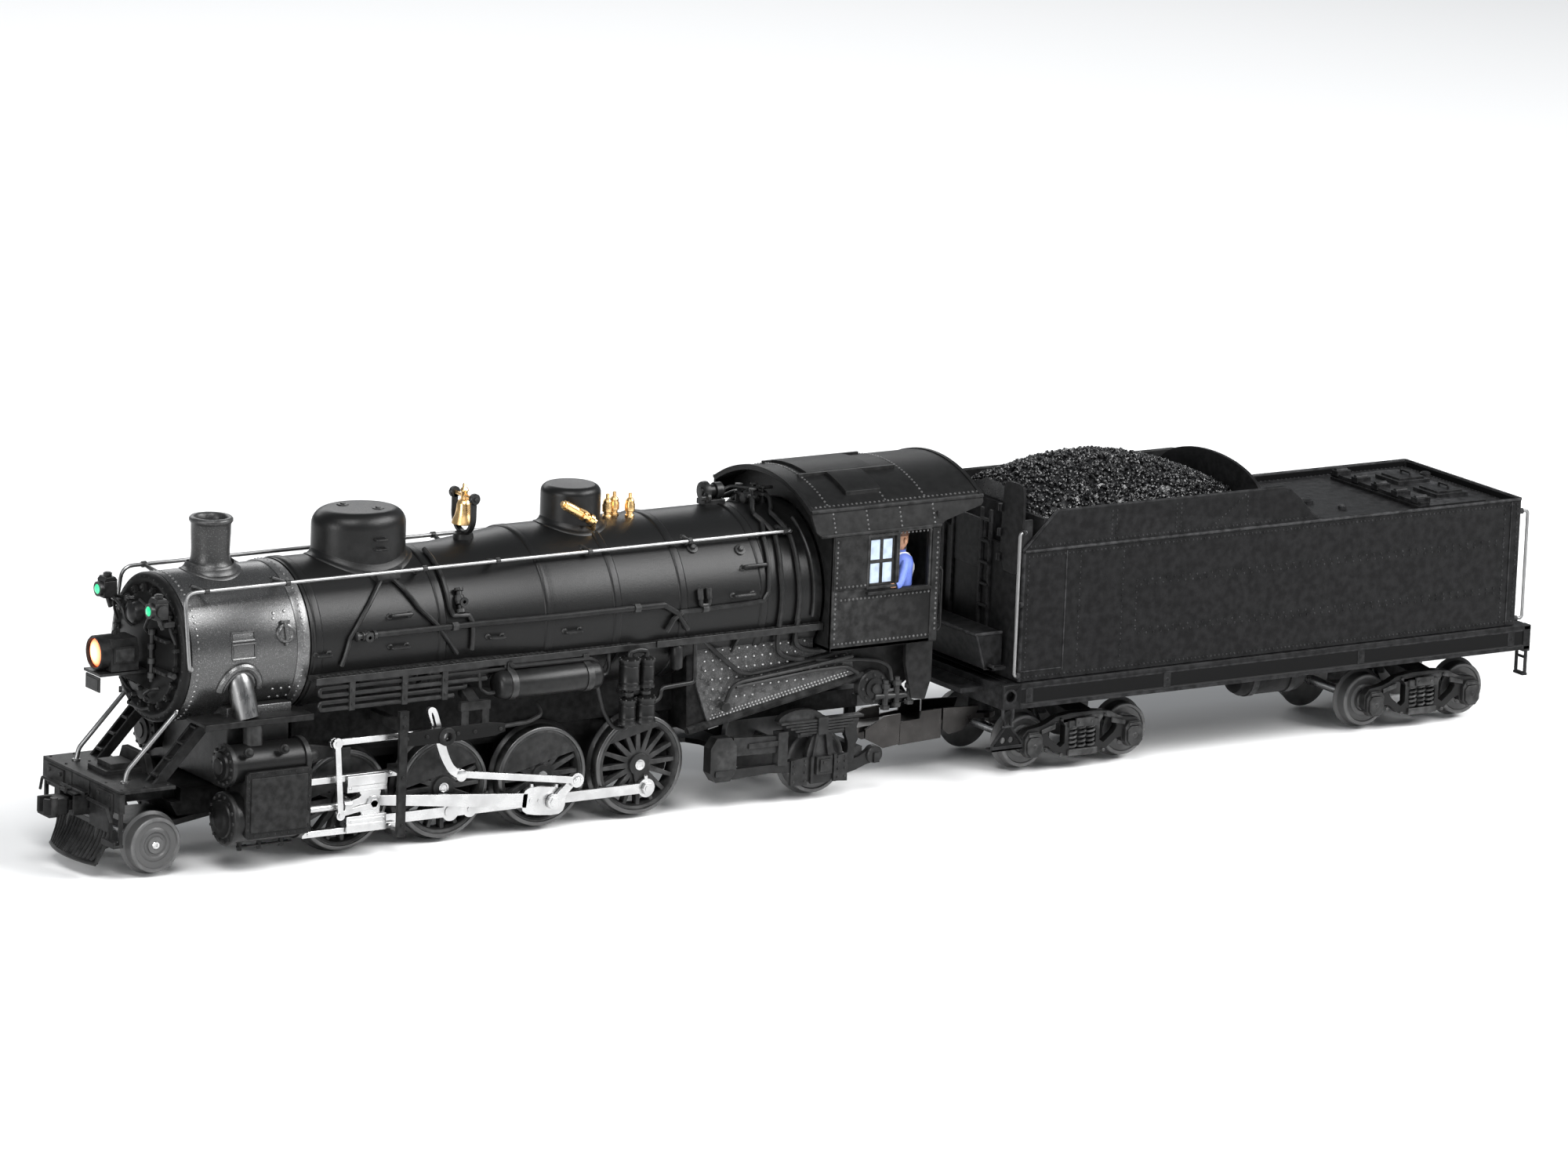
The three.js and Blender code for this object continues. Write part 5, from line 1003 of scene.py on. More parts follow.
def front_fittings():
    """Door hinge, hand holds and air lines round the headlight."""
    made = Solid()
    made.rod((-132.6, -8.2, 56.5), (-132.6, -8.2, 73), 0.6, 10)
    for z in (58.5, 63, 67.5, 72):
        made.rod((-132.6, -8.2, z - 0.8), (-132.6, -8.2, z + 0.8), 1.15, 12)
    for z in (60.4, 70.4):
        made.prism([(-9, z - 0.8), (-16.6, z - 0.5), (-16.6, z + 0.5), (-9, z + 0.8)], "x",
                   (-132.6, -130.2))
        made.studs([((-132.3, y, z), AHEAD) for y in (-11, -13.4, -15.8)], 0.5, 0.5, 6)
    made.rod((-131, -16.8, 60.4), (-131, -19.6, 60.4), 0.9, 12)
    for side in both_sides(made):
        made.tube([(-129.5, -14.5, 77.5), (-134, -14.8, 78.4), (-134, -8.5, 76.6), (-134, -6, 72.6),
                   (-132, -5, 71)], 0.5, bend=1.6)
        made.tube([(-130, -18.2, 70), (-131.6, -17.6, 74), (-131.6, -16.4, 78.4)], 0.45, bend=1.4)
        made.tube([(-130.4, -6, 77), (-133.4, -6, 79.6), (-133.4, -1.5, 80.6)], 0.42, bend=1.2)
        made.studs([((-131.6, -12.6, 75.0), AHEAD), ((-131.0, -9.6, 78.4), AHEAD)], 1.1, 1.4, 10)
        made.box((-133.8, -130.4), (-18.4, -14.2), (75.4, 77.0))
        made.tube([(-131.6, -5.2, 50.4), (-133.2, -5.2, 52.0), (-133.2, -9.5, 54.5), (-131.4, -11.2, 55)],
                  0.5, bend=1.0)
    made.turned([(0, -134.6), (1.6, -134.4), (2.9, -133.6), (3.4, -132.4), (3.6, -130.5), (0, -130.5)],
                "x", (0, 3.0, 75.4), 24)
    made.tube([(-131.8, -6, 47.6), (-133.4, -4.4, 47.2), (-133.4, 4.4, 47.2), (-131.8, 6, 47.6)], 0.5,
              bend=1.0)
    made.studs([((-131.4, y, z), AHEAD) for y, z in ((-3.8, 50), (3.8, 50), (0, 52.6))], 0.9, 1.3, 8)
    made.prism([(-5.4, 53), (5.4, 53), (3.4, 44.5), (-3.4, 44.5)], "x", (-127.0, -125.4),
               holes=[circle((0, 47.4), 1.3, 12)])
    made.box((-148.4, -130), (-5.2, 5.2), (58.6, 59.5))
    for y in (-3.9, 3.9):
        made.prism([(-141, 58.8), (-130, 58.8), (-130, 52.4)], "y", (y - 0.5, y + 0.5))
    made.prism(rectangle((-4.3, 4.3), (53.6, 58.2)), "x", (-148.2, -147.6))
    made.prism(rectangle((-3.7, 3.7), (54.2, 57.6)), "x", (-148.4, -148.0))
    made.piece("smokebox_front_fittings", BLACK, bevel=0.15)


def class_lamps():
    """Two green classification lamps high on the smokebox front."""
    lens_finish = glowing("class_lens", "lens", (0.0, 0.32, 0.13, 1), (0.25, 0.95, 0.5, 1),
                          (-138.2, 0, 80.6), 17.4, 1.3)
    for side, hand in SIDES:
        lamp = Solid(mirrored(side))
        y = -16.0
        lamp.box((-137.2, -132.6), (y - 2.2, y + 2.2), (77.8, 83.0))
        lamp.prism([(-137.4, 83.0), (-132.4, 83.0), (-133.4, 84.3), (-136.4, 84.3)], "y",
                   (y - 2.3, y + 2.3))
        lamp.turned([(0, 84.2), (1.3, 84.2), (1.4, 85.2), (0.9, 85.5), (0, 85.5)], "z", (-134.9, y, 0), 16)
        lamp.turned([(2.0, -138.4), (2.3, -138.4), (2.3, -137.0), (0, -137.0), (0, -137.6), (2.0, -137.6)],
                    "x", (0, y, 80.5), 24)
        lamp.turned(rectangle((0, 1.9), (-0.9, 0)), "y", (-134.9, y - 2.0, 80.5), 20)
        lamp.rod((-134.8, y, 78), (-133.4, y - 0.4, 74.6), 0.8, 10)
        lamp.piece(f"class_lamp_{hand}", BLACK, bevel=0.25)
        lens = Solid(mirrored(side))
        lens.turned([(0, -139.0), (1.2, -138.7), (1.9, -138.0), (1.95, -137.5), (0, -137.5)], "x",
                    (0, y, 80.5), 24)
        lens.piece(f"class_lamp_lens_{hand}", lens_finish)


def smokestack():
    """Cast stack with a rolled lip and a skirt on the smokebox."""
    made = Solid()
    profile = [(4.9, 103.3), (5.2, 103.8), (6.3, 103.8), (6.7, 103.3), (6.75, 102.6), (6.35, 102.1),
               (6.15, 101.6), (6.1, 99), (5.9, 94), (5.95, 91.6), (6.3, 90.0), (7.1, 88.9), (8.3, 88.2),
               (8.8, 87.0), (4.4, 86.0), (4.4, 102.0)]
    made.turned(profile, "z", (STACK_X, 0, 0), 56, ring=True)
    flare(made, STACK_X, 7.6, 1.0, 1.8)
    made.piece("smokestack_cast", STACK_GREY, replaces=["smokestack"], sharp=60)


def headlight():
    """Headlight case with blank number boards, and its lit lens."""
    z = BOILER_Z + 0.1
    case = Solid()
    case.turned([(4.5, -147.9), (5.0, -147.9), (5.3, -147.5), (5.3, -140), (4.9, -139.6), (4.5, -139.6)],
                "x", (0, 0, z), 40, ring=True)
    case.prism([(-5.3, 59.8), (5.3, 59.8), (5.3, 66.6), (3.8, 69.6), (-3.8, 69.6), (-5.3, 66.6)],
               "x", (-144.6, -135.2))
    case.turned([(0, 71.4), (0.6, 71.4), (0.9, 70.9), (0.9, 69.2), (0, 69.2)], "z", (-141, 0, 0), 14)
    for side in both_sides(case):
        case.prism(rectangle((-144.0, -136.6), (62.4, 67.4)), "y", (-5.75, -5.2))
        case.prism(rectangle((-143.5, -137.1), (62.9, 66.9)), "y", (-5.95, -5.6))
    case.piece("headlight_case", CAB_BLACK, bevel=0.2, replaces=["headlight"])
    lens = Solid()
    lens.turned([(0, -147.9), (2.4, -147.6), (4.2, -146.9), (4.55, -146.3), (4.55, -145.6), (0, -145.6)],
                "x", (0, 0, z), 40)
    finish = glowing("headlight_glow", "lens", (1.0, 0.1, 0.015, 1), (1.0, 0.6, 0.34, 1),
                     (-147.5, 0.8, z), 4.4, 2.0)
    lens.piece("headlight_glass", finish, replaces=["headlight_lens"])


smokebox()
cleanout_cap()
steam_pipes()
smokebox_door()
front_fittings()
class_lamps()
smokestack()
headlight()


# ------------------------------------------------------------------ bell

BELL_X, BELL_PIVOT_Z = -19.4, 102.4


def bell():
    """Bell on its pivots between the arms of a yoke."""
    yoke = Solid()
    ring_z = 96.5
    outer = [(6.3, 103.2)] + circle((0, ring_z), 6.3, 24, 0, -math.pi) + [(-6.3, 103.2)]
    inner = [(-5.0, 103.2)] + circle((0, ring_z), 5.0, 24, math.pi, math.pi) + [(5.0, 103.2)]
    yoke.prism(outer + inner, "x", (BELL_X - 0.9, BELL_X + 0.9))
    yoke.turned([(0, 91), (2.4, 91), (3.0, 90.6), (3.2, 89.8), (3.2, 87.5), (0, 87.5)], "z", (BELL_X, 0, 0),
                28)
    for y in (-6.0, 6.0):
        yoke.turned([(0, -1.0), (1.5, -1.0), (1.8, -0.6), (1.8, 0.4), (1.5, 0.8), (0, 0.8)], "y",
                    (BELL_X, y, BELL_PIVOT_Z), 20)
        yoke.studs([((BELL_X, y + math.copysign(0.8, y), BELL_PIVOT_Z), (0, y, 0))], 0.7, 0.8, 6,
                   domed=False)
    yoke.piece("bell_yoke", BLACK, bevel=0.25, replaces=["bell_bracket"])
    body = Solid()
    body.turned([(0, 94.6), (2.6, 94.2), (3.55, 93.6), (3.75, 93.8), (3.5, 94.8), (2.85, 96.2), (2.45, 98),
                 (2.3, 99.6), (1.95, 100.8), (1.1, 101.4), (1.0, 103.6), (1.35, 104.0), (1.2, 104.6),
                 (0.7, 105.0), (0.6, 106.0), (0.3, 106.4), (0, 106.4)], "z", (BELL_X, 0, 0), 40)
    body.turned(rectangle((0, 0.6), (-5.4, 5.4)), "y", (BELL_X, 0, BELL_PIVOT_Z), 14)
    body.piece("bell_casting", BRASS, "bell", replaces=["bell"], sharp=50)


bell()


# ------------------------------------------------------------------ cab

CAB_WALL = 1.3
ROOF_RADIUS = (ROOF_SPRING[0] ** 2 + (ROOF_PEAK - ROOF_SPRING[1]) ** 2) / (2 * (ROOF_PEAK - ROOF_SPRING[1]))
FRONT_WINDOW = ((110.6, 120.4), (68.2, 83.8))
REAR_WINDOW = ((121.8, 132.8), (66.8, 84.8))


def roof_line(offset, count=24):
    """Roof section from the left eave line, over the peak, to the right one."""
    spread = math.asin(ROOF_SPRING[0] / ROOF_RADIUS)
    middle = ROOF_PEAK - ROOF_RADIUS
    angles = [spread * (2 * i / count - 1) for i in range(count + 1)]
    arch = [((ROOF_RADIUS - offset) * math.sin(a), middle + (ROOF_RADIUS - offset) * math.cos(a))
            for a in angles]
    eave = CAB_Y - offset * 0.9
    return [(-eave, CAB_Z[1])] + arch + [(eave, CAB_Z[1])]


def eave_lean():
    """Shear that leans an upright sheet outwards from the roof's spring line down to the eave."""
    lean = Matrix.Identity(4)
    lean[1][2] = (CAB_Y - ROOF_SPRING[0]) / (ROOF_SPRING[1] - CAB_Z[1])
    lean[1][3] = -lean[1][2] * ROOF_SPRING[1]
    return lean


def roof_point(y, lift=0.0):
    """Height of the roof above a point across it."""
    middle = ROOF_PEAK - ROOF_RADIUS
    return middle + math.sqrt((ROOF_RADIUS + lift) ** 2 - y ** 2)


def window_hole(window, grow=0.0):
    """Outline of a window opening, grown by a margin."""
    (x0, x1), (z0, z1) = window
    return rectangle((x0 - grow, x1 + grow), (z0 - grow, z1 + grow))


def cab_body():
    """Cab sides with window openings, front wall round the boiler, floor and roof."""
    made = Solid()
    x0, x1 = CAB_X
    outer, inner = roof_line(0)[1:-1], roof_line(CAB_WALL)[1:-1]
    made.prism(outer + inner[::-1], "x", ROOF_X)
    for side in (LEFT, RIGHT):
        made.place = mirrored(side) @ eave_lean()
        eave = [(ROOF_X[0], ROOF_SPRING[1]), (x0 - 6.4, CAB_Z[1] + 1.4), (x0 - 4.9, CAB_Z[1]),
                (x1 + 0.2, CAB_Z[1]), (x1 + 2.4, CAB_Z[1] + 1.2), (x1 + 16.2, 90.2), (ROOF_X[1], 91.2),
                (ROOF_X[1], ROOF_SPRING[1])]
        made.prism(eave, "y", (-ROOF_SPRING[0], CAB_WALL - ROOF_SPRING[0]))
        made.place = mirrored(side)
        made.prism(rectangle(CAB_X, CAB_Z), "y",
                   (-CAB_Y, CAB_WALL - CAB_Y), holes=[window_hole(FRONT_WINDOW), window_hole(REAR_WINDOW)])
        made.prism([(128.5, 48.6), (128.5, 41), (131.2, 29.2), (136.4, 28.3), (138.6, 35.2), (138.6, 48.6)],
                   "y", (-27, -25.2))
        made.prism([(108, 48.6), (108, 35), (131, 33), (137, 37), (137, 48.6)], "y", (-22, -20.6))
    made.place = Matrix.Identity(4)
    reach = REAR_R + 0.1
    low = math.asin((CAB_Z[0] - BOILER_Z) / reach)
    round_boiler = [(-reach * math.cos(a), BOILER_Z + reach * math.sin(a))
                    for a in (low + (math.pi - 2 * low) * i / 40 for i in range(41))]
    wall = [(-CAB_Y, CAB_Z[0])] + roof_line(0.4) + [(CAB_Y, CAB_Z[0])] + round_boiler[::-1]
    made.prism(wall, "x", (x0, x0 + CAB_WALL))
    made.box((x0, x1), (-CAB_Y, CAB_Y), (CAB_Z[0], CAB_Z[0] + 1.4))
    made.prism([(-22, 49), (22, 49), (22, 78), (15, 88), (-15, 88), (-22, 78)], "x", (104, 108))
    for side in both_sides(made):
        made.box((x1 - 0.9, x1), (-CAB_Y + 0.6, -13), (CAB_Z[0] + 0.6, 90))
    made.piece("cab_body", CAB_BLACK, bevel=0.25, replaces=["cab"])


def cab_trim():
    """Eave bead, gutter, window frames, sills, roof hatch and the overlapping side sheets."""
    made = Solid()
    x0, x1 = CAB_X
    for side in both_sides(made):
        made.tube([(x0 - 4.9, -CAB_Y - 0.1, CAB_Z[1]), (x1 + 0.2, -CAB_Y - 0.1, CAB_Z[1])], 0.5, 10)
        made.tube([(x0 - 7.4, -ROOF_SPRING[0] - 0.2, ROOF_SPRING[1]),
                   (x1 + 17.0, -ROOF_SPRING[0] - 0.2, ROOF_SPRING[1])], 0.6, 10)
        made.box((x0 + 0.3, x0 + 12.6), (-CAB_Y - 0.35, -CAB_Y + 0.2), (67.8, CAB_Z[1] - 0.6))
        made.box((x1 - 3.0, x1 - 0.1), (-CAB_Y - 0.3, -CAB_Y + 0.2), (CAB_Z[0] + 0.3, CAB_Z[1] - 0.6))
        for window in (FRONT_WINDOW, REAR_WINDOW):
            made.prism(window_hole(window, 0.9), "y", (-CAB_Y - 0.5, -CAB_Y + 0.2),
                       holes=[window_hole(window, 0.05)])
        made.box((109.8, 133.6), (-CAB_Y - 1.3, -CAB_Y + 0.2), (65.7, 66.6))
        (a0, _), (b0, _) = FRONT_WINDOW
        made.prism(window_hole(FRONT_WINDOW), "y", (0.35 - CAB_Y, 1.0 - CAB_Y),
                   holes=[window_hole(((a0 + 0.8 + 4.6 * i, a0 + 4.2 + 4.6 * i),
                                       (b0 + 0.8 + 7.5 * j, b0 + 7.1 + 7.5 * j)))
                          for i in range(2) for j in range(2)])
        made.tube([(x1 + 0.6, -CAB_Y + 0.6, 51.5), (x1 + 1.5, -CAB_Y + 0.6, 52.5),
                   (x1 + 1.5, -CAB_Y + 0.6, 71), (x1 + 0.4, -CAB_Y + 0.6, 72)], 0.45, bend=0.8)
    rim, rim_in = roof_line(-0.35)[1:-1], roof_line(0.4)[1:-1]
    for a, b in ((x0 - 7.7, x0 - 6.2), (x1 + 15.9, x1 + 17.3)):
        made.prism(rim + rim_in[::-1], "x", (a, b))
    hatch = [(y, roof_point(y, 0.9)) for y in range(-10, 11, 2)]
    hatch += [(y, roof_point(y, -0.6)) for y in range(10, -11, -2)]
    made.prism(hatch, "x", (99.5, 124))
    plate = [(y, roof_point(y, 1.1)) for y in range(-23, -9, 2)]
    plate += [(y, roof_point(y, -0.6)) for y in range(-11, -24, -2)]
    made.prism(plate, "x", (106, 119))
    for y in (-10.4, 10.4):
        z = roof_point(y, 0)
        made.box((96, 132), (y - 0.5, y + 0.5), (z - 0.5, z + 0.9))
    made.piece("cab_trim", CAB_BLACK, bevel=0.15)


def cab_rivets():
    """Rows of rivets down the sheet seams of the cab sides and across the roof."""
    made = Solid()
    x0, x1 = CAB_X
    out = Vector(OUT)
    slope = Vector((0, -(ROOF_SPRING[1] - CAB_Z[1]), CAB_Y - ROOF_SPRING[0])).normalized()
    for side in both_sides(made):
        spots = []
        y = -CAB_Y
        spots += row((x0 + 1.4, y, 50.6), (x1 - 1.2, y, 50.6), 1.5)
        spots += row((x0 + 1.4, y - 0.35, 68.8), (x0 + 12.0, y - 0.35, 68.8), 1.5)
        spots += row((x0 + 3.4, y, 64.6), (x1 - 2.2, y, 64.6), 1.5)
        spots += row((x0 + 1.3, y - 0.35, 70.4), (x0 + 1.3, y - 0.35, CAB_Z[1] - 2.2), 1.6)
        spots += row((x0 + 1.3, y, 52.4), (x0 + 1.3, y, 66.8), 1.6)
        spots += row((x1 - 1.1, y - 0.3, 52.4), (x1 - 1.1, y - 0.3, CAB_Z[1] - 2.2), 1.6)
        spots += row((x0 + 0.8, y, CAB_Z[1] - 1.2), (x1 - 0.6, y, CAB_Z[1] - 1.2), 1.45)
        made.studs([(p, out) for p in spots], 0.42, 0.3, 6)
        sloped = []
        for x in (x0 + 0.6, x0 + 13, x0 + 25.4, x0 + 37.8):
            foot = Vector((x, -CAB_Y + 0.3, CAB_Z[1] + 1.0))
            head = Vector((x, -ROOF_SPRING[0] - 0.3, ROOF_SPRING[1] - 1.2))
            sloped += [(p, slope) for p in row(foot, head, 1.3)]
        made.studs(sloped, 0.42, 0.32, 6)
        edge = ROOF_SPRING[0] - 1.6
        edge_row = row((x0 - 6.4, -edge, roof_point(edge)), (x1 + 16, -edge, roof_point(edge)), 1.7)
        top = [(p, Vector((0, -0.3, 1))) for p in edge_row]
        for x in (97.0, 118.6, 133.4):
            for i in range(18):
                y = -1.0 - 1.48 * i
                if abs(y) > 11 or x > 118.6 or x < 99:
                    top.append(((x, y, roof_point(y)), Vector((0, y / ROOF_RADIUS, 1))))
        made.studs(top, 0.42, 0.3, 6)
    # The cab rivets use the lighter black, a painted highlight.
    made.piece("cab_rivets", RIVET_HIGHLIGHT)


def cab_glass():
    """Four panes in each front window."""
    made = Solid()
    for side in both_sides(made):
        (a0, _), (b0, _) = FRONT_WINDOW
        for i in range(2):
            for j in range(2):
                low, high = b0 + 0.6 + 7.4 * j, b0 + 7.5 + 7.4 * j
                made.prism(rectangle((a0 + 0.6 + 4.5 * i, a0 + 4.6 + 4.5 * i), (low, high)), "y",
                           (0.5 - CAB_Y, 0.8 - CAB_Y))
    made.piece("cab_window_panes", PANE)


def engineer():
    """Generic toy engine driver leaning on the window sill: cap, shirt, braces and trousers."""
    x, y = 126.4, -24.4
    legs = Solid()
    for dy in (-2.2, 2.2):
        legs.turned([(0, 49.8), (1.9, 49.8), (2.1, 51), (1.9, 57), (2.5, 63.5), (2.2, 64.5), (0, 64.5)],
                    "z", (x, y + dy, 0), 20)
    legs.turned([(0, 62.4), (3.6, 62.6), (4.0, 64.5), (3.9, 66.4), (0, 66.6)], "z", (x, y, 0), 28, 1.15)
    legs.piece("engineer_trousers", TROUSERS, sharp=60)
    shirt = Solid()
    shirt.turned([(0, 65.8), (3.9, 65.9), (3.9, 68), (4.0, 71), (4.2, 73.4), (3.7, 75.1), (2.4, 76.2),
                  (1.7, 76.6), (1.75, 77.4), (0, 77.5)], "z", (x, y, 0), 32, 1.12)
    shirt.tube([(x - 0.4, y - 3.6, 74.2), (x - 2.2, y - 5.0, 70.6), (x - 4.0, y - 6.0, 67.8),
                (x - 5.2, y - 6.0, 67.4)], 1.45, 14, bend=2.2)
    shirt.tube([(x + 0.6, y + 3.8, 74.2), (x + 0.8, y + 5.4, 70.4), (x - 1.4, y + 5.2, 67.2),
                (x - 4.4, y + 4.6, 66.8)], 1.4, 14, bend=2.2)
    shirt.piece("engineer_shirt", SHIRT, sharp=60)
    straps = Solid()
    for dy in (-1.9, 1.9):
        chest = 4.15
        straps.tube([(x - 3.8, y + dy * 1.1, 66.2), (x - chest, y + dy, 71), (x - 3.9, y + dy, 73.8),
                     (x - 2.1, y + dy * 0.9, 76.1), (x, y + dy * 0.9, 76.7), (x + 2.1, y + dy * 0.9, 76.1),
                     (x + chest, y + dy, 72), (x + 3.8, y, 66.2)], 0.42, 8, bend=1.2)
    straps.piece("engineer_braces", BRACES)
    head = Solid()
    head.turned([(0, 76.6), (1.25, 76.9), (1.35, 78), (1.9, 78.6), (2.35, 79.6), (2.5, 81), (2.45, 82.3),
                 (2.0, 83.4), (1.0, 84.1), (0, 84.2)], "z", (x, y, 0), 28, 0.92)
    head.turned([(0, -0.75), (0.42, -0.5), (0.5, 0.1), (0.35, 0.75), (0, 0.95)], "x", (x - 2.55, y, 80.4),
                14)
    for dy in (-2.35, 2.35):
        head.turned([(0, 79.4), (0.5, 79.9), (0.62, 80.8), (0.4, 81.5), (0, 81.7)], "z",
                    (x + 0.2, y + dy, 0), 12)
    head.tube([(x - 5.2, y - 6.0, 67.5), (x - 6.4, y - 6.0, 67.5), (x - 7.1, y - 5.7, 67.4)], 0.85, 12,
              bend=0.5)
    head.tube([(x - 4.4, y + 4.6, 66.9), (x - 5.6, y + 4.4, 66.9), (x - 6.2, y + 4.1, 66.9)], 0.85, 12,
              bend=0.5)
    head.piece("engineer_head_and_hands", SKIN, sharp=70)
    marks = Solid()
    for dy in (-0.85, 0.85):
        marks.turned([(0, -0.14), (0.2, -0.1), (0.26, 0.1), (0, 0.2)], "x", (x - 2.32, y + dy, 81.1), 10)
        marks.tube([(x - 2.36, y + dy * 0.55, 81.75), (x - 2.3, y + dy * 1.5, 81.7)], 0.12, 6)
    marks.tube([(x - 2.28, y - 0.65, 79.35), (x - 2.46, y, 79.28), (x - 2.28, y + 0.65, 79.35)], 0.13, 6)
    marks.piece("engineer_face_marks", TROUSERS)
    cap = Solid()
    cap.turned([(0, 82.1), (2.62, 82.1), (2.7, 82.8), (2.75, 83.6), (3.05, 84.3), (2.9, 84.95), (1.6, 85.3),
                (0, 85.3)], "z", (x, y, 0), 28, 0.95)
    cap.turned([(0, 82.05), (2.5, 82.0), (2.7, 82.2), (2.4, 82.5), (0, 82.7)], "z", (x - 1.9, y, 0), 24,
               0.85)
    cap.piece("engineer_cap", CAP, replaces=["engineer_figure"], sharp=60)


cab_body()
cab_trim()
cab_rivets()
cab_glass()
engineer()


# ------------------------------------------------------------------ running boards

def running_board(side, hand):
    """Walkway along one side with its brackets, edge strip and tread pattern."""
    made = Solid(mirrored(side))
    inner, outer = 16.5, BOARD_Y
    for x0, x1 in ((-86, 27.1), (35.5, 96.8)):
        near = (REAR_R if x0 > 0 else FRONT_R) + 0.35
        edge = math.sqrt(near ** 2 - (BOARD_Z[0] - BOILER_Z) ** 2)
        made.box((x0, x1), (-outer, -max(inner, edge)), BOARD_Z)
        made.box((x0, x1), (-outer - 0.1, -outer + 0.7), (BOARD_Z[0] - 0.7, BOARD_Z[1]))
    made.box((20, 40), (-outer + 0.6, -24.6), (54.6, BOARD_Z[1] - 0.3))
    for x in (-70, -46, -20, 6, 22, 44, 66, 88):
        reach = 26.4 if x > 0 else 23.4
        made.prism([(-outer + 1, 55.6), (-outer + 1, 54.4), (-reach + 4.6, 48.5), (-reach + 1.6, 55.6)],
                   "x", (x - 0.45, x + 0.45))
    made.piece(f"walkway_{hand}", BLACK, bevel=0.2, replaces=[f"running_board_{hand}"])
    treads = Solid(mirrored(side))
    top = BOARD_Z[1]
    for x0, x1 in ((-85, 26), (36.5, 96)):
        x = x0
        while x < x1:
            for y in (-25.9, -24.6):
                if x0 < 0 or y < -25:
                    diamond = [(x, y - 0.4), (x + 1.1, y - 0.15), (x + 1.1, y + 0.15), (x, y + 0.4)]
                    treads.prism(diamond, "z", (top, top + 0.14))
            x += 1.9
    treads.piece(f"walkway_tread_{hand}", BLACK)


def cooling_coils(side, hand):
    """Long hairpin pipes hung below the board, with the clamps that hold them."""
    made = Solid(mirrored(side))
    y = -26.3
    for high, low, rear, past, rise in ((53.4, 51.1, -25.5, 7, 1.8), (49.0, 46.8, -37, 4, 0.9)):
        made.tube([(-43, y, high), (-84.3, y, high), (-84.3, y, low), (rear, y, low)], 0.72, 10, bend=1.1)
        made.tube([(-43, y, high), (rear + past, y, high), (rear + past, y, high + rise)], 0.72, 10,
                  bend=1.1)
    for x in (-73.2, -54.7, -40.5):
        made.box((x - 1.0, x + 1.0), (y - 0.95, y + 1.1), (45.9, 55.6))
        made.studs([((x, y - 0.9, z), OUT) for z in (47.9, 52.2)], 0.55, 0.35, 6)
    made.tube([(-17.6, -27.6, 55.8), (-17.6, -27.6, 54.2), (11.5, -27.2, 53.8), (15.0, -26.4, 51.6),
               (14.6, -26.2, 44.0)], 0.8, 10, bend=2)
    made.tube([(15.2, -26.8, 48.2), (17.5, -26.8, 48.2), (18.6, -26.6, 50), (18.6, -26.0, 55)], 0.6, 8,
              bend=1)
    made.tube([(-22.7, -26.8, 46.4), (-25.2, -26.8, 46.4), (-27.6, -26.6, 47.8), (-28.2, -26.3, 53.5)], 0.6,
              bend=1)
    made.piece(f"cooling_coils_{hand}", BLACK, bevel=0.15)
    tank = Solid(mirrored(side))
    x0, x1, r = -22.7, 15.0, 4.5
    tank.turned([(0, x0), (2.6, x0 + 0.1), (3.9, x0 + 0.7), (r, x0 + 2.0), (r, x1 - 2.0), (3.9, x1 - 0.7),
                 (2.6, x1 - 0.1), (0, x1)], "x", (0, -26.8, 48.6), 40)
    for x in (-17.6, 9.6):
        tank.turned(rectangle((r - 0.4, r + 0.28), (x - 1.1, x + 1.1)), "x",
                    (0, -26.8, 48.6), 40, ring=True)
        tank.box((x - 1.1, x + 1.1), (-27.8, -25.4), (52.2, 55.6))
    tank.piece(f"air_tank_{hand}", BLACK, bevel=0.15, sharp=50)


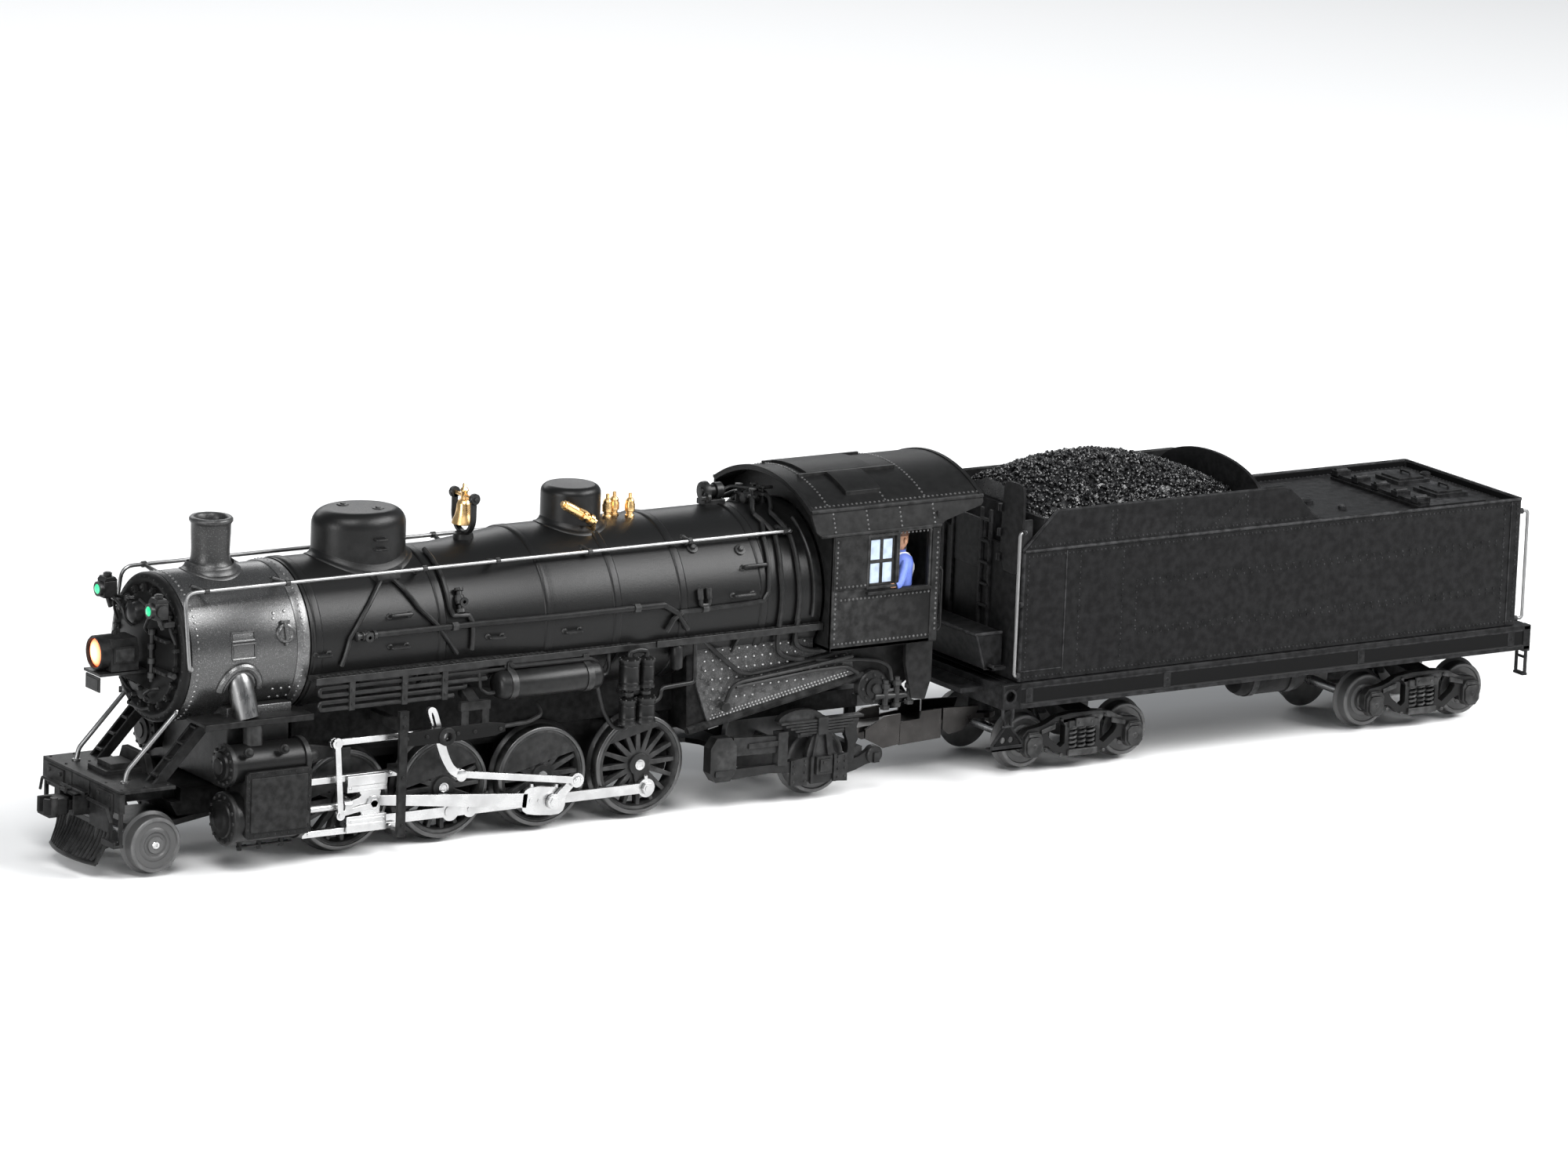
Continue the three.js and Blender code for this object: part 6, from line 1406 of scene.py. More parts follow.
def air_pump():
    """Cross-compound pump: steam drums above, air drums below, joined by pipes and a tie frame."""
    made = Solid()
    y = -29.2
    for x, r, z0, z1 in ((24.4, 3.2, 43, 53.6), (30.6, 2.5, 43, 53.2), (24.2, 2.6, 31.6, 40.8),
                         (30.4, 3.3, 31.8, 41)):
        made.turned([(0, z0), (r * 0.7, z0), (r * 0.8, z0 + 0.5), (r + 0.25, z0 + 0.7),
                     (r + 0.25, z0 + 1.5), (r, z0 + 1.8), (r, z0 + 2.6), (r + 0.12, z0 + 2.8),
                     (r, z0 + 3.0), (r, z1 - 3.0), (r + 0.12, z1 - 2.8), (r, z1 - 2.6), (r, z1 - 1.8),
                     (r + 0.25, z1 - 1.5), (r + 0.25, z1 - 0.7), (r * 0.8, z1 - 0.5), (r * 0.55, z1),
                     (0, z1)], "z", (x, y, 0), 32)
        for z, way in ((z1 - 0.7, UP), (z0 + 0.7, DOWN)):
            made.studs([((u, v, z), way) for u, v in circle((x, y), r - 0.1, 8)], 0.35, 0.45, 6)
    for x in (24.3, 30.5):
        made.rod((x, y, 40), (x, y, 44), 1.1, 12)
        made.turned(rectangle((0, 1.7), (41.4, 42.4)), "z", (x, y, 0), 12)
    made.box((22.6, 32.2), (y + 0.4, -24.6), (41.4, 43.0))
    made.box((24, 31), (y + 1.2, -23.6), (46.2, 50))
    made.tube([(24.4, y, 53.4), (24.4, y, 55.0), (27.4, y, 55.6), (30.6, y, 55.0), (30.6, y, 53)], 0.85, 10,
              bend=1)
    made.tube([(33.4, y + 0.6, 38), (36.6, y + 1, 39), (37.2, -27.4, 42.0), (50.2, -26.4, 42.4),
               (50.4, -25.6, 55.4)], 0.75, 10, bend=1.6)
    made.tube([(24.2, y, 32), (24.2, y + 1, 30.4), (20.6, y + 2.6, 31), (17.4, -26.2, 36),
               (14.8, -26.2, 44.2)], 0.7, 10, bend=1.6)
    made.turned([(0, 46.4), (0.8, 46.6), (1.9, 47.4), (2.0, 48), (2.0, 54), (1.5, 54.8), (0, 55)], "z",
                (44, -25.2, 0), 20)
    made.piece("cross_compound_pump", BLACK, bevel=0.15, replaces=["air_pump"], sharp=50)


for chosen_side, chosen_hand in SIDES:
    running_board(chosen_side, chosen_hand)
    cooling_coils(chosen_side, chosen_hand)
air_pump()


# ------------------------------------------------------------------ pilot

PILOT_X, PILOT_Y, PILOT_Z = (-151.3, -132), 24.2, (26.8, 27.9)


def pilot_deck():
    """Deck ahead of the smokebox with its beam, steps, braces and foot boards."""
    made = Solid()
    front = PILOT_X[0]
    made.prism(rectangle((front, PILOT_X[1]), (-PILOT_Y, PILOT_Y)), "z", PILOT_Z)
    made.box((front, front + 2), (-PILOT_Y, -5.2), (20.8, 27.4))
    made.box((front, front + 2), (5.2, PILOT_Y), (20.8, 27.4))
    made.box((front, front + 2), (-6, 6), (22.6, 27.4))
    made.box((-147, -134), (-6.6, 6.6), (23.3, 27))
    for side in both_sides(made):
        made.box((front + 0.3, front + 2), (-17, -5), (13.4, 21))
        for inner, outer in ((14.8, 15.8), (19, 20.2)):
            made.prism([(-138.4, 27), (-134.2, 27), (-118.2, 43.8), (-118.2, 44.7), (-122, 44.7)], "y",
                       (-outer, -inner))
        for n in range(4):
            x, z = -136.2 + n * 4.4, 29.6 + n * 4.5
            made.box((x, x + 3.2), (-19.2, -15.4), (z, z + 0.8))
        made.box((front - 0.5, front + 0.3), (-20.6, -10.4), (20.0, 26.4))
        made.box((-150.9, -149.7), (-24, -22.8), (10.8, 22))
        made.box((-150.9, -149.7), (-17.4, -16.4), (10.8, 22))
        made.box((-153, -149.4), (-24, -16.4), (10.2, 11.2))
        made.box((-153, -152.2), (-24, -16.4), (11.0, 12.2))
        made.studs([((front - 0.4, y, z), AHEAD) for y in (-12, -19) for z in (21.4, 25)], 0.65, 0.5, 6,
                   domed=False)
        made.studs([((x, y, PILOT_Z[1]), UP) for x in (-149.6, -141.6, -134) for y in (-22.4, -12.6)], 0.5,
                   0.35, 8)
        made.tube([(-150.0, -8, 22.2), (-153.4, -8, 22.4), (-153.4, -20.5, 22.4), (-153.0, -22.4, 18.2)],
                  0.5, bend=0.8)
    made.prism([(-9.6, 27.9), (9.6, 27.9), (7, 33.5), (-7, 33.5)], "x", (-133.6, -131.4))
    made.box((-146, -133), (-5.8, 5.8), (27.8, 29.4))
    made.box((-143.5, -135.5), (-4.4, 4.4), (29.2, 31.0))
    made.box((front - 5, front), (-4.8, -3.9), (16.4, 23.2))
    made.box((front - 5, front), (3.9, 4.8), (16.4, 23.2))
    made.box((front - 5, front + 1), (-4.8, 4.8), (22.4, 23.4))
    made.rod((-154.2, -7, 23.6), (-154.2, 7, 23.6), 0.5, 10)
    made.tube([(-154.2, 0, 23.6), (-156.2, 0, 24), (-156.6, 0, 22.4)], 0.5, bend=0.5)
    made.piece("pilot_deck", CAB_BLACK, bevel=0.2, replaces=["pilot"])
    rods = Solid()
    for side in both_sides(rods):
        rods.tube([(-144.7, -15.3, PILOT_Z[1]), (-143.9, -15.3, 31.6), (-127.6, -15.6, 48.2)], 0.75, 12,
                  bend=1.4)
        rods.studs([((-144.7, -15.3, PILOT_Z[1]), UP)], 1.3, 0.6, 14, domed=False)
        rods.studs([((-127.9, -15.6, 48.4), (-1, 0, 0.2))], 1.2, 0.6, 14, domed=False)
    rods.piece("pilot_braces", WIRE)


def cowcatcher():
    """Slatted pilot that narrows towards a curved foot."""
    made = Solid()
    top_x, top_z, top_half = -149.6, 14.4, 15.8
    foot_x, foot_z, foot_half = -155.6, 3.4, 13.8
    made.box((top_x - 1.0, top_x + 0.8), (-top_half - 0.4, top_half + 0.4), (top_z - 0.9, top_z + 0.7))
    bend = 2.6
    count = 17

    def along_foot(share):
        """Point on the curved foot, from -1 on the left to 1 on the right."""
        return foot_x + bend * share * share - 0.4, foot_half * share

    foot = [(x, y, foot_z) for x, y in (along_foot(i / 12 - 1) for i in range(25))]
    made.tube(foot, 0.8, 10)
    for i in range(count):
        share = 2 * i / (count - 1) - 1
        x, y = along_foot(share)
        start, end = Vector((top_x, top_half * share, top_z)), Vector((x, y, foot_z))
        mid = start.lerp(end, 0.5) + Vector((0.7, 0, -0.2))
        made.tube([start, mid, end], 0.62, 8, bend=2)
    for side in both_sides(made):
        made.tube([(foot_x + bend, -foot_half, foot_z), (-151.6, -9.6, 6), (-150.0, -8.6, 14)], 0.6, 8,
                  bend=1.2)
    made.piece("cowcatcher", BLACK, bevel=0.15)


def coupler_head(made, x, z, ahead):
    """Closed knuckle coupler, seen from above as a hook facing the way ahead."""
    hook = [(0, -3.4), (4.2, -3.4), (6.4, -2.6), (7.2, -1.2), (6.2, -0.2), (5.2, -1.4), (3.4, -1.6),
            (2.6, -0.4), (3.0, 1.6), (6.6, 2.4), (6.9, 3.4), (4.6, 3.6), (0, 3.4), (-1.4, 1.8),
            (-1.4, -1.8)]
    made.prism([(x + ahead * u, v * -ahead) for u, v in hook], "z", (z - 2.5, z + 2.5))
    made.turned(rectangle((0, 1.2), (z - 2.9, z + 3.0)), "z", (x + ahead * 4.2, ahead * 2.6, 0), 16)


def front_coupler():
    """Coupler head and shank under the pilot deck."""
    made = Solid()
    coupler_head(made, -157.6, 19.2, -1)
    made.prism([(-157.8, -2.4), (-150, -1.9), (-147.2, -1.9), (-147.2, 1.9), (-150, 1.9), (-157.8, 2.4)],
               "z", (17.6, 20.6))
    made.turned(rectangle((0, 2), (17.6, 20.6)), "z", (-147.4, 0, 0), 24)
    made.piece("front_coupler_casting", CAB_BLACK, "front_coupler", bevel=0.3, replaces=["front_coupler"])


pilot_deck()
cowcatcher()
front_coupler()


# ------------------------------------------------------------------ cylinders

CYLINDER_X, CYLINDER_Y, CYLINDER_R, VALVE_Z, VALVE_R = (-117.4, -89.1), 24.6, 8.3, 32.5, 6.6


def cylinders():
    """Cylinder and valve chest castings, their covers, drain cocks and bolts."""
    x0, x1 = CYLINDER_X
    core = Solid()
    core.box((x0 + 5, x1 - 2), (-20, 20), (23.4, 43.2))
    covers = Solid()
    bolts = Solid()
    for side in both_sides(core, covers, bolts):
        y, z = -CYLINDER_Y, AXLE_Z
        r = CYLINDER_R
        core.turned([(0, x0), (3.0, x0), (3.3, x0 + 0.3), (5.6, x0 + 0.6), (5.9, x0 + 1.1),
                     (r - 0.3, x0 + 1.4), (r, x0 + 1.7), (r, x0 + 3), (r - 0.6, x0 + 3.2),
                     (r - 0.6, x1 - 3.2), (r, x1 - 3), (r, x1 - 1.4), (r - 0.5, x1 - 1.1), (5.0, x1 - 0.9),
                     (4.6, x1), (0, x1)], "x", (0, y, z), 56)
        v = VALVE_R
        core.turned([(0, x0 - 0.8), (2.4, x0 - 0.8), (2.6, x0 - 0.4), (4.2, x0 - 0.1), (4.5, x0 + 0.6),
                     (v, x0 + 1.2), (v, x0 + 2.6), (v - 0.6, x0 + 2.8), (v - 0.6, x1 - 1.8), (v, x1 - 1.6),
                     (v, x1), (3.6, x1 + 0.4), (3.2, x1 + 1.4), (0, x1 + 1.4)], "x", (0, y, VALVE_Z), 48)
        core.prism(rectangle((x0 + 6.4, x1 - 2), (12.5, 31.0)), "y", (-31.6, -17))
        core.box((x0 + 6.4, x1 - 2), (-24, -17), (30, 37))
        covers.prism([(x0 + 5, 11.4), (x0 + 6, 10.6), (x1 - 1.6, 10.6), (x1 - 0.6, 11.4), (x1 - 0.6, 30.6),
                      (x1 - 1.6, 31.5), (x0 + 6, 31.5), (x0 + 5, 30.6)], "y", (-32.6, -31.2))
        covers.prism(rectangle((x0 + 6.6, x1 - 2.2), (12.6, 29.6)), "y", (-33.0, -32.4))
        spots = []
        for row_z in (11.6, 30.6):
            spots += row((x0 + 6, -32.5, row_z), (x1 - 1.6, -32.5, row_z), 2.2)
        for row_x in (x0 + 5.8, x1 - 1.4):
            spots += row((row_x, -32.5, 13.6), (row_x, -32.5, 28.8), 2.2)
        bolts.studs([(p, OUT) for p in spots], 0.38, 0.3, 8)
        for radius, centre_z, face in ((r - 1.2, z, x0 + 1.5), (v - 1.0, VALVE_Z, x0 + 1.1)):
            bolts.studs([((face, y + radius * c, centre_z + radius * s), AHEAD)
                         for c, s in circle((0, 0), 1, 14)], 0.55, 0.7, 6, domed=False)
            back = x1 - 1.2 if centre_z == z else x1
            bolts.studs([((back, y + radius * c, centre_z + radius * s), BACK)
                         for c, s in circle((0, 0), 1, 12)], 0.5, 0.5, 6, domed=False)
        for x in (-111.1, -98.8):
            covers.studs([((x, -30.6, 37.2), (0, -1, 0.35))], 1.5, 1.3, 16, domed=False)
            covers.studs([((x, -31.6, 37.6), (0, -1, 0.35))], 0.8, 1.0, 6, domed=False)
        for x in (-109.9, -103.1, -95.4):
            covers.rod((x, y, 8.2), (x, y, 5.4), 0.8, 10)
            covers.rod((x - 0.9, y, 6.6), (x + 2.4, y, 6.6), 0.45, 8)
        covers.rod((-111, y - 0.4, 6.6), (-92, y - 0.4, 6.6), 0.4, 8)
        covers.box((-124, -86.5), (-BOARD_Y, -15.2), (45.1, 46.3))
        covers.box((-124, -86.5), (-BOARD_Y - 0.1, -BOARD_Y + 0.7), (44.3, 46.3))
        covers.turned([(0, x1 + 1.2), (2.5, x1 + 1.2), (2.3, x1 + 4), (1.6, x1 + 5.4), (0, x1 + 5.6)], "x",
                      (0, y, VALVE_Z), 24)
        covers.prism([(x1 - 0.4, 36.6), (x1 + 15.6, 33.8), (x1 + 15.6, 31.4), (x1 + 8.4, 31.4),
                      (x1 - 0.2, 28.9)], "y", (-25.4, -23.8))
        covers.box((x1 + 12.4, x1 + 16.5), (-26.2, -23.2), (30.4, 34.2))
    core.piece("cylinder_castings", BLACK, bevel=0.3, replaces=["cylinder_block"], sharp=50)
    covers.piece("cylinder_covers", CAB_BLACK, bevel=0.25)
    bolts.piece("cylinder_bolts", CAB_BLACK)


cylinders()


# ------------------------------------------------------------------ outlines for rods and castings

def smooth(outline, times=2):
    """Rounds a closed outline by cutting its corners."""
    for _ in range(times):
        cut = []
        for (ax, az), (bx, bz) in zip(outline, outline[1:] + outline[:1]):
            cut += [(ax * 0.78 + bx * 0.22, az * 0.78 + bz * 0.22),
                    (ax * 0.22 + bx * 0.78, az * 0.22 + bz * 0.78)]
        outline = cut
    return outline


def linked_eyes(pins, radii, half, steps=10):
    """Outline of a straight rod with a round eye at each pin."""
    first = Vector(pins[0])
    along = (Vector(pins[-1]) - first).normalized()
    across = Vector((-along.y, along.x))
    top = []
    last = len(pins) - 1
    for i, (pin, radius) in enumerate(zip(pins, radii)):
        lean = math.asin(min(0.99, half / radius))
        begin = math.pi if i == 0 else math.pi - lean
        end = 0 if i == last else lean
        centre = (Vector(pin) - first).dot(along)
        top += [(centre + radius * math.cos(a), radius * math.sin(a))
                for a in (begin + (end - begin) * k / steps for k in range(steps + 1))]
    bottom = [(u, -v) for u, v in reversed(top) if abs(v) > 1e-6]
    return [tuple(first + along * u + across * v) for u, v in top + bottom]


def hexagon(made, x, y, z, radius, height):
    """Nut with a round end, standing outwards."""
    made.prism(circle((x, z), radius, 6), "y", (y, y - height))
    made.turned([(0, y), (radius * 0.55, y), (radius * 0.55, y - height - 0.2), (0, y - height - 0.3)],
                "y", (x, 0, z), 16)


# ------------------------------------------------------------------ wheels

SIDE_ROD_Y, MAIN_ROD_Y, RETURN_CRANK_Y = (20.1, 21.4), (21.8, 23.2), (23.5, 24.9)
ECCENTRIC_ROD_Y, LINK_Y, LEVER_Y = (25.2, 26.4), (26.8, 28.0), (27.5, 28.5)
PIN_R = 1.4
RETURN_PIN = (8.7, -0.65)
MAIN_ROD_LENGTH = 66.4
LINK_PIVOT = (-42.5, 35.2)
LINK_FOOT_R = 16.0
LEFT_FOOT_ANGLE = math.radians(31.7)


def span(pair):
    """A motion plane's limits, on the left."""
    return (-pair[0], -pair[1])


def quarter(side, point):
    """The right-hand cranks are a quarter turn ahead of the left-hand ones."""
    return point if side == LEFT else (-point[1], point[0])


def crank_pin(side):
    """Crank pin, from its axle's centre."""
    return quarter(side, (CRANK_R * math.sin(CRANK_ANGLE), -CRANK_R * math.cos(CRANK_ANGLE)))


def return_pin(side):
    """Pin at the end of the return crank."""
    x, z = quarter(side, RETURN_PIN)
    return (x, AXLE_Z + z)


def wrist(side):
    """Wrist pin in the crosshead, as the main rod places it at rest."""
    px, pz = crank_pin(side)
    return (px - math.sqrt(MAIN_ROD_LENGTH ** 2 - pz ** 2), AXLE_Z)


def driver_wheels(number, x):
    """One driving axle: tyres, spoked centres with counterweights, and pins."""
    body = f"driver_axle_{number}"
    tyres, centres, bright = Solid(), Solid(), Solid()
    rim = 13.3
    for side in both_sides(tyres, centres, bright):
        back, face, r = -WHEEL_BACK, -WHEEL_FACE, DRIVER_R
        tyres.turned([(14.3, back), (r + 0.8, back), (r + FLANGE, back - 0.35),
                      (r + FLANGE - 0.1, back - 0.8), (r + 0.15, back - 1.4), (r, back - 1.9),
                      (r - 0.05, face + 0.3), (r - 0.35, face), (14.6, face), (14.4, face + 0.3)], "y",
                     (x, 0, AXLE_Z), 72, ring=True)
        centres.turned([(rim - 0.5, back - 0.1), (14.5, back - 0.1), (14.5, face + 0.25),
                        (14.0, face + 0.1), (rim, face + 0.4), (rim - 0.5, face + 1.2)], "y",
                       (x, 0, AXLE_Z), 72, ring=True)
        centres.turned([(0, back + 0.2), (4.4, back - 0.2), (4.4, back - 1.4), (3.6, face + 1.4),
                        (3.5, face + 0.2), (2.9, face - 0.1), (0, face - 0.1)], "y", (x, 0, AXLE_Z), 40)
        px, pz = crank_pin(side)
        crank = math.atan2(pz, px)
        for i in range(16):
            angle = crank + (i + 0.5) * TURN / 16
            along = Vector((math.cos(angle), math.sin(angle)))
            across = Vector((-along.y, along.x))
            spoke = [along * 3.0 + across * 0.95, along * (rim + 0.2) + across * 0.62,
                     along * (rim + 0.2) - across * 0.62, along * 3.0 - across * 0.95]
            centres.prism([(x + p.x, AXLE_Z + p.y) for p in spoke], "y", (back - 1.5, face + 0.9))
        reach = 9.6 if number == 4 else 4.0
        opening = math.acos(reach / rim)
        segment = [(x + (rim + 0.2) * math.cos(crank + math.pi + a),
                    AXLE_Z + (rim + 0.2) * math.sin(crank + math.pi + a))
                   for a in (opening * (k / 12 - 1) for k in range(25))]
        centres.prism(segment, "y", (back - 0.9, face + 0.35))
        boss = [(x + u, AXLE_Z + v) for u, v in linked_eyes([(0, 0), (px, pz)], [3.6, 2.9], 2.8)]
        centres.prism(boss, "y", (back - 1.5, face - 0.15))
        reach_y = -(RETURN_CRANK_Y[0] + 0.2) if number == 3 else -(SIDE_ROD_Y[1] + 0.25)
        bright.turned(rectangle((0, PIN_R), (face, reach_y)), "y", (x + px, 0, AXLE_Z + pz), 28)
        bright.turned([(0, face), (1.7, face), (1.7, face - 0.32), (1.2, face - 0.4), (1.0, face - 0.25),
                       (0, face - 0.25)], "y", (x, 0, AXLE_Z), 28)
        if number == 4:
            hexagon(bright, x + px, -21.55, AXLE_Z + pz, 2.1, 1.1)
        elif number != 3:
            bright.turned([(0, -21.5), (2.0, -21.5), (2.0, -21.65), (1.5, -21.72), (0, -21.72)], "y",
                          (x + px, 0, AXLE_Z + pz), 24)
        if number == 3:
            ex, ez = return_pin(side)
            arm = linked_eyes([(px, AXLE_Z + pz), (ex, ez)], [2.4, 1.8], 1.4)
            bright.prism(arm, "y", span(RETURN_CRANK_Y))
            bright.prism(circle((px, AXLE_Z + pz), 1.7, 6), "y", (-24.8, -25.12))
            bright.turned([(0, -24.8), (1.0, -24.8), (1.0, -26.75), (0.8, -26.9), (0, -26.9)], "y",
                          (ex, 0, ez), 24)
            bright.turned([(0, -26.42), (1.5, -26.42), (1.5, -26.6), (1.2, -26.7), (0, -26.7)], "y",
                          (ex, 0, ez), 24)
    tyres.piece(f"driver_tyres_{number}", TREAD, body, sharp=50)
    centres.rod((x, -WHEEL_BACK - 0.5, AXLE_Z), (x, WHEEL_BACK + 0.5, AXLE_Z), 2.0, 28)
    if number == 3:
        teeth = 16
        wheel = []
        for tooth in range(teeth):
            for radius, step in ((5.0, 0), (6.0, 0.3), (6.0, 0.6), (5.0, 0.9)):
                angle = (tooth + step) * TURN / teeth
                wheel.append((x + radius * math.cos(angle), AXLE_Z + radius * math.sin(angle)))
        centres.prism(wheel, "y", (-1.8, 1.8))
    centres.piece(f"driver_centres_{number}", WHEEL_PAINT, body, bevel=0.18, replaces=[body])
    bright.piece(f"driver_pins_{number}", STEEL, body, bevel=0.12)


def disc_wheelset(body, x, radius, journal):
    """Plain turned wheels on an axle: a recessed face with a raised ring and a bright axle end."""
    wheels, axle = Solid(), Solid()
    for side in both_sides(wheels, axle):
        back, face = -WHEEL_BACK, -WHEEL_FACE
        wheels.turned([(0, back), (radius + 0.8, back), (radius + FLANGE, back - 0.3),
                       (radius + FLANGE - 0.1, back - 0.7), (radius + 0.15, back - 1.2),
                       (radius, back - 1.6), (radius - 0.08, face + 0.3), (radius - 0.4, face),
                       (radius - 1.2, face), (radius - 1.5, face + 0.5), (radius * 0.62, face + 0.75),
                       (radius * 0.55, face + 0.35), (radius * 0.47, face + 0.3),
                       (radius * 0.42, face + 0.7), (radius * 0.33, face + 0.6), (radius * 0.3, face + 0.1),
                       (0, face + 0.1)], "y", (x, 0, radius), 64)
        axle.turned([(0, face), (1.25, face), (1.25, 0.3 - journal), (1.0, -journal), (0.45, -journal),
                     (0.3, 0.25 - journal), (0, 0.25 - journal)], "y", (x, 0, radius), 28)
    axle.rod((x, -WHEEL_BACK, radius), (x, WHEEL_BACK, radius), 1.6, 24)
    wheels.piece(f"{body}_discs", DISC_GREY, body, sharp=40, replaces=[body])
    axle.piece(f"{body}_shaft", STEEL, body)


for wheel_number, wheel_x in enumerate(DRIVER_X, 1):
    driver_wheels(wheel_number, wheel_x)
disc_wheelset("pony_wheelset", PONY_X, SMALL_WHEEL_R, 19.9)
disc_wheelset("trailing_wheelset", TRAILING_X, TRAILING_R, 22.4)
for truck_number, truck_x in enumerate(TRUCK_X):
    for end_number, end_x in enumerate((truck_x - TRUCK_BASE, truck_x + TRUCK_BASE), 1):
        disc_wheelset(f"tender_wheelset_{truck_number * 2 + end_number}", end_x, SMALL_WHEEL_R, 22.3)


# ------------------------------------------------------------------ rods and valve gear

def foot_angle(side):
    """Angle of the link's foot, back from straight down, that the eccentric rod gives it."""
    left = (LINK_PIVOT[0] + LINK_FOOT_R * math.sin(LEFT_FOOT_ANGLE),
            LINK_PIVOT[1] - LINK_FOOT_R * math.cos(LEFT_FOOT_ANGLE))
    rod = math.dist(return_pin(LEFT), left)
    ex, ez = return_pin(side)
    dx, dz = ex - LINK_PIVOT[0], ez - LINK_PIVOT[1]
    reach = math.hypot(dx, dz)
    cosine = (LINK_FOOT_R ** 2 + reach ** 2 - rod ** 2) / (2 * LINK_FOOT_R * reach)
    return math.atan2(dx, -dz) - math.acos(cosine)


def link_foot(side):
    """Pin at the foot of the expansion link."""
    angle = foot_angle(side)
    return (LINK_PIVOT[0] + LINK_FOOT_R * math.sin(angle), LINK_PIVOT[1] - LINK_FOOT_R * math.cos(angle))


def side_rod(side, hand):
    """Coupling rod with an eye, and an oil cup, at each crank pin."""
    px, pz = crank_pin(side)
    z = AXLE_Z + pz
    pins = [x + px for x in DRIVER_X]
    knuckle = pins[1] + 7.0
    rod = Solid(mirrored(side))
    stations = [(pins[0], z), (pins[1], z), (knuckle, z), (pins[2], z), (pins[3], z)]
    rod.prism(linked_eyes(stations, [3.0, 3.0, 2.5, 3.0, 3.0], 1.6), "y", span(SIDE_ROD_Y),
              holes=[circle((x, z), PIN_R + 0.06, 24) for x in pins])
    rod.turned([(0, -21.3), (0.9, -21.3), (0.9, -21.62), (0, -21.7)], "y", (knuckle, 0, z), 18)
    for x in pins:
        rod.turned([(0, z + 2.4), (0.7, z + 2.4), (0.7, z + 3.8), (0.35, z + 4.1), (0, z + 4.1)], "z",
                   (x, -20.75, 0), 14)
    rod.piece(f"coupling_rod_{hand}", STEEL, f"side_rod_{hand}", bevel=0.18, replaces=[f"side_rod_{hand}"])


def main_rod(side, hand):
    """Connecting rod with its strapped big end."""
    px, pz = crank_pin(side)
    front, back = Vector(wrist(side)), Vector((px, AXLE_Z + pz))
    along = (back - front).normalized()
    across = Vector((-along.y, along.x))
    rod = Solid(mirrored(side))

    def at(u, v, origin=back):
        """Point along and across the rod, counted from its big end."""
        return tuple(origin + along * u + across * v)

    rod.prism([at(0, 1.5, front), at(-9, 2.3), at(-9, -2.3), at(0, -1.5, front)], "y", span(MAIN_ROD_Y))
    rod.prism(smooth([at(-10.8, 2.9), at(-8.2, 4.5), at(2.6, 4.5), at(4.9, 2.6), at(4.9, -2.6),
                      at(2.6, -4.5), at(-8.2, -4.5), at(-10.8, -2.9)], 1), "y", span(MAIN_ROD_Y),
              holes=[circle(back, PIN_R + 0.06, 24)])
    rod.prism(circle(front, 2.6, 28), "y", span(MAIN_ROD_Y))
    for u in (-7.6, -4.6):
        x, z = at(u, 0)
        rod.turned([(0, -23.1), (0.8, -23.1), (0.8, -23.36), (0, -23.42)], "y", (x, 0, z), 6)
    for u, v in ((-7.8, 4.3), (1.2, 4.3)):
        x, z = at(u, v)
        rod.rod((x, -22.5, z - 0.4), (x, -22.5, z + 1.0), 0.75, 6)
    rod.rod(Vector((front.x, -22.5, front.y + 2.2)), Vector((front.x, -22.5, front.y + 3.4)), 0.7, 12)
    rod.piece(f"connecting_rod_{hand}", STEEL, f"main_rod_{hand}", bevel=0.2, replaces=[f"main_rod_{hand}"])


def eccentric_rod(side, hand):
    """Rod from the return crank to the foot of the expansion link."""
    foot, back = link_foot(side), return_pin(side)
    rod = Solid(mirrored(side))
    rod.prism(linked_eyes([foot, back], [1.9, 2.3], 1.05), "y", span(ECCENTRIC_ROD_Y),
              holes=[circle(back, 1.06, 20)])
    rod.turned([(0, -26.3), (1.1, -26.3), (1.1, -26.62), (0.8, -26.7), (0, -26.7)], "y",
               (foot[0], 0, foot[1]), 18)
    rod.piece(f"eccentric_drive_{hand}", STEEL, f"eccentric_rod_{hand}", bevel=0.2,
              replaces=[f"eccentric_rod_{hand}"])


LEVER_TOP, LEVER_FOOT_Z, UNION_LENGTH = (-78.5, 36.2), 13.5, 12.45
UPPER_GUIDE_Z, LOWER_GUIDE_Z, GUIDE_Y = (23.4, 25.4), (7.0, 9.0), (23.8, 26.0)


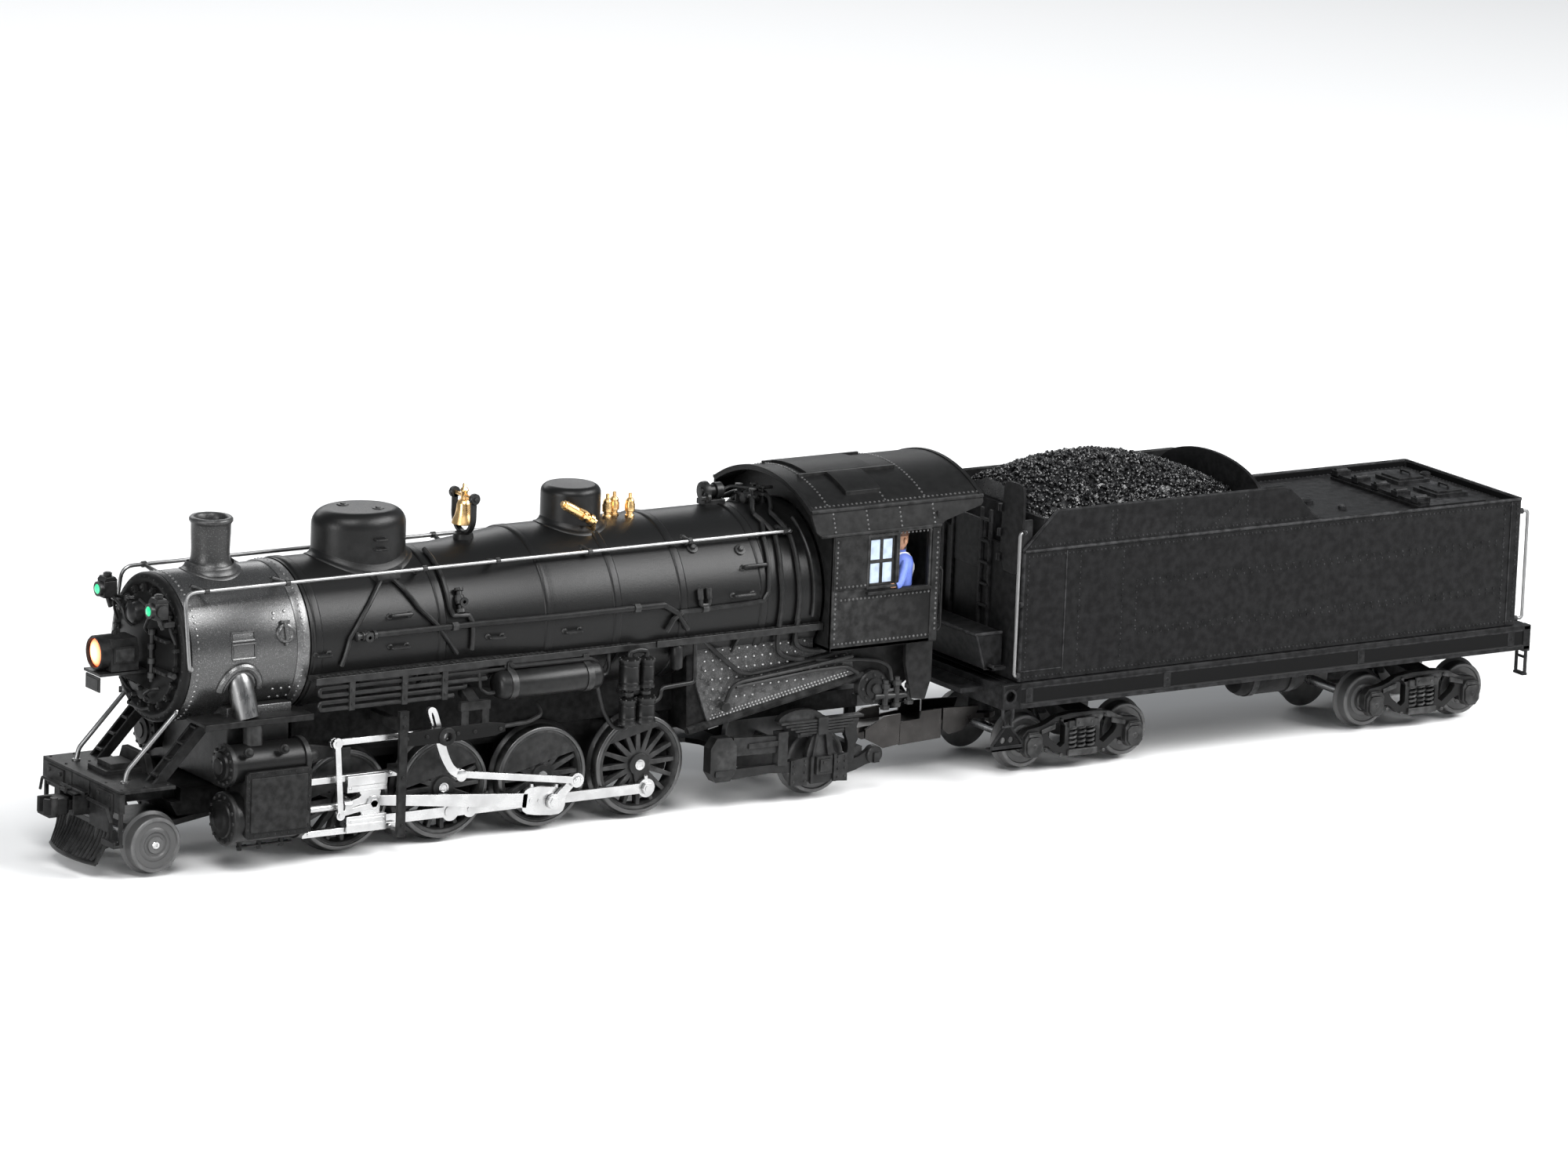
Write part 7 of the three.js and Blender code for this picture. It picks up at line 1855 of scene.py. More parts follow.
def crosshead(side, hand):
    """Crosshead between its guides, with piston rod, wrist pin and union link."""
    x, z = wrist(side)
    made = Solid(mirrored(side))
    made.prism(smooth([(x - 5.2, 20.0), (x + 3.0, 20.0), (x + 2.4, 17.8), (x + 2.6, 15), (x + 2.4, 12.8),
                       (x + 3.0, 11.4), (x - 4.4, 11.4), (x - 3.8, 13.4), (x - 8.4, 14.6), (x - 8.4, 17.0),
                       (x - 3.8, 18.2)], 1), "y", (-26.2, -23.6))
    for low, high in ((19.9, 23.1), (9.3, 12.4)):
        made.box((x - 9.6, x + 4.4), (-27.0, -23.8), (low, high))
        made.box((x - 8.2, x + 3.0), (-27.2, -26.8), (low + 0.9, high - 0.9))
    made.box((x - 9.6, x + 4.4), (-27.2, -26.35), (21.8, 25.1))
    made.box((x - 9.6, x + 4.4), (-27.2, -26.35), (7.3, 10.0))
    made.turned([(0, -26.2), (2.3, -26.2), (2.3, -26.7), (1.9, -26.9), (0, -26.9)], "y", (x, 0, z), 28)
    made.prism(circle((x, z), 1.5, 6), "y", (-26.8, -27.2))
    made.turned([(0, x - 36), (1.15, x - 36), (1.15, x - 10.6), (1.9, x - 10.4), (2.1, x - 8.0),
                 (0, x - 8.0)], "x", (0, -25.6, z), 28)
    made.studs([((x + u, -27.0, w), OUT) for u in (-8.6, -2.6, 3.4) for w in (21.2, 11.0)], 0.45, 0.2, 6)
    made.prism(linked_eyes([(x, z - 0.5), (x - UNION_LENGTH, LEVER_FOOT_Z)], [1.6, 1.25], 0.85), "y",
               (-26.4, -27.2))
    made.piece(f"crosshead_casting_{hand}", STEEL, f"crosshead_{hand}", bevel=0.15,
               replaces=[f"crosshead_{hand}"])


def expansion_link(side, hand):
    """Curved, slotted link, turned to where the eccentric rod holds it."""
    turn = foot_angle(side) - LEFT_FOOT_ANGLE
    cx, cz = LINK_PIVOT

    def place(point):
        """Point of the link's outline, turned about the pivot."""
        x, z = point
        return (cx + x * math.cos(turn) - z * math.sin(turn), cz + x * math.sin(turn) + z * math.cos(turn))

    outline = [(-4.6, 8.3), (-3.2, 9.2), (-1.3, 8.6), (0.6, 3), (1.9, -1.5), (3.2, -6), (5.6, -10.6),
               (9.4, -12.6), (9.2, -14.8), (7.2, -14.6), (3.6, -12.2), (0.6, -7), (-1.2, -2), (-2.6, 3)]
    slot = [(-3.2, 7.4), (-2.4, 7.2), (-0.6, 1.2), (0.2, -2.6), (-0.5, -2.4), (-1.5, 1.4)]
    made = Solid(mirrored(side))
    made.prism(smooth([place(p) for p in outline], 2), "y", span(LINK_Y),
               holes=[smooth([place(p) for p in slot], 1)])
    foot = link_foot(side)
    made.turned([(0, -LINK_Y[0]), (1.9, -LINK_Y[0]), (1.9, -LINK_Y[1]), (1.2, -LINK_Y[1] - 0.3),
                 (0, -LINK_Y[1] - 0.3)], "y", (foot[0], 0, foot[1]), 24)
    made.turned(rectangle((0, 1.3), (-27.4, -29.2)), "y", (cx + 1.2, 0, cz), 24)
    made.piece(f"curved_link_{hand}", STEEL, f"expansion_link_{hand}", bevel=0.15,
               replaces=[f"expansion_link_{hand}"])


def radius_rod(side, hand):
    """Rod from the expansion link to the top of the combination lever."""
    made = Solid(mirrored(side))
    made.prism(linked_eyes([(LEVER_TOP[0], LEVER_TOP[1] - 0.2), (LINK_PIVOT[0] - 1.5, 35.9)], [1.6, 1.3],
                           0.95), "y", span(ECCENTRIC_ROD_Y))
    made.piece(f"radius_bar_{hand}", STEEL, f"radius_rod_{hand}", bevel=0.15,
               replaces=[f"radius_rod_{hand}"])


def combination_lever(side, hand):
    """Lever between the radius rod and the union link."""
    foot = (wrist(side)[0] - UNION_LENGTH, LEVER_FOOT_Z)
    made = Solid(mirrored(side))
    made.prism(linked_eyes([LEVER_TOP, foot], [1.75, 1.5], 1.0), "y", span(LEVER_Y))
    made.turned([(0, -26.7), (0.8, -26.7), (0.8, -28.7), (0, -28.8)], "y", (LEVER_TOP[0], 0, LEVER_TOP[1]),
                18)
    made.turned([(0, -28.4), (0.8, -28.4), (0.8, -28.8), (0, -28.9)], "y", (foot[0], 0, foot[1]), 18)
    made.piece(f"lever_bar_{hand}", STEEL, f"combination_lever_{hand}", bevel=0.15,
               replaces=[f"combination_lever_{hand}"])


def guides_and_hangers():
    """Crosshead guide bars, the yoke that carries them and the link's bearings."""
    bars, hangers = Solid(), Solid()
    front, rear = CYLINDER_X[1] + 0.3, -56
    trunnion = (LINK_PIVOT[0] + 1.2, LINK_PIVOT[1])
    for side in both_sides(bars, hangers):
        for low, high in (UPPER_GUIDE_Z, LOWER_GUIDE_Z):
            bars.box((front, rear), span(GUIDE_Y), (low, high))
            bars.studs([((x, -26.0, (low + high) / 2), OUT) for x in (front + 2, rear - 2)], 0.5, 0.25, 6)
        hangers.prism([(-31.2, 5.4), (-23.8, 5.4), (-23.8, 7.1), (-29.9, 7.1), (-29.9, 25.3), (-23.8, 25.3),
                       (-23.8, 27), (-29.9, 27), (-29.9, 44.6), (-31.2, 44.6)], "x", (-58.4, -55.6))
        hangers.box((-58.6, -55.4), (-31.3, -29.7), (38.2, 44.8))
        beam = smooth([(-57.4, 33.4), (-57.4, 37.4), (-46, 38.2), (-20.6, 38.2), (-20.6, 34.0),
                       (-36, 33.4)], 1)
        hangers.prism(beam, "y", (-30.6, -29.4), holes=[circle(trunnion, 1.45, 24)])
        hangers.turned([(1.45, -29.3), (2.9, -29.3), (2.9, -30.9), (2.4, -31.2), (1.45, -31.2)], "y",
                       (trunnion[0], 0, trunnion[1]), 32, ring=True)
        for a, b in ((-36.4, -33.8), (-29.0, -26.6)):
            hangers.box((a, b), (-30.6, -29.4), (38, 45.2))
        hangers.box((-36.7, -26.2), (-30.7, -28.6), (42.6, 45.3))
        hangers.prism([(-30.0, 43.0), (-30.0, 45.2), (-23, 49), (-23, 46)], "x", (-33.5, -29.5))
        hangers.studs([((x, -30.6, 35.9), OUT) for x in (-55.6, -48.5, -37.6, -31.5, -22.4)],
                      0.6, 0.45, 6, domed=False)
        hangers.studs([((-57, -31.3, z), OUT) for z in (9, 24, 40, 43)], 0.5, 0.4, 6, domed=False)
        hangers.tube([(-20.8, -30, 36.4), (-12, -30, 36.8), (-6, -28, 38.2), (-6, -24, 41)], 0.7, 8, bend=2)
    hangers.box((-58.4, -55.6), (-30.6, 30.6), (38.4, 41.3))
    bars.piece("guide_bars", STEEL, bevel=0.15)
    hangers.piece("valve_gear_hangers", CAB_BLACK, bevel=0.2, replaces=["crosshead_guides"])


for chosen_side, chosen_hand in SIDES:
    for build in (side_rod, main_rod, eccentric_rod, crosshead, expansion_link, radius_rod,
                  combination_lever):
        build(chosen_side, chosen_hand)
guides_and_hangers()


# ------------------------------------------------------------------ trucks

def trailing_truck():
    """Two-wheel rear truck: front boxes, forked arms, leaf springs, pedestals and rear hooks."""
    made = Solid()
    x = TRAILING_X
    for side in both_sides(made):
        made.prism(smooth([(58.2, 8.6), (58.2, 22.8), (67.8, 22.6), (67.8, 8.6)], 1), "y", (-25.0, -20.8))
        made.box((60.0, 66.4), (-25.5, -24.8), (10.4, 12.2))
        made.prism([(67, 16.2), (67, 22.2), (86, 21.0), (86, 15.8)], "y", (-24.2, -22))
        made.prism([(67, 8.7), (67, 12.0), (86, 12.0), (91, 13.0), (91, 8.6), (80, 9.4)], "y", (-24.2, -22))
        made.box((72.4, 84), (-24.9, -24.1), (18.2, 19.8))
        made.box((83.2, 86.8), (-25.0, -21.6), (11.6, 22.4))
        for level in range(5):
            half = 15.4 - level * 1.8
            made.box((x - 1.4 - half, x - 1.4 + half), (-25.2, -21.8),
                     (24.6 - level * 0.95, 25.3 - level * 0.95))
        made.box((x - 3.2, x + 0.4), (-25.7, -21.4), (20.4, 25.9))
        made.prism([(84, 25.2)] + [(92.4 + 8.4 * math.cos(a), 25.2 + 3.4 * math.sin(a))
                                   for a in (math.pi * (1 - i / 12) for i in range(13))], "y",
                   (-23.4, -21.0))
        pedestal = [(x - 6.6, 4.4), (x - 6.6, 14.4), (x - 5.0, 18.6), (x - 3.4, 21.4), (x + 2.6, 21.4),
                    (x + 3.4, 14.8), (x + 4.4, 13.8), (x + 4.4, 4.4)]
        made.prism(smooth(pedestal, 1), "y", (-24.4, -22.2))
        for foot, head in ((x - 4.4, x - 3.0), (x + 1.4, x + 0.2)):
            made.prism([(foot - 0.5, 13.6), (head - 0.5, 21.2), (head + 0.5, 21.2), (foot + 0.5, 13.6)],
                       "y", (-25.4, -24.2))
        made.box((x - 3.2, x + 2.6), (-25.6, -24.2), (7.4, 13.2))
        made.box((x - 2.2, x + 1.6), (-26.2, -25.4), (8.4, 12.3))
        made.box((x - 1.2, x + 0.6), (-26.4, -26.0), (11.0, 11.8))
        for edge in (x - 4.6, x + 3.9):
            made.box((edge - 0.5, edge + 0.5), (-25.2, -24.2), (4.6, 13.4))
        for a, b in ((88.4, 94.6), (105.0, 109.6)):
            made.prism([(a, 4.6), (b, 4.2), (b, 13.4), (a, 12.6)], "y", (-24.8, -23.6))
            made.studs([((u, -24.8, w), OUT) for u in (a + 1, b - 1) for w in (5.8, 8.4, 10.8, 12.2)], 0.45,
                       0.4, 6)
        made.prism(smooth([(108.4, 24.4), (113.6, 24.4), (112.4, 20.6), (113.6, 17.8), (112.0, 15.2),
                           (112.0, 10.0), (108.8, 10.0), (109.8, 16.0), (108.2, 20.0)], 1), "y",
                   (-24.6, -22.8))
        made.prism(smooth([(104, 6.0), (112, 6.8), (118, 9.0), (122.6, 9.0), (122.6, 13.4), (118.6, 13.8),
                           (113, 10.8), (104, 10.4)], 1), "y", (-24.2, -22.4))
        made.turned([(0, -25.2), (2.5, -25.2), (2.8, -24.8), (2.8, -22.2), (0, -22.2)], "y",
                    (119.8, 0, 11.6), 28)
        made.box((119, 121), (-25.8, -25.0), (9.2, 12.4))
        made.box((91, 110), (-24, -15), (19.8, 21.4))
    made.prism(smooth([(52.5, -3.5), (52.5, 3.5), (62, 8), (64, 24), (70, 24), (70, -24), (64, -24),
                       (62, -8)], 1), "z", (17.6, 19.2), holes=[circle((56, 0), 2.4, 24)])
    made.box((113, 116), (-23, 23), (11.4, 14.4))
    made.piece("trailing_truck_castings", BLACK, "trailing_truck", bevel=0.2, replaces=["trailing_frame"])


def coil_spring(made, x, y, z0, z1, radius, wire, turns):
    """Helical spring round an upright line."""
    steps = turns * 12
    made.tube([(x + radius * math.cos(TURN * i / 12), y + radius * math.sin(TURN * i / 12),
                z0 + (z1 - z0) * i / steps) for i in range(steps + 1)], wire, 6)


def tender_truck(end, x):
    """Side frames with journal boxes and springs, joined by a bolster."""
    casting, springs = Solid(), Solid()
    h = TRUCK_BASE
    for side in both_sides(casting, springs):
        outline = [(-h - 3.6, 13.2), (-h + 4, 14.2), (-9, 17.4), (9, 17.4), (h - 4, 14.2), (h + 3.6, 13.2),
                   (h + 3.8, 5.4), (h - 3.6, 5.2), (h - 4.6, 8.4), (7.6, 2.9), (-7.6, 2.9), (-h + 4.6, 8.4),
                   (-h + 3.6, 5.2), (-h - 3.8, 5.4)]
        holes = []
        for sign in (-1, 1):
            hole = [(sign * 6.8, 5.3), (sign * 6.8, 15.5), (sign * 12.6, 13.8), (sign * 13.6, 10.4)]
            holes.append(smooth([(x + u, w) for u, w in (hole if sign > 0 else hole[::-1])], 1))
        holes.append(smooth(rectangle((x - 5.2, x + 5.2), (5.4, 12.8)), 1))
        casting.prism(smooth([(x + u, w) for u, w in outline], 1), "y", (-24.2, -21.2), holes=holes)
        for sign in (-1, 1):
            c = x + sign * h
            casting.prism(smooth([(c - 3.4, 4.2), (c - 3.4, 12.6), (c + 3.4, 12.6), (c + 3.4, 4.2)], 1),
                          "y", (-25.4, -22.4))
            casting.prism(smooth([(c - 2.6, 4.8), (c - 2.9, 11.0), (c + 2.9, 11.0), (c + 2.6, 4.8)], 1),
                          "y", (-26.0, -25.2))
            casting.box((c - 2.2, c + 2.2), (-25.9, -25.0), (11.2, 12.2))
            casting.studs([((c, -26.0, 8.0), OUT)], 0.9, 0.3, 10)
            casting.prism([(c - sign * 3.2, 13.0), (c - sign * 8.6, 14.6), (c - sign * 8.6, 12.8),
                           (c - sign * 3.2, 11.6)][::sign], "y", (-24.9, -24.0))
            casting.prism(smooth([(x + sign * 9.6, 5.0), (x + sign * 11.4, 5.4), (x + sign * 12.2, 9.4),
                                  (x + sign * 11.2, 13.4), (x + sign * 9.2, 13.4)], 1), "y", (-19.4, -15.4))
            casting.rod((x + sign * 10.4, -15.6, 11.6), (x + sign * 6.2, -6, 14.4), 0.7, 8)
            casting.studs([((x + sign * 8.4, -24.2, 15.6), OUT), ((x + sign * 8.2, -24.2, 4.0), OUT),
                               ((c - sign * 5.4, -24.2, 6.0), OUT)], 0.6, 0.6, 6, domed=False)
        casting.box((x - 5.8, x + 5.8), (-25.2, -21.6), (12.6, 15.0))
        casting.box((x - 5.8, x + 5.8), (-21.4, -20.6), (4.6, 13.6))
        casting.box((x - 5.6, x + 5.6), (-25.0, -21.6), (3.3, 5.4))
        casting.box((x - 3.6, x + 3.6), (-25.8, -24.8), (13.0, 15.8))
        casting.studs([((x + u, -25.8, 14.4), OUT) for u in (-2.4, 2.4)], 0.5, 0.4, 6)
        for u in (-3.5, 0, 3.5):
            coil_spring(springs, x + u, -23.5, 5.2, 12.8, 1.25, 0.42, 5)
    casting.prism([(-24.0, 13.4), (-14, 13.0), (-8, 16), (8, 16), (14, 13.0), (24.0, 13.4), (21.5, 17.6),
                   (8, 19), (-8, 19), (-21.5, 17.6)], "x", (x - 4.6, x + 4.6))
    casting.turned(rectangle((2.6, 6.4), (15.2, 19)), "z", (x, 0, 0), 36, ring=True)
    casting.piece(f"truck_castings_{end}", TRUCK_GREY, f"truck_{end}", bevel=0.22,
                  replaces=[f"truck_frame_{end}"])
    springs.piece(f"truck_springs_{end}", TRUCK_GREY, f"truck_{end}")


trailing_truck()
for truck_end, truck_x in zip(("front", "rear"), TRUCK_X):
    tender_truck(truck_end, truck_x)


# ------------------------------------------------------------------ tender tank

DECK_Z, BOARD_TOP, BUNKER_REAR = 72.4, 86.3, 262.4
WALL = 1.5


def rounded_box(x_limits, y_half, bend, steps=5):
    """Rectangle, centred across the tender, with round corners."""
    (x0, x1), h = x_limits, y_half
    corners = ((x1 - bend, h - bend, 0), (x0 + bend, h - bend, 1), (x0 + bend, bend - h, 2),
               (x1 - bend, bend - h, 3))
    outline = []
    for cx, cy, turn in corners:
        outline += circle((cx, cy), bend, steps, turn * math.pi / 2, math.pi / 2)
    return outline


def bunker_side():
    """Outline of the board above the tank side: sloped at the front, an ogee at the rear."""
    x0 = TENDER_X[0]
    top = [(x0, TENDER_Z[1] - 0.6), (x0 + 12.6, BOARD_TOP), (269, BOARD_TOP)]
    ogee = [(269 + 17 * t, BOARD_TOP - 12.1 * (3 * t * t - 2 * t ** 3))
            for t in (i / 14 for i in range(1, 15))]
    return top + ogee + [(286, TENDER_Z[1] - 0.6)]


def bulkhead_arch(half, spring, peak, foot, steps=22):
    """Outline of the arched plate behind the coal."""
    arch = [(half * math.cos(math.pi * i / steps),
             spring + (peak - spring) * math.sin(math.pi * i / steps) ** 0.8) for i in range(steps + 1)]
    return [(half, foot)] + arch + [(-half, foot)]


def tank():
    """Water tank with its coal bunker boards, and the fittings on its deck and front."""
    made = Solid()
    x0, x1 = TENDER_X
    h = TANK_HALF
    inside = rounded_box((x0 + WALL, x1 - WALL), h - WALL, 0.6)
    made.prism(rounded_box((x0, x1), h, 0.9), "z", TENDER_Z, holes=[inside])
    made.box((BUNKER_REAR, x1 - 0.6), (-h + 0.6, h - 0.6), (DECK_Z - 1.2, DECK_Z))
    made.box((x0 + 0.8, BUNKER_REAR), (-h + 0.6, -25), (DECK_Z, TENDER_Z[1] - 0.1))
    made.box((x0 + 0.8, BUNKER_REAR), (25, h - 0.6), (DECK_Z, TENDER_Z[1] - 0.1))
    made.box((x0 + 0.8, BUNKER_REAR), (-26, 26), (62, 64.2))
    made.prism(bulkhead_arch(30.6, 77.5, 92.6, 66), "x", (BUNKER_REAR, BUNKER_REAR + 1.2))
    made.prism(rectangle((-30.6, 30.6), (62, 84)), "x", (x0 + 8, x0 + 9.4))
    for side in both_sides(made):
        made.prism(bunker_side(), "y", (-h + 0.1, -h + 1.3))
    made.piece("tender_tank", TENDER_PAINT, "tender", bevel=0.22, replaces=["tender_shell"])
    trim = Solid()
    for side in both_sides(trim):
        top = [(x, -h + 0.7, z) for x, z in bunker_side()[1:-1]]
        trim.tube([(x0, -h + 0.7, TENDER_Z[1])] + top + [(286, -h + 0.7, TENDER_Z[1])], 0.55, 8)
        trim.tube([(x0 + 0.4, -h - 0.05, TENDER_Z[1]), (x1 - 0.6, -h - 0.05, TENDER_Z[1])], 0.5, 8)
        gate = smooth([(-31.0, 66), (-31.0, 92.6), (-30.0, 95.4), (-21, 95.4), (-19.4, 92.8), (-18.6, 66)],
                      1)
        trim.prism(gate, "x", (x0 - 0.4, x0 + 0.6))
        trim.prism([(-30.4, 66), (-30.4, 84), (-29.4, 84), (-29.4, 66)], "x", (x0 + 0.4, x0 + 4))
        for z in (70, 78, 86):
            trim.rod((x0 - 0.5, -18.4, z - 1.2), (x0 - 0.5, -18.4, z + 1.2), 0.8, 10)
    trim.tube([(x1 - 0.4, -h + 0.4, TENDER_Z[1]), (x1 - 0.4, h - 0.4, TENDER_Z[1])], 0.5, 8)
    trim.prism(rectangle((-9, 9), (64, 80)), "x", (x0 - 0.2, x0 + 0.9))
    for y in (-13, -8, 8, 13):
        trim.box((x0 - 0.7, x0 + 0.2), (y - 0.6, y + 0.6), (33, 84))
    for z in range(38, 82, 7):
        trim.box((x0 - 1.0, x0), (-13, -8), (z, z + 0.9))
    trim.prism(rounded_box((329, 357), 25, 1.2), "z", (DECK_Z - 0.3, DECK_Z + 1.0))
    trim.box((329.6, 333.4), (-25, 25), (DECK_Z + 0.6, DECK_Z + 2.2))
    for y in range(-22, 23, 11):
        trim.box((329.0, 334.6), (y - 1.7, y + 1.7), (DECK_Z + 1.6, DECK_Z + 3.4))
        trim.rod((329.4, y, DECK_Z + 3.2), (333.8, y, DECK_Z + 3.2), 0.9, 12)
    for y0, y1 in ((-17, -4), (4, 17)):
        trim.box((342, 355), (y0, y1), (DECK_Z + 0.8, DECK_Z + 2.2))
        trim.box((343.4, 353.6), (y0 + 1.4, y1 - 1.4), (DECK_Z + 2.0, DECK_Z + 2.8))
        trim.tube([(349.6, y0 + 4, DECK_Z + 2.6), (349.6, y0 + 4, DECK_Z + 3.8),
                   (349.6, y1 - 4, DECK_Z + 3.8), (349.6, y1 - 4, DECK_Z + 2.6)], 0.4, 8, bend=0.5)
    for x, y, r in ((296, 10, 2.2), (306, -14, 1.4), (362, 16, 1.8), (300, -2, 2.6)):
        trim.turned([(0, DECK_Z + 1.4), (r * 0.7, DECK_Z + 1.4), (r, DECK_Z + 1.0), (r, DECK_Z - 0.2),
                     (0, DECK_Z - 0.2)], "z", (x, y, 0), 20)
    trim.piece("tender_trim", TENDER_PAINT, "tender", bevel=0.15)


def tank_rivets():
    """Fine snap-head rivets along every plate seam of the tank."""
    made = Solid()
    out = Vector(OUT)
    x0, x1 = TENDER_X
    y = -TANK_HALF
    for side in both_sides(made):
        spots = []
        for z in (72.4, 33.2):
            spots += row((x0 + 2, y, z), (x1 - 2, y, z), 1.55)
        for z in (60.2, 44.2):
            spots += row((213, y, z + 0.75), (359, y, z + 0.75), 2.9)
            spots += row((214.45, y, z - 0.75), (359, y, z - 0.75), 2.9)
        for x, low, high, pitch in ((190.6, 35, 71, 1.8), (207.3, 35, 71, 1.8), (212.8, 46, 59, 1.8),
                                    (359.2, 35, 71, 1.55), (x0 + 2.0, 35, 71, 1.55), (364.2, 35, 71, 1.55)):
            spots += row((x, y, low), (x, y, high), pitch)
        spots += row((x0 + 2.6, y + 0.1, 75.6), (BUNKER_REAR + 16, y + 0.1, 75.6), 1.6)
        for x in (202.2, 204.0, 227.2, 229.0, 255):
            spots += row((x, y + 0.1, 77.2), (x, y + 0.1, 84.6), 1.5)
        spots += row((242.7, y + 0.1, 76.9), (254.0, y + 0.1, 85.2), 1.6)
        made.studs([(p, out) for p in spots], 0.38, 0.3, 6)
        made.prism(rectangle((185.0, 185.35), (34.4, 73.2)), "y", (-32.12, -31.6))
        made.prism(rectangle((361.6, 361.95), (32.4, 73.6)), "y", (-32.12, -31.6))
        made.prism(rectangle((x0 + 0.6, 184.6), (35.0, 35.3)), "y", (-32.08, -31.6))
        back = []
        for z in (33.4, 53.2, 72.2):
            back += row((x1, -1.0, z), (x1, -30.6, z), 1.6)
        for rear_y in (-30.4, -15.5, -14.0):
            back += row((x1, rear_y, 35), (x1, rear_y, 71), 1.7)
        made.studs([(p, BACK) for p in back], 0.33, 0.24, 6)
        deck = row((266, -30.2, DECK_Z), (363, -30.2, DECK_Z), 1.7)
        for x, outer_y in ((264.8, -30), (292, -28), (363.6, -29)):
            deck += row((x, outer_y, DECK_Z), (x, -1, DECK_Z), 1.7)
        made.studs([(p, UP) for p in deck], 0.33, 0.24, 6)
    made.piece("tender_rivets", TENDER_PAINT, "tender")


def tender_handrails():
    """Grab irons at the four corners of the tank."""
    made = Solid()
    posts = Solid()
    for side in both_sides(made, posts):
        made.tube([(169.5, -31.2, 34), (166.4, -32.5, 34), (166.4, -32.5, 80.4), (169.5, -31.2, 80.4)],
                  0.55, 10, bend=1.2)
        made.tube([(365.6, -30.6, 33.6), (369.2, -31.0, 33.6), (369.2, -31.0, 69.8), (365.6, -30.6, 69.8)],
                  0.55, 10, bend=1.2)
        for z in (34, 57, 80.4):
            posts.rod((168.8, -31.4, z), (167.4, -32.2, z), 0.9, 10)
        for z in (33.6, 69.8):
            posts.rod((365.8, -30.6, z), (367.2, -30.8, z), 0.95, 10)
    made.piece("tender_handrails", WIRE, "tender")
    posts.piece("tender_handrail_posts", TENDER_PAINT, "tender")


# ------------------------------------------------------------------ coal

def coal_height(x, y):
    """The crowned top of the heap, as in the CAD mound but spread out to the bunker boards."""
    along = (x - COAL_X[0]) / (COAL_X[1] - COAL_X[0])
    across = y / COAL_Y[1]
    crown = math.sin(math.pi * min(1, 0.24 + max(0, along) * 0.66)) * (1 - 0.72 * across ** 2)
    return 78 + 19.0 * max(crown, -0.08)


def coal():
    """A lumpy bed with thousands of small broken lumps thrown over it."""
    bed = Solid()
    columns, rows = 76, 50
    x0, x1, half = COAL_X[0] - 0.6, COAL_X[1] + 0.6, 29.9
    points, faces = [], []
    for i in range(columns + 1):
        for j in range(rows + 1):
            x = x0 + (x1 - x0) * i / columns
            y = half * (2 * j / rows - 1)
            points.append((x, y, coal_height(x, y) - 0.9 + random.uniform(-0.5, 0.5)))
    top = len(points)
    stride = rows + 1
    points += [(x, y, 65 if abs(y) < 24.6 else 74.3) for x, y, _ in points]
    for i in range(columns):
        for j in range(rows):
            a = i * stride + j
            faces.append((a, a + 1, a + stride + 1, a + stride))
            faces.append((top + a, top + a + stride, top + a + stride + 1, top + a + 1))
    border = list(range(rows)) + [i * stride + rows for i in range(columns)]
    border += [columns * stride + rows - j for j in range(rows)]
    border += [(columns - i) * stride for i in range(columns)]
    for a, b in zip(border, border[1:] + border[:1]):
        faces.append((a, top + a, top + b, b))
    bed.add(points, faces)
    bed.piece("coal_bed", COAL, "tender", replaces=["coal_load"], sharp=5)
    lumps = Solid()
    golden = (1 + math.sqrt(5)) / 2
    corners = [Vector(v).normalized() for s in (-1, 1) for t in (-golden, golden)
               for v in ((0, s, t), (s, t, 0), (t, 0, s))]
    shells = [(a, b, c) for a in range(12) for b in range(a + 1, 12) for c in range(b + 1, 12)
              if max((corners[a] - corners[b]).length, (corners[b] - corners[c]).length,
                     (corners[a] - corners[c]).length) < 1.1]
    for _ in range(4600):
        x, y = random.uniform(x0 + 0.6, x1 - 0.6), random.uniform(-half + 0.6, half - 0.6)
        size = random.uniform(0.55, 0.95)
        turn = Euler([random.uniform(0, TURN) for _ in range(3)]).to_matrix()
        stretch = Vector((random.uniform(0.7, 1.2), random.uniform(0.7, 1.1), random.uniform(0.6, 1.0)))
        centre = Vector((x, y, coal_height(x, y) + random.uniform(-0.9, 0.25)))
        lump = []
        for corner in corners:
            spot = corner * size * random.uniform(0.8, 1.15)
            lump.append(centre + turn @ Vector([c * s for c, s in zip(spot, stretch)]))
        lumps.add(lump, shells)
    lumps.piece("coal_lumps", COAL, "tender", sharp=5)


# ------------------------------------------------------------------ tender frame

END_BEAM_X = (162.4, 169.3)


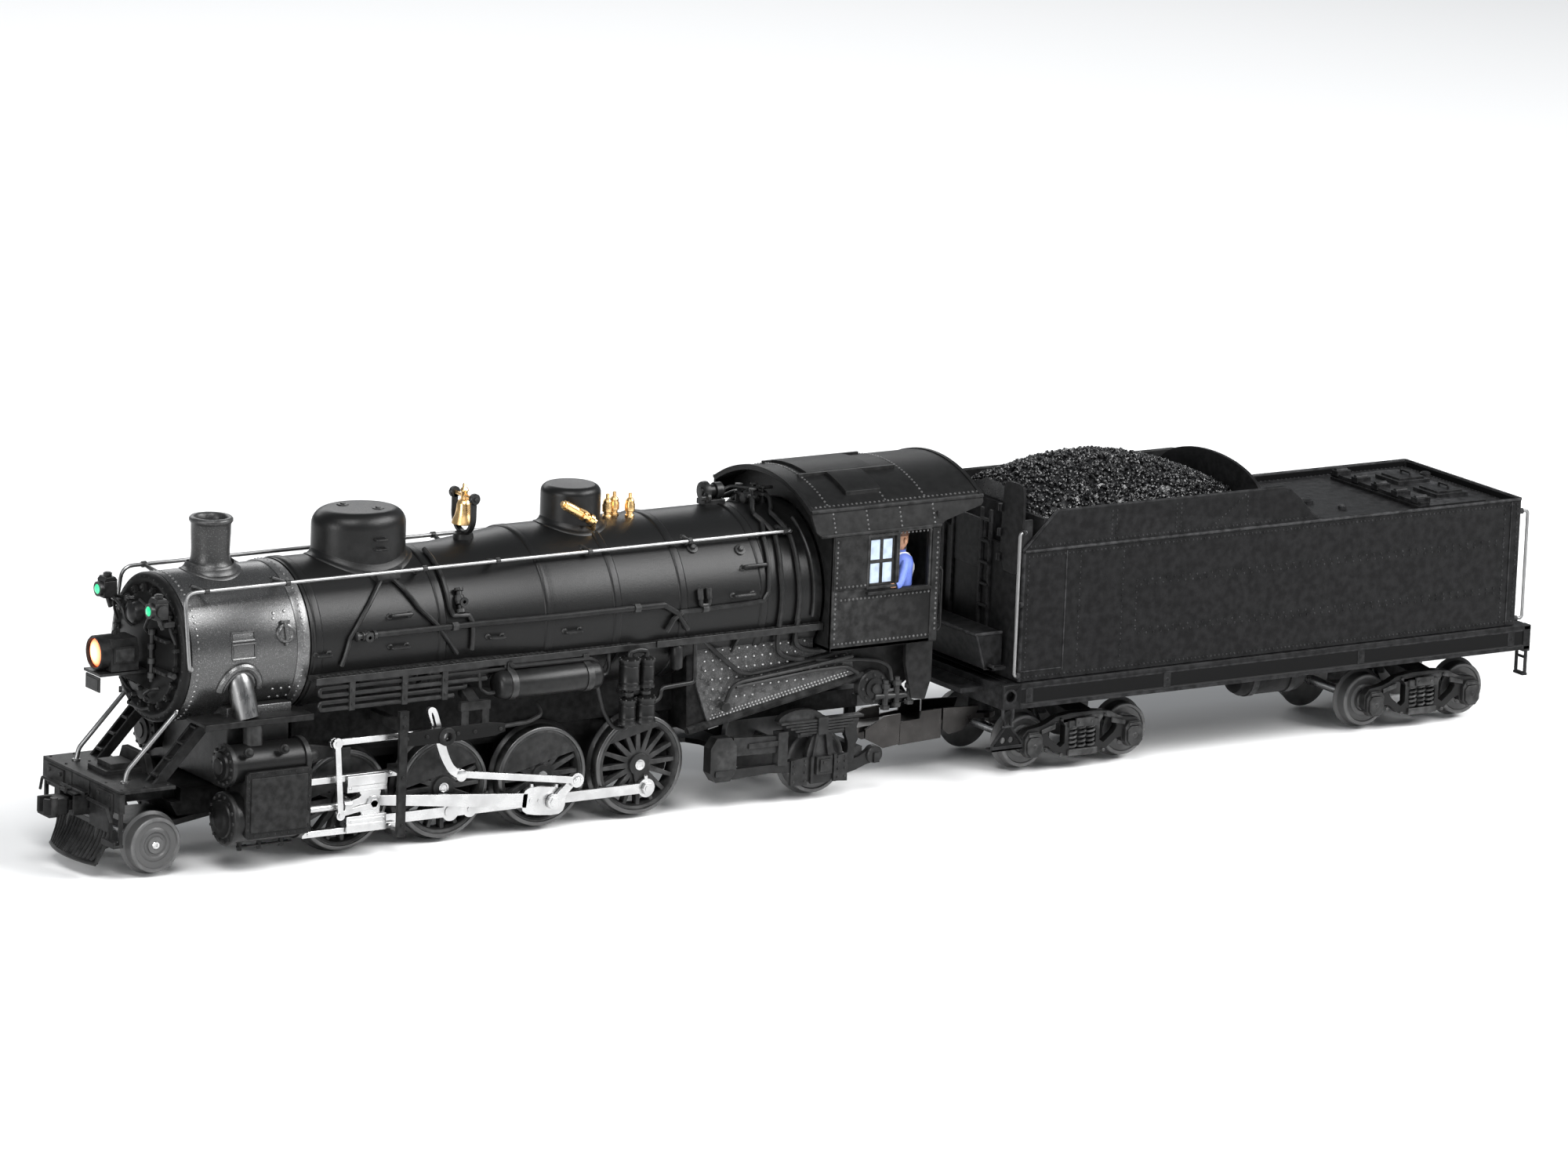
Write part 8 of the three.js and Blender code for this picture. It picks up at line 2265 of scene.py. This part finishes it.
def front_step(made):
    """Drilled plate on the end of the front beam, with its hanger and triangular step."""
    (a, b), c = END_BEAM_X, sum(END_BEAM_X) / 2 - 1.1
    made.prism([(a, 23.4), (a, 31.4), (b, 31.4), (b, 23.4)], "y", (-SILL_Y, -30.9),
               holes=[circle((c + 0.4, 27.6), 1.7, 24)])
    made.turned([(1.7, -SILL_Y), (2.4, -SILL_Y), (2.2, -SILL_Y - 0.06), (1.7, -SILL_Y - 0.06)], "y",
                (c + 0.4, 0, 27.6), 24, ring=True)
    for way in (-1, 1):
        made.tube([(c + way * 1.9, -32.4, 24), (c + way * 1.9, -32.4, 20.6), (c + way * 1.2, -32.4, 19.6),
                   (c + way * 1.2, -32.4, 17.6), (c + way * 5.6, -32.4, 12.0),
                   (c + way * 5.6, -32.4, 10.4)], 0.5, 8)
    made.tube([(c - 2.2, -32.4, 17.8), (c + 2.2, -32.4, 17.8)], 0.5, 8)
    made.prism([(c - 1.4, 17.6), (c - 4.9, 11.4), (c + 4.9, 11.4), (c + 1.4, 17.6)], "y", (-32.6, -32.0),
               holes=[circle((c + u, 13.4), 1.0, 16) for u in (-1.5, 1.5)])
    made.box((c - 6.0, c + 6.0), (-SILL_Y, -29.4), (10.0, 10.9))
    made.box((c - 6.0, c + 6.0), (-SILL_Y, -32.5), (10.0, 11.7))


def tender_frame():
    """Side sills, end beams, steps, truck centres, hopper box and air reservoir."""
    made = Solid()
    (x0, x1), (z0, z1) = SILL_X, SILL_Z
    channel = [(-SILL_Y, z1), (-SILL_Y, 29.9), (-32.6, 29.5), (-32.6, 24.9), (-SILL_Y, 24.6), (-SILL_Y, z0),
               (-29.6, z0), (-29.6, z1)]
    for side in both_sides(made):
        made.prism(channel, "x", (END_BEAM_X[1] - 0.1, x1))
        for x in (172.6, 226, 303, 364):
            made.box((x - 1.4, x + 1.4), (-32.8, -31.4), (24.8, 29.6))
            made.studs([((x, -32.5, 27.2), OUT)], 0.8, 0.5, 6, domed=False)
        made.prism([(-SILL_Y, 22.6), (-SILL_Y, 31.3), (-26, 31.3), (-26, 22.6)], "x", (x1 - 2.8, x1),
                   holes=[circle((-29.8, 27.0), 1.8, 20)])
        made.turned([(1.8, x1), (2.5, x1), (2.3, x1 + 0.3), (1.8, x1 + 0.3)], "x", (0, -29.8, 27.0), 24,
                    ring=True)
        front_step(made)
        made.tube([(x1 - 1.2, -32.4, 25), (x1 - 1.2, -32.4, 14.8), (x1 - 1.2, -27.6, 14.8),
                   (x1 - 1.2, -27.6, 25)], 0.6, 8, bend=0.8)
        made.box((x1 - 2.2, x1 - 0.2), (-32.6, -27.4), (14.3, 15.2))
        made.tube([(x1 - 1.2, -32.4, 20.4), (x1 - 1.2, -27.6, 20.4)], 0.5, 8)
        made.box((161.2, 166.4), (-28.0, -24.4), (35.3, 36.3))
        made.box((161.2, 161.9), (-28.0, -24.4), (35.3, 37.1))
    made.box((x0 + 0.1, x1 - 0.1), (-31, 31), (29.1, z1 - 0.12))
    made.box(END_BEAM_X, (-30.8, 30.8), (23.4, 31.2))
    made.prism([(156.6, 46.9), (156.6, 45.6), (160.3, 35.1), (x0 + 0.4, 35.1), (x0 + 0.4, 46.9)], "y",
               (-24.7, 24.7))
    made.tube([(x0, -24.8, 46.9), (156.5, -24.8, 46.9), (156.5, 24.8, 46.9), (x0, 24.8, 46.9)], 0.5, 8)
    for end_y in (-24.8, 24.8):
        made.tube([(156.7, end_y, 46.6), (160.2, end_y, 35.3), (x0, end_y, 35.3)], 0.35, 6)
    made.box((x1 - 2.8, x1 - 0.1), (-26.5, 26.5), (z0, 29.6))
    for x in TRUCK_X:
        made.turned([(0, 19.4), (6.6, 19.4), (7, 19.8), (7, 26), (10, 29.4), (0, 29.4)], "z", (x, 0, 0), 40)
        made.turned(rectangle((0, 2.2), (11.8, 20)), "z", (x, 0, 0), 24)
        made.box((x - 4, x + 4), (-30.4, 30.4), (24.6, 29.4))
    made.turned(rectangle((0, 4), (15.6, 29.4)), "z", (DRAWBAR_PINS[1], 0, 0), 28)
    made.turned(rectangle((0, 2.0), (11.5, 16)), "z", (DRAWBAR_PINS[1], 0, 0), 24)
    made.turned(rectangle((0, 3), (20.2, 29.4)), "z", (COUPLER_PIVOT_X, 0, 0), 28)
    for y in (-9, 9):
        made.box((205, 330), (y - 1.6, y + 1.6), (25.4, 29.4))
    made.turned([(0, 262), (3.4, 262.2), (5.8, 263.2), (7, 265.4), (7, 286.6), (5.8, 288.8), (3.4, 289.8),
                 (0, 290)], "x", (0, -17, 21.5), 40)
    for x in (268, 283):
        made.turned(rectangle((6.4, 7.35), (x - 1.2, x + 1.2)), "x", (0, -17, 21.5), 40, ring=True)
        made.box((x - 1.2, x + 1.2), (-19, -15), (27.6, 29.4))
    made.box((153.4, x0 + 1), (-22, 22), (27.4, 29))
    made.piece("tender_underframe", TENDER_PAINT, "tender", bevel=0.2, replaces=["tender_frame"])


# ------------------------------------------------------------------ couplings

def drawbar():
    """Bar between locomotive and tender, with the plates beside it."""
    made = Solid()
    pins = [(x, 0) for x in DRAWBAR_PINS]
    made.prism(linked_eyes(pins, [5, 5], 4.2), "z", (13.3, 15.1),
               holes=[circle(pin, 2.4, 24) for pin in pins])
    front = [(128, 11.6), (133, 9.0), (135, 7.8), (141.4, 8.6), (141.4, 18.6), (135, 18.2), (133, 17.0),
             (128, 14.6)]
    middle = [(141, 8.2), (157, 9.0), (157, 18.8), (149, 18.6), (148.6, 16.2), (142, 15.8), (141, 15)]
    rear = [(157.6, 11.6), (160, 9.8), (165, 10.6), (170, 14.6), (171.4, 18.2), (157.6, 18.8)]
    for y in (-6.6, 5.8):
        for plate in (front, middle, rear):
            made.prism(plate, "y", (y, y + 0.8))
    made.box((144, 160), (-6.2, 6.2), (13.5, 14.9))
    made.piece("drawbar_plates", DARK_STEEL, "drawbar", bevel=0.15, replaces=["drawbar"])


def rear_coupler():
    """Coupler casting behind the tender with its own swinging knuckle."""
    made = Solid()
    pivot, pin_x, pin_y = COUPLER_PIVOT_X, 386.5, -4.0
    made.prism([(pivot, -2.2), (380, -2.4), (381, -5.2), (384, -5.6), (384.4, 3.6), (388, 3.8), (391, 4.6),
                (390.6, 5.8), (381, 5.8), (380, 2.4), (pivot, 2.2)], "z", (17.0, 20.0))
    made.turned(rectangle((0, 3.4), (17, 20)), "z", (pivot, 0, 0), 28)
    for low, high in ((15.4, 17.1), (19.9, 21.6)):
        made.prism(smooth([(379.4, -4.6), (384.0, -5.9), (388.2, -5.8), (388.4, -2.4), (384.6, -2.0),
                           (384.6, 3.6), (390.4, 4.4), (390.4, 5.8), (380.4, 5.8)], 1), "z", (low, high))
    made.piece("rear_coupler_casting", CAB_BLACK, "rear_coupler", bevel=0.2, replaces=["rear_coupler"])
    knuckle = Solid()
    knuckle.turned(rectangle((0, 1.8), (17.3, 19.7)), "z", (pin_x, pin_y, 0), 24)
    knuckle.prism(smooth([(pin_x - 0.6, pin_y - 1.6), (pin_x + 3.2, pin_y - 0.8),
                          (pin_x + 5.2, pin_y + 1.6), (pin_x + 5.2, pin_y + 5.4),
                          (pin_x + 3.2, pin_y + 5.4), (pin_x + 2.4, pin_y + 2.4), (pin_x, pin_y + 1.6)], 1),
                  "z", (17.3, 19.7))
    knuckle.piece("knuckle_casting", CAB_BLACK, "rear_knuckle", bevel=0.2, replaces=["rear_knuckle"])


tank()
tank_rivets()
tender_handrails()
coal()
tender_frame()
drawbar()
rear_coupler()


# ------------------------------------------------------------------ CAD parts kept as they are

KEPT = {"chassis_frame": PITCH, "motor": MOTOR_CAN, "motor_shaft": DULL_BRASS, "pickup_arm": STEEL,
        "pickup_roller": STEEL, "pony_frame": CAB_BLACK, "smoke_unit": BOARD_GREEN, "speaker": CONE_BLACK,
        "circuit_board": BOARD_GREEN, "sound_switch": KNOB,}
for kept_name, kept_finish in KEPT.items():
    keep_node(kept_name, kept_finish)


# ------------------------------------------------------------------ scene

def photograph_camera():
    """Camera fitted to the photograph."""
    data = bpy.data.cameras.new("camera")
    data.lens, data.sensor_width = 212.3, 36.0
    data.clip_start, data.clip_end = 0.05, 50
    camera = bpy.data.objects.new("camera", data)
    bpy.context.scene.collection.objects.link(camera)
    azimuth, elevation, roll = (math.radians(a) for a in (33.228, 13.078, 2.273))
    distance = 2.9153
    ahead = Vector((math.sin(azimuth) * math.cos(elevation), math.cos(azimuth) * math.cos(elevation),
                    -math.sin(elevation)))
    level = ahead.cross(Vector((0, 0, 1))).normalized()
    upright = level.cross(ahead)
    right = level * math.cos(roll) + upright * math.sin(roll)
    up = upright * math.cos(roll) - level * math.sin(roll)
    target = ORIGIN + Vector((99.32, 0, 62.1)) * MM
    turn = Matrix((right, up, -ahead)).transposed().to_4x4()
    camera.matrix_world = Matrix.Translation(target - ahead * distance) @ turn
    bpy.context.scene.camera = camera


def light(name, place, aim, size, power, shade=(1, 1, 1)):
    """Rectangular lamp at a place, in metres, turned towards another."""
    data = bpy.data.lights.new(name, "AREA")
    data.shape, data.size, data.size_y = "RECTANGLE", size[0], size[1]
    data.energy, data.color = power, shade
    lamp = bpy.data.objects.new(name, data)
    bpy.context.scene.collection.objects.link(lamp)
    lamp.location = ORIGIN + Vector(place)
    lamp.rotation_euler = (Vector(aim) - Vector(place)).to_track_quat("-Z", "Y").to_euler()


def studio():
    """White floor and surroundings, and four lamps."""
    floor_z = cad_bounds[0][2] - 0.0004
    ground = bpy.data.meshes.new("floor")
    reach = 40.0
    ground.from_pydata([(-reach, -reach, floor_z), (reach, -reach, floor_z), (reach, reach, floor_z),
                        (-reach, reach, floor_z)], [], [(0, 1, 2, 3)])
    floor = bpy.data.objects.new("floor", ground)
    pale = Finish("floor_paper", "none")
    ground.materials.append(pale.set(Base_Color=(0.86, 0.86, 0.86, 1), Roughness=0.8,
                                     Normal=pale.bump(pale.noise(1.5, 3), 0.02)))
    bpy.context.scene.collection.objects.link(floor)
    world = bpy.data.worlds.new("studio")
    bpy.context.scene.world = world
    world.use_nodes = True
    tree = world.node_tree
    tree.nodes.clear()
    output = tree.nodes.new("ShaderNodeOutputWorld")
    path = tree.nodes.new("ShaderNodeLightPath")
    choose = tree.nodes.new("ShaderNodeMixShader")
    seen, lit = (tree.nodes.new("ShaderNodeBackground") for _ in range(2))
    lit.inputs["Color"].default_value, lit.inputs["Strength"].default_value = (0.9, 0.95, 1, 1), 0.26
    seen.inputs["Color"].default_value, seen.inputs["Strength"].default_value = (1, 1, 1, 1), 1.0
    tree.links.new(path.outputs["Is Camera Ray"], choose.inputs[0])
    tree.links.new(lit.outputs[0], choose.inputs[1])
    tree.links.new(seen.outputs[0], choose.inputs[2])
    tree.links.new(choose.outputs[0], output.inputs[0])
    light("key", (-0.7, -1.0, 1.5), (0.08, 0, 0.05), (1.0, 0.7), 27)
    light("front", (-1.6, -0.5, 0.35), (0, 0, 0.06), (0.5, 0.7), 14)
    light("side", (1.15, -1.0, 1.2), (0, 0, 0.07), (1.6, 0.8), 58)
    light("back", (0.4, 1.6, 0.8), (0.1, 0, 0.05), (1.6, 0.5), 8)
    bpy.context.scene.view_settings.view_transform = "Standard"


photograph_camera()
studio()
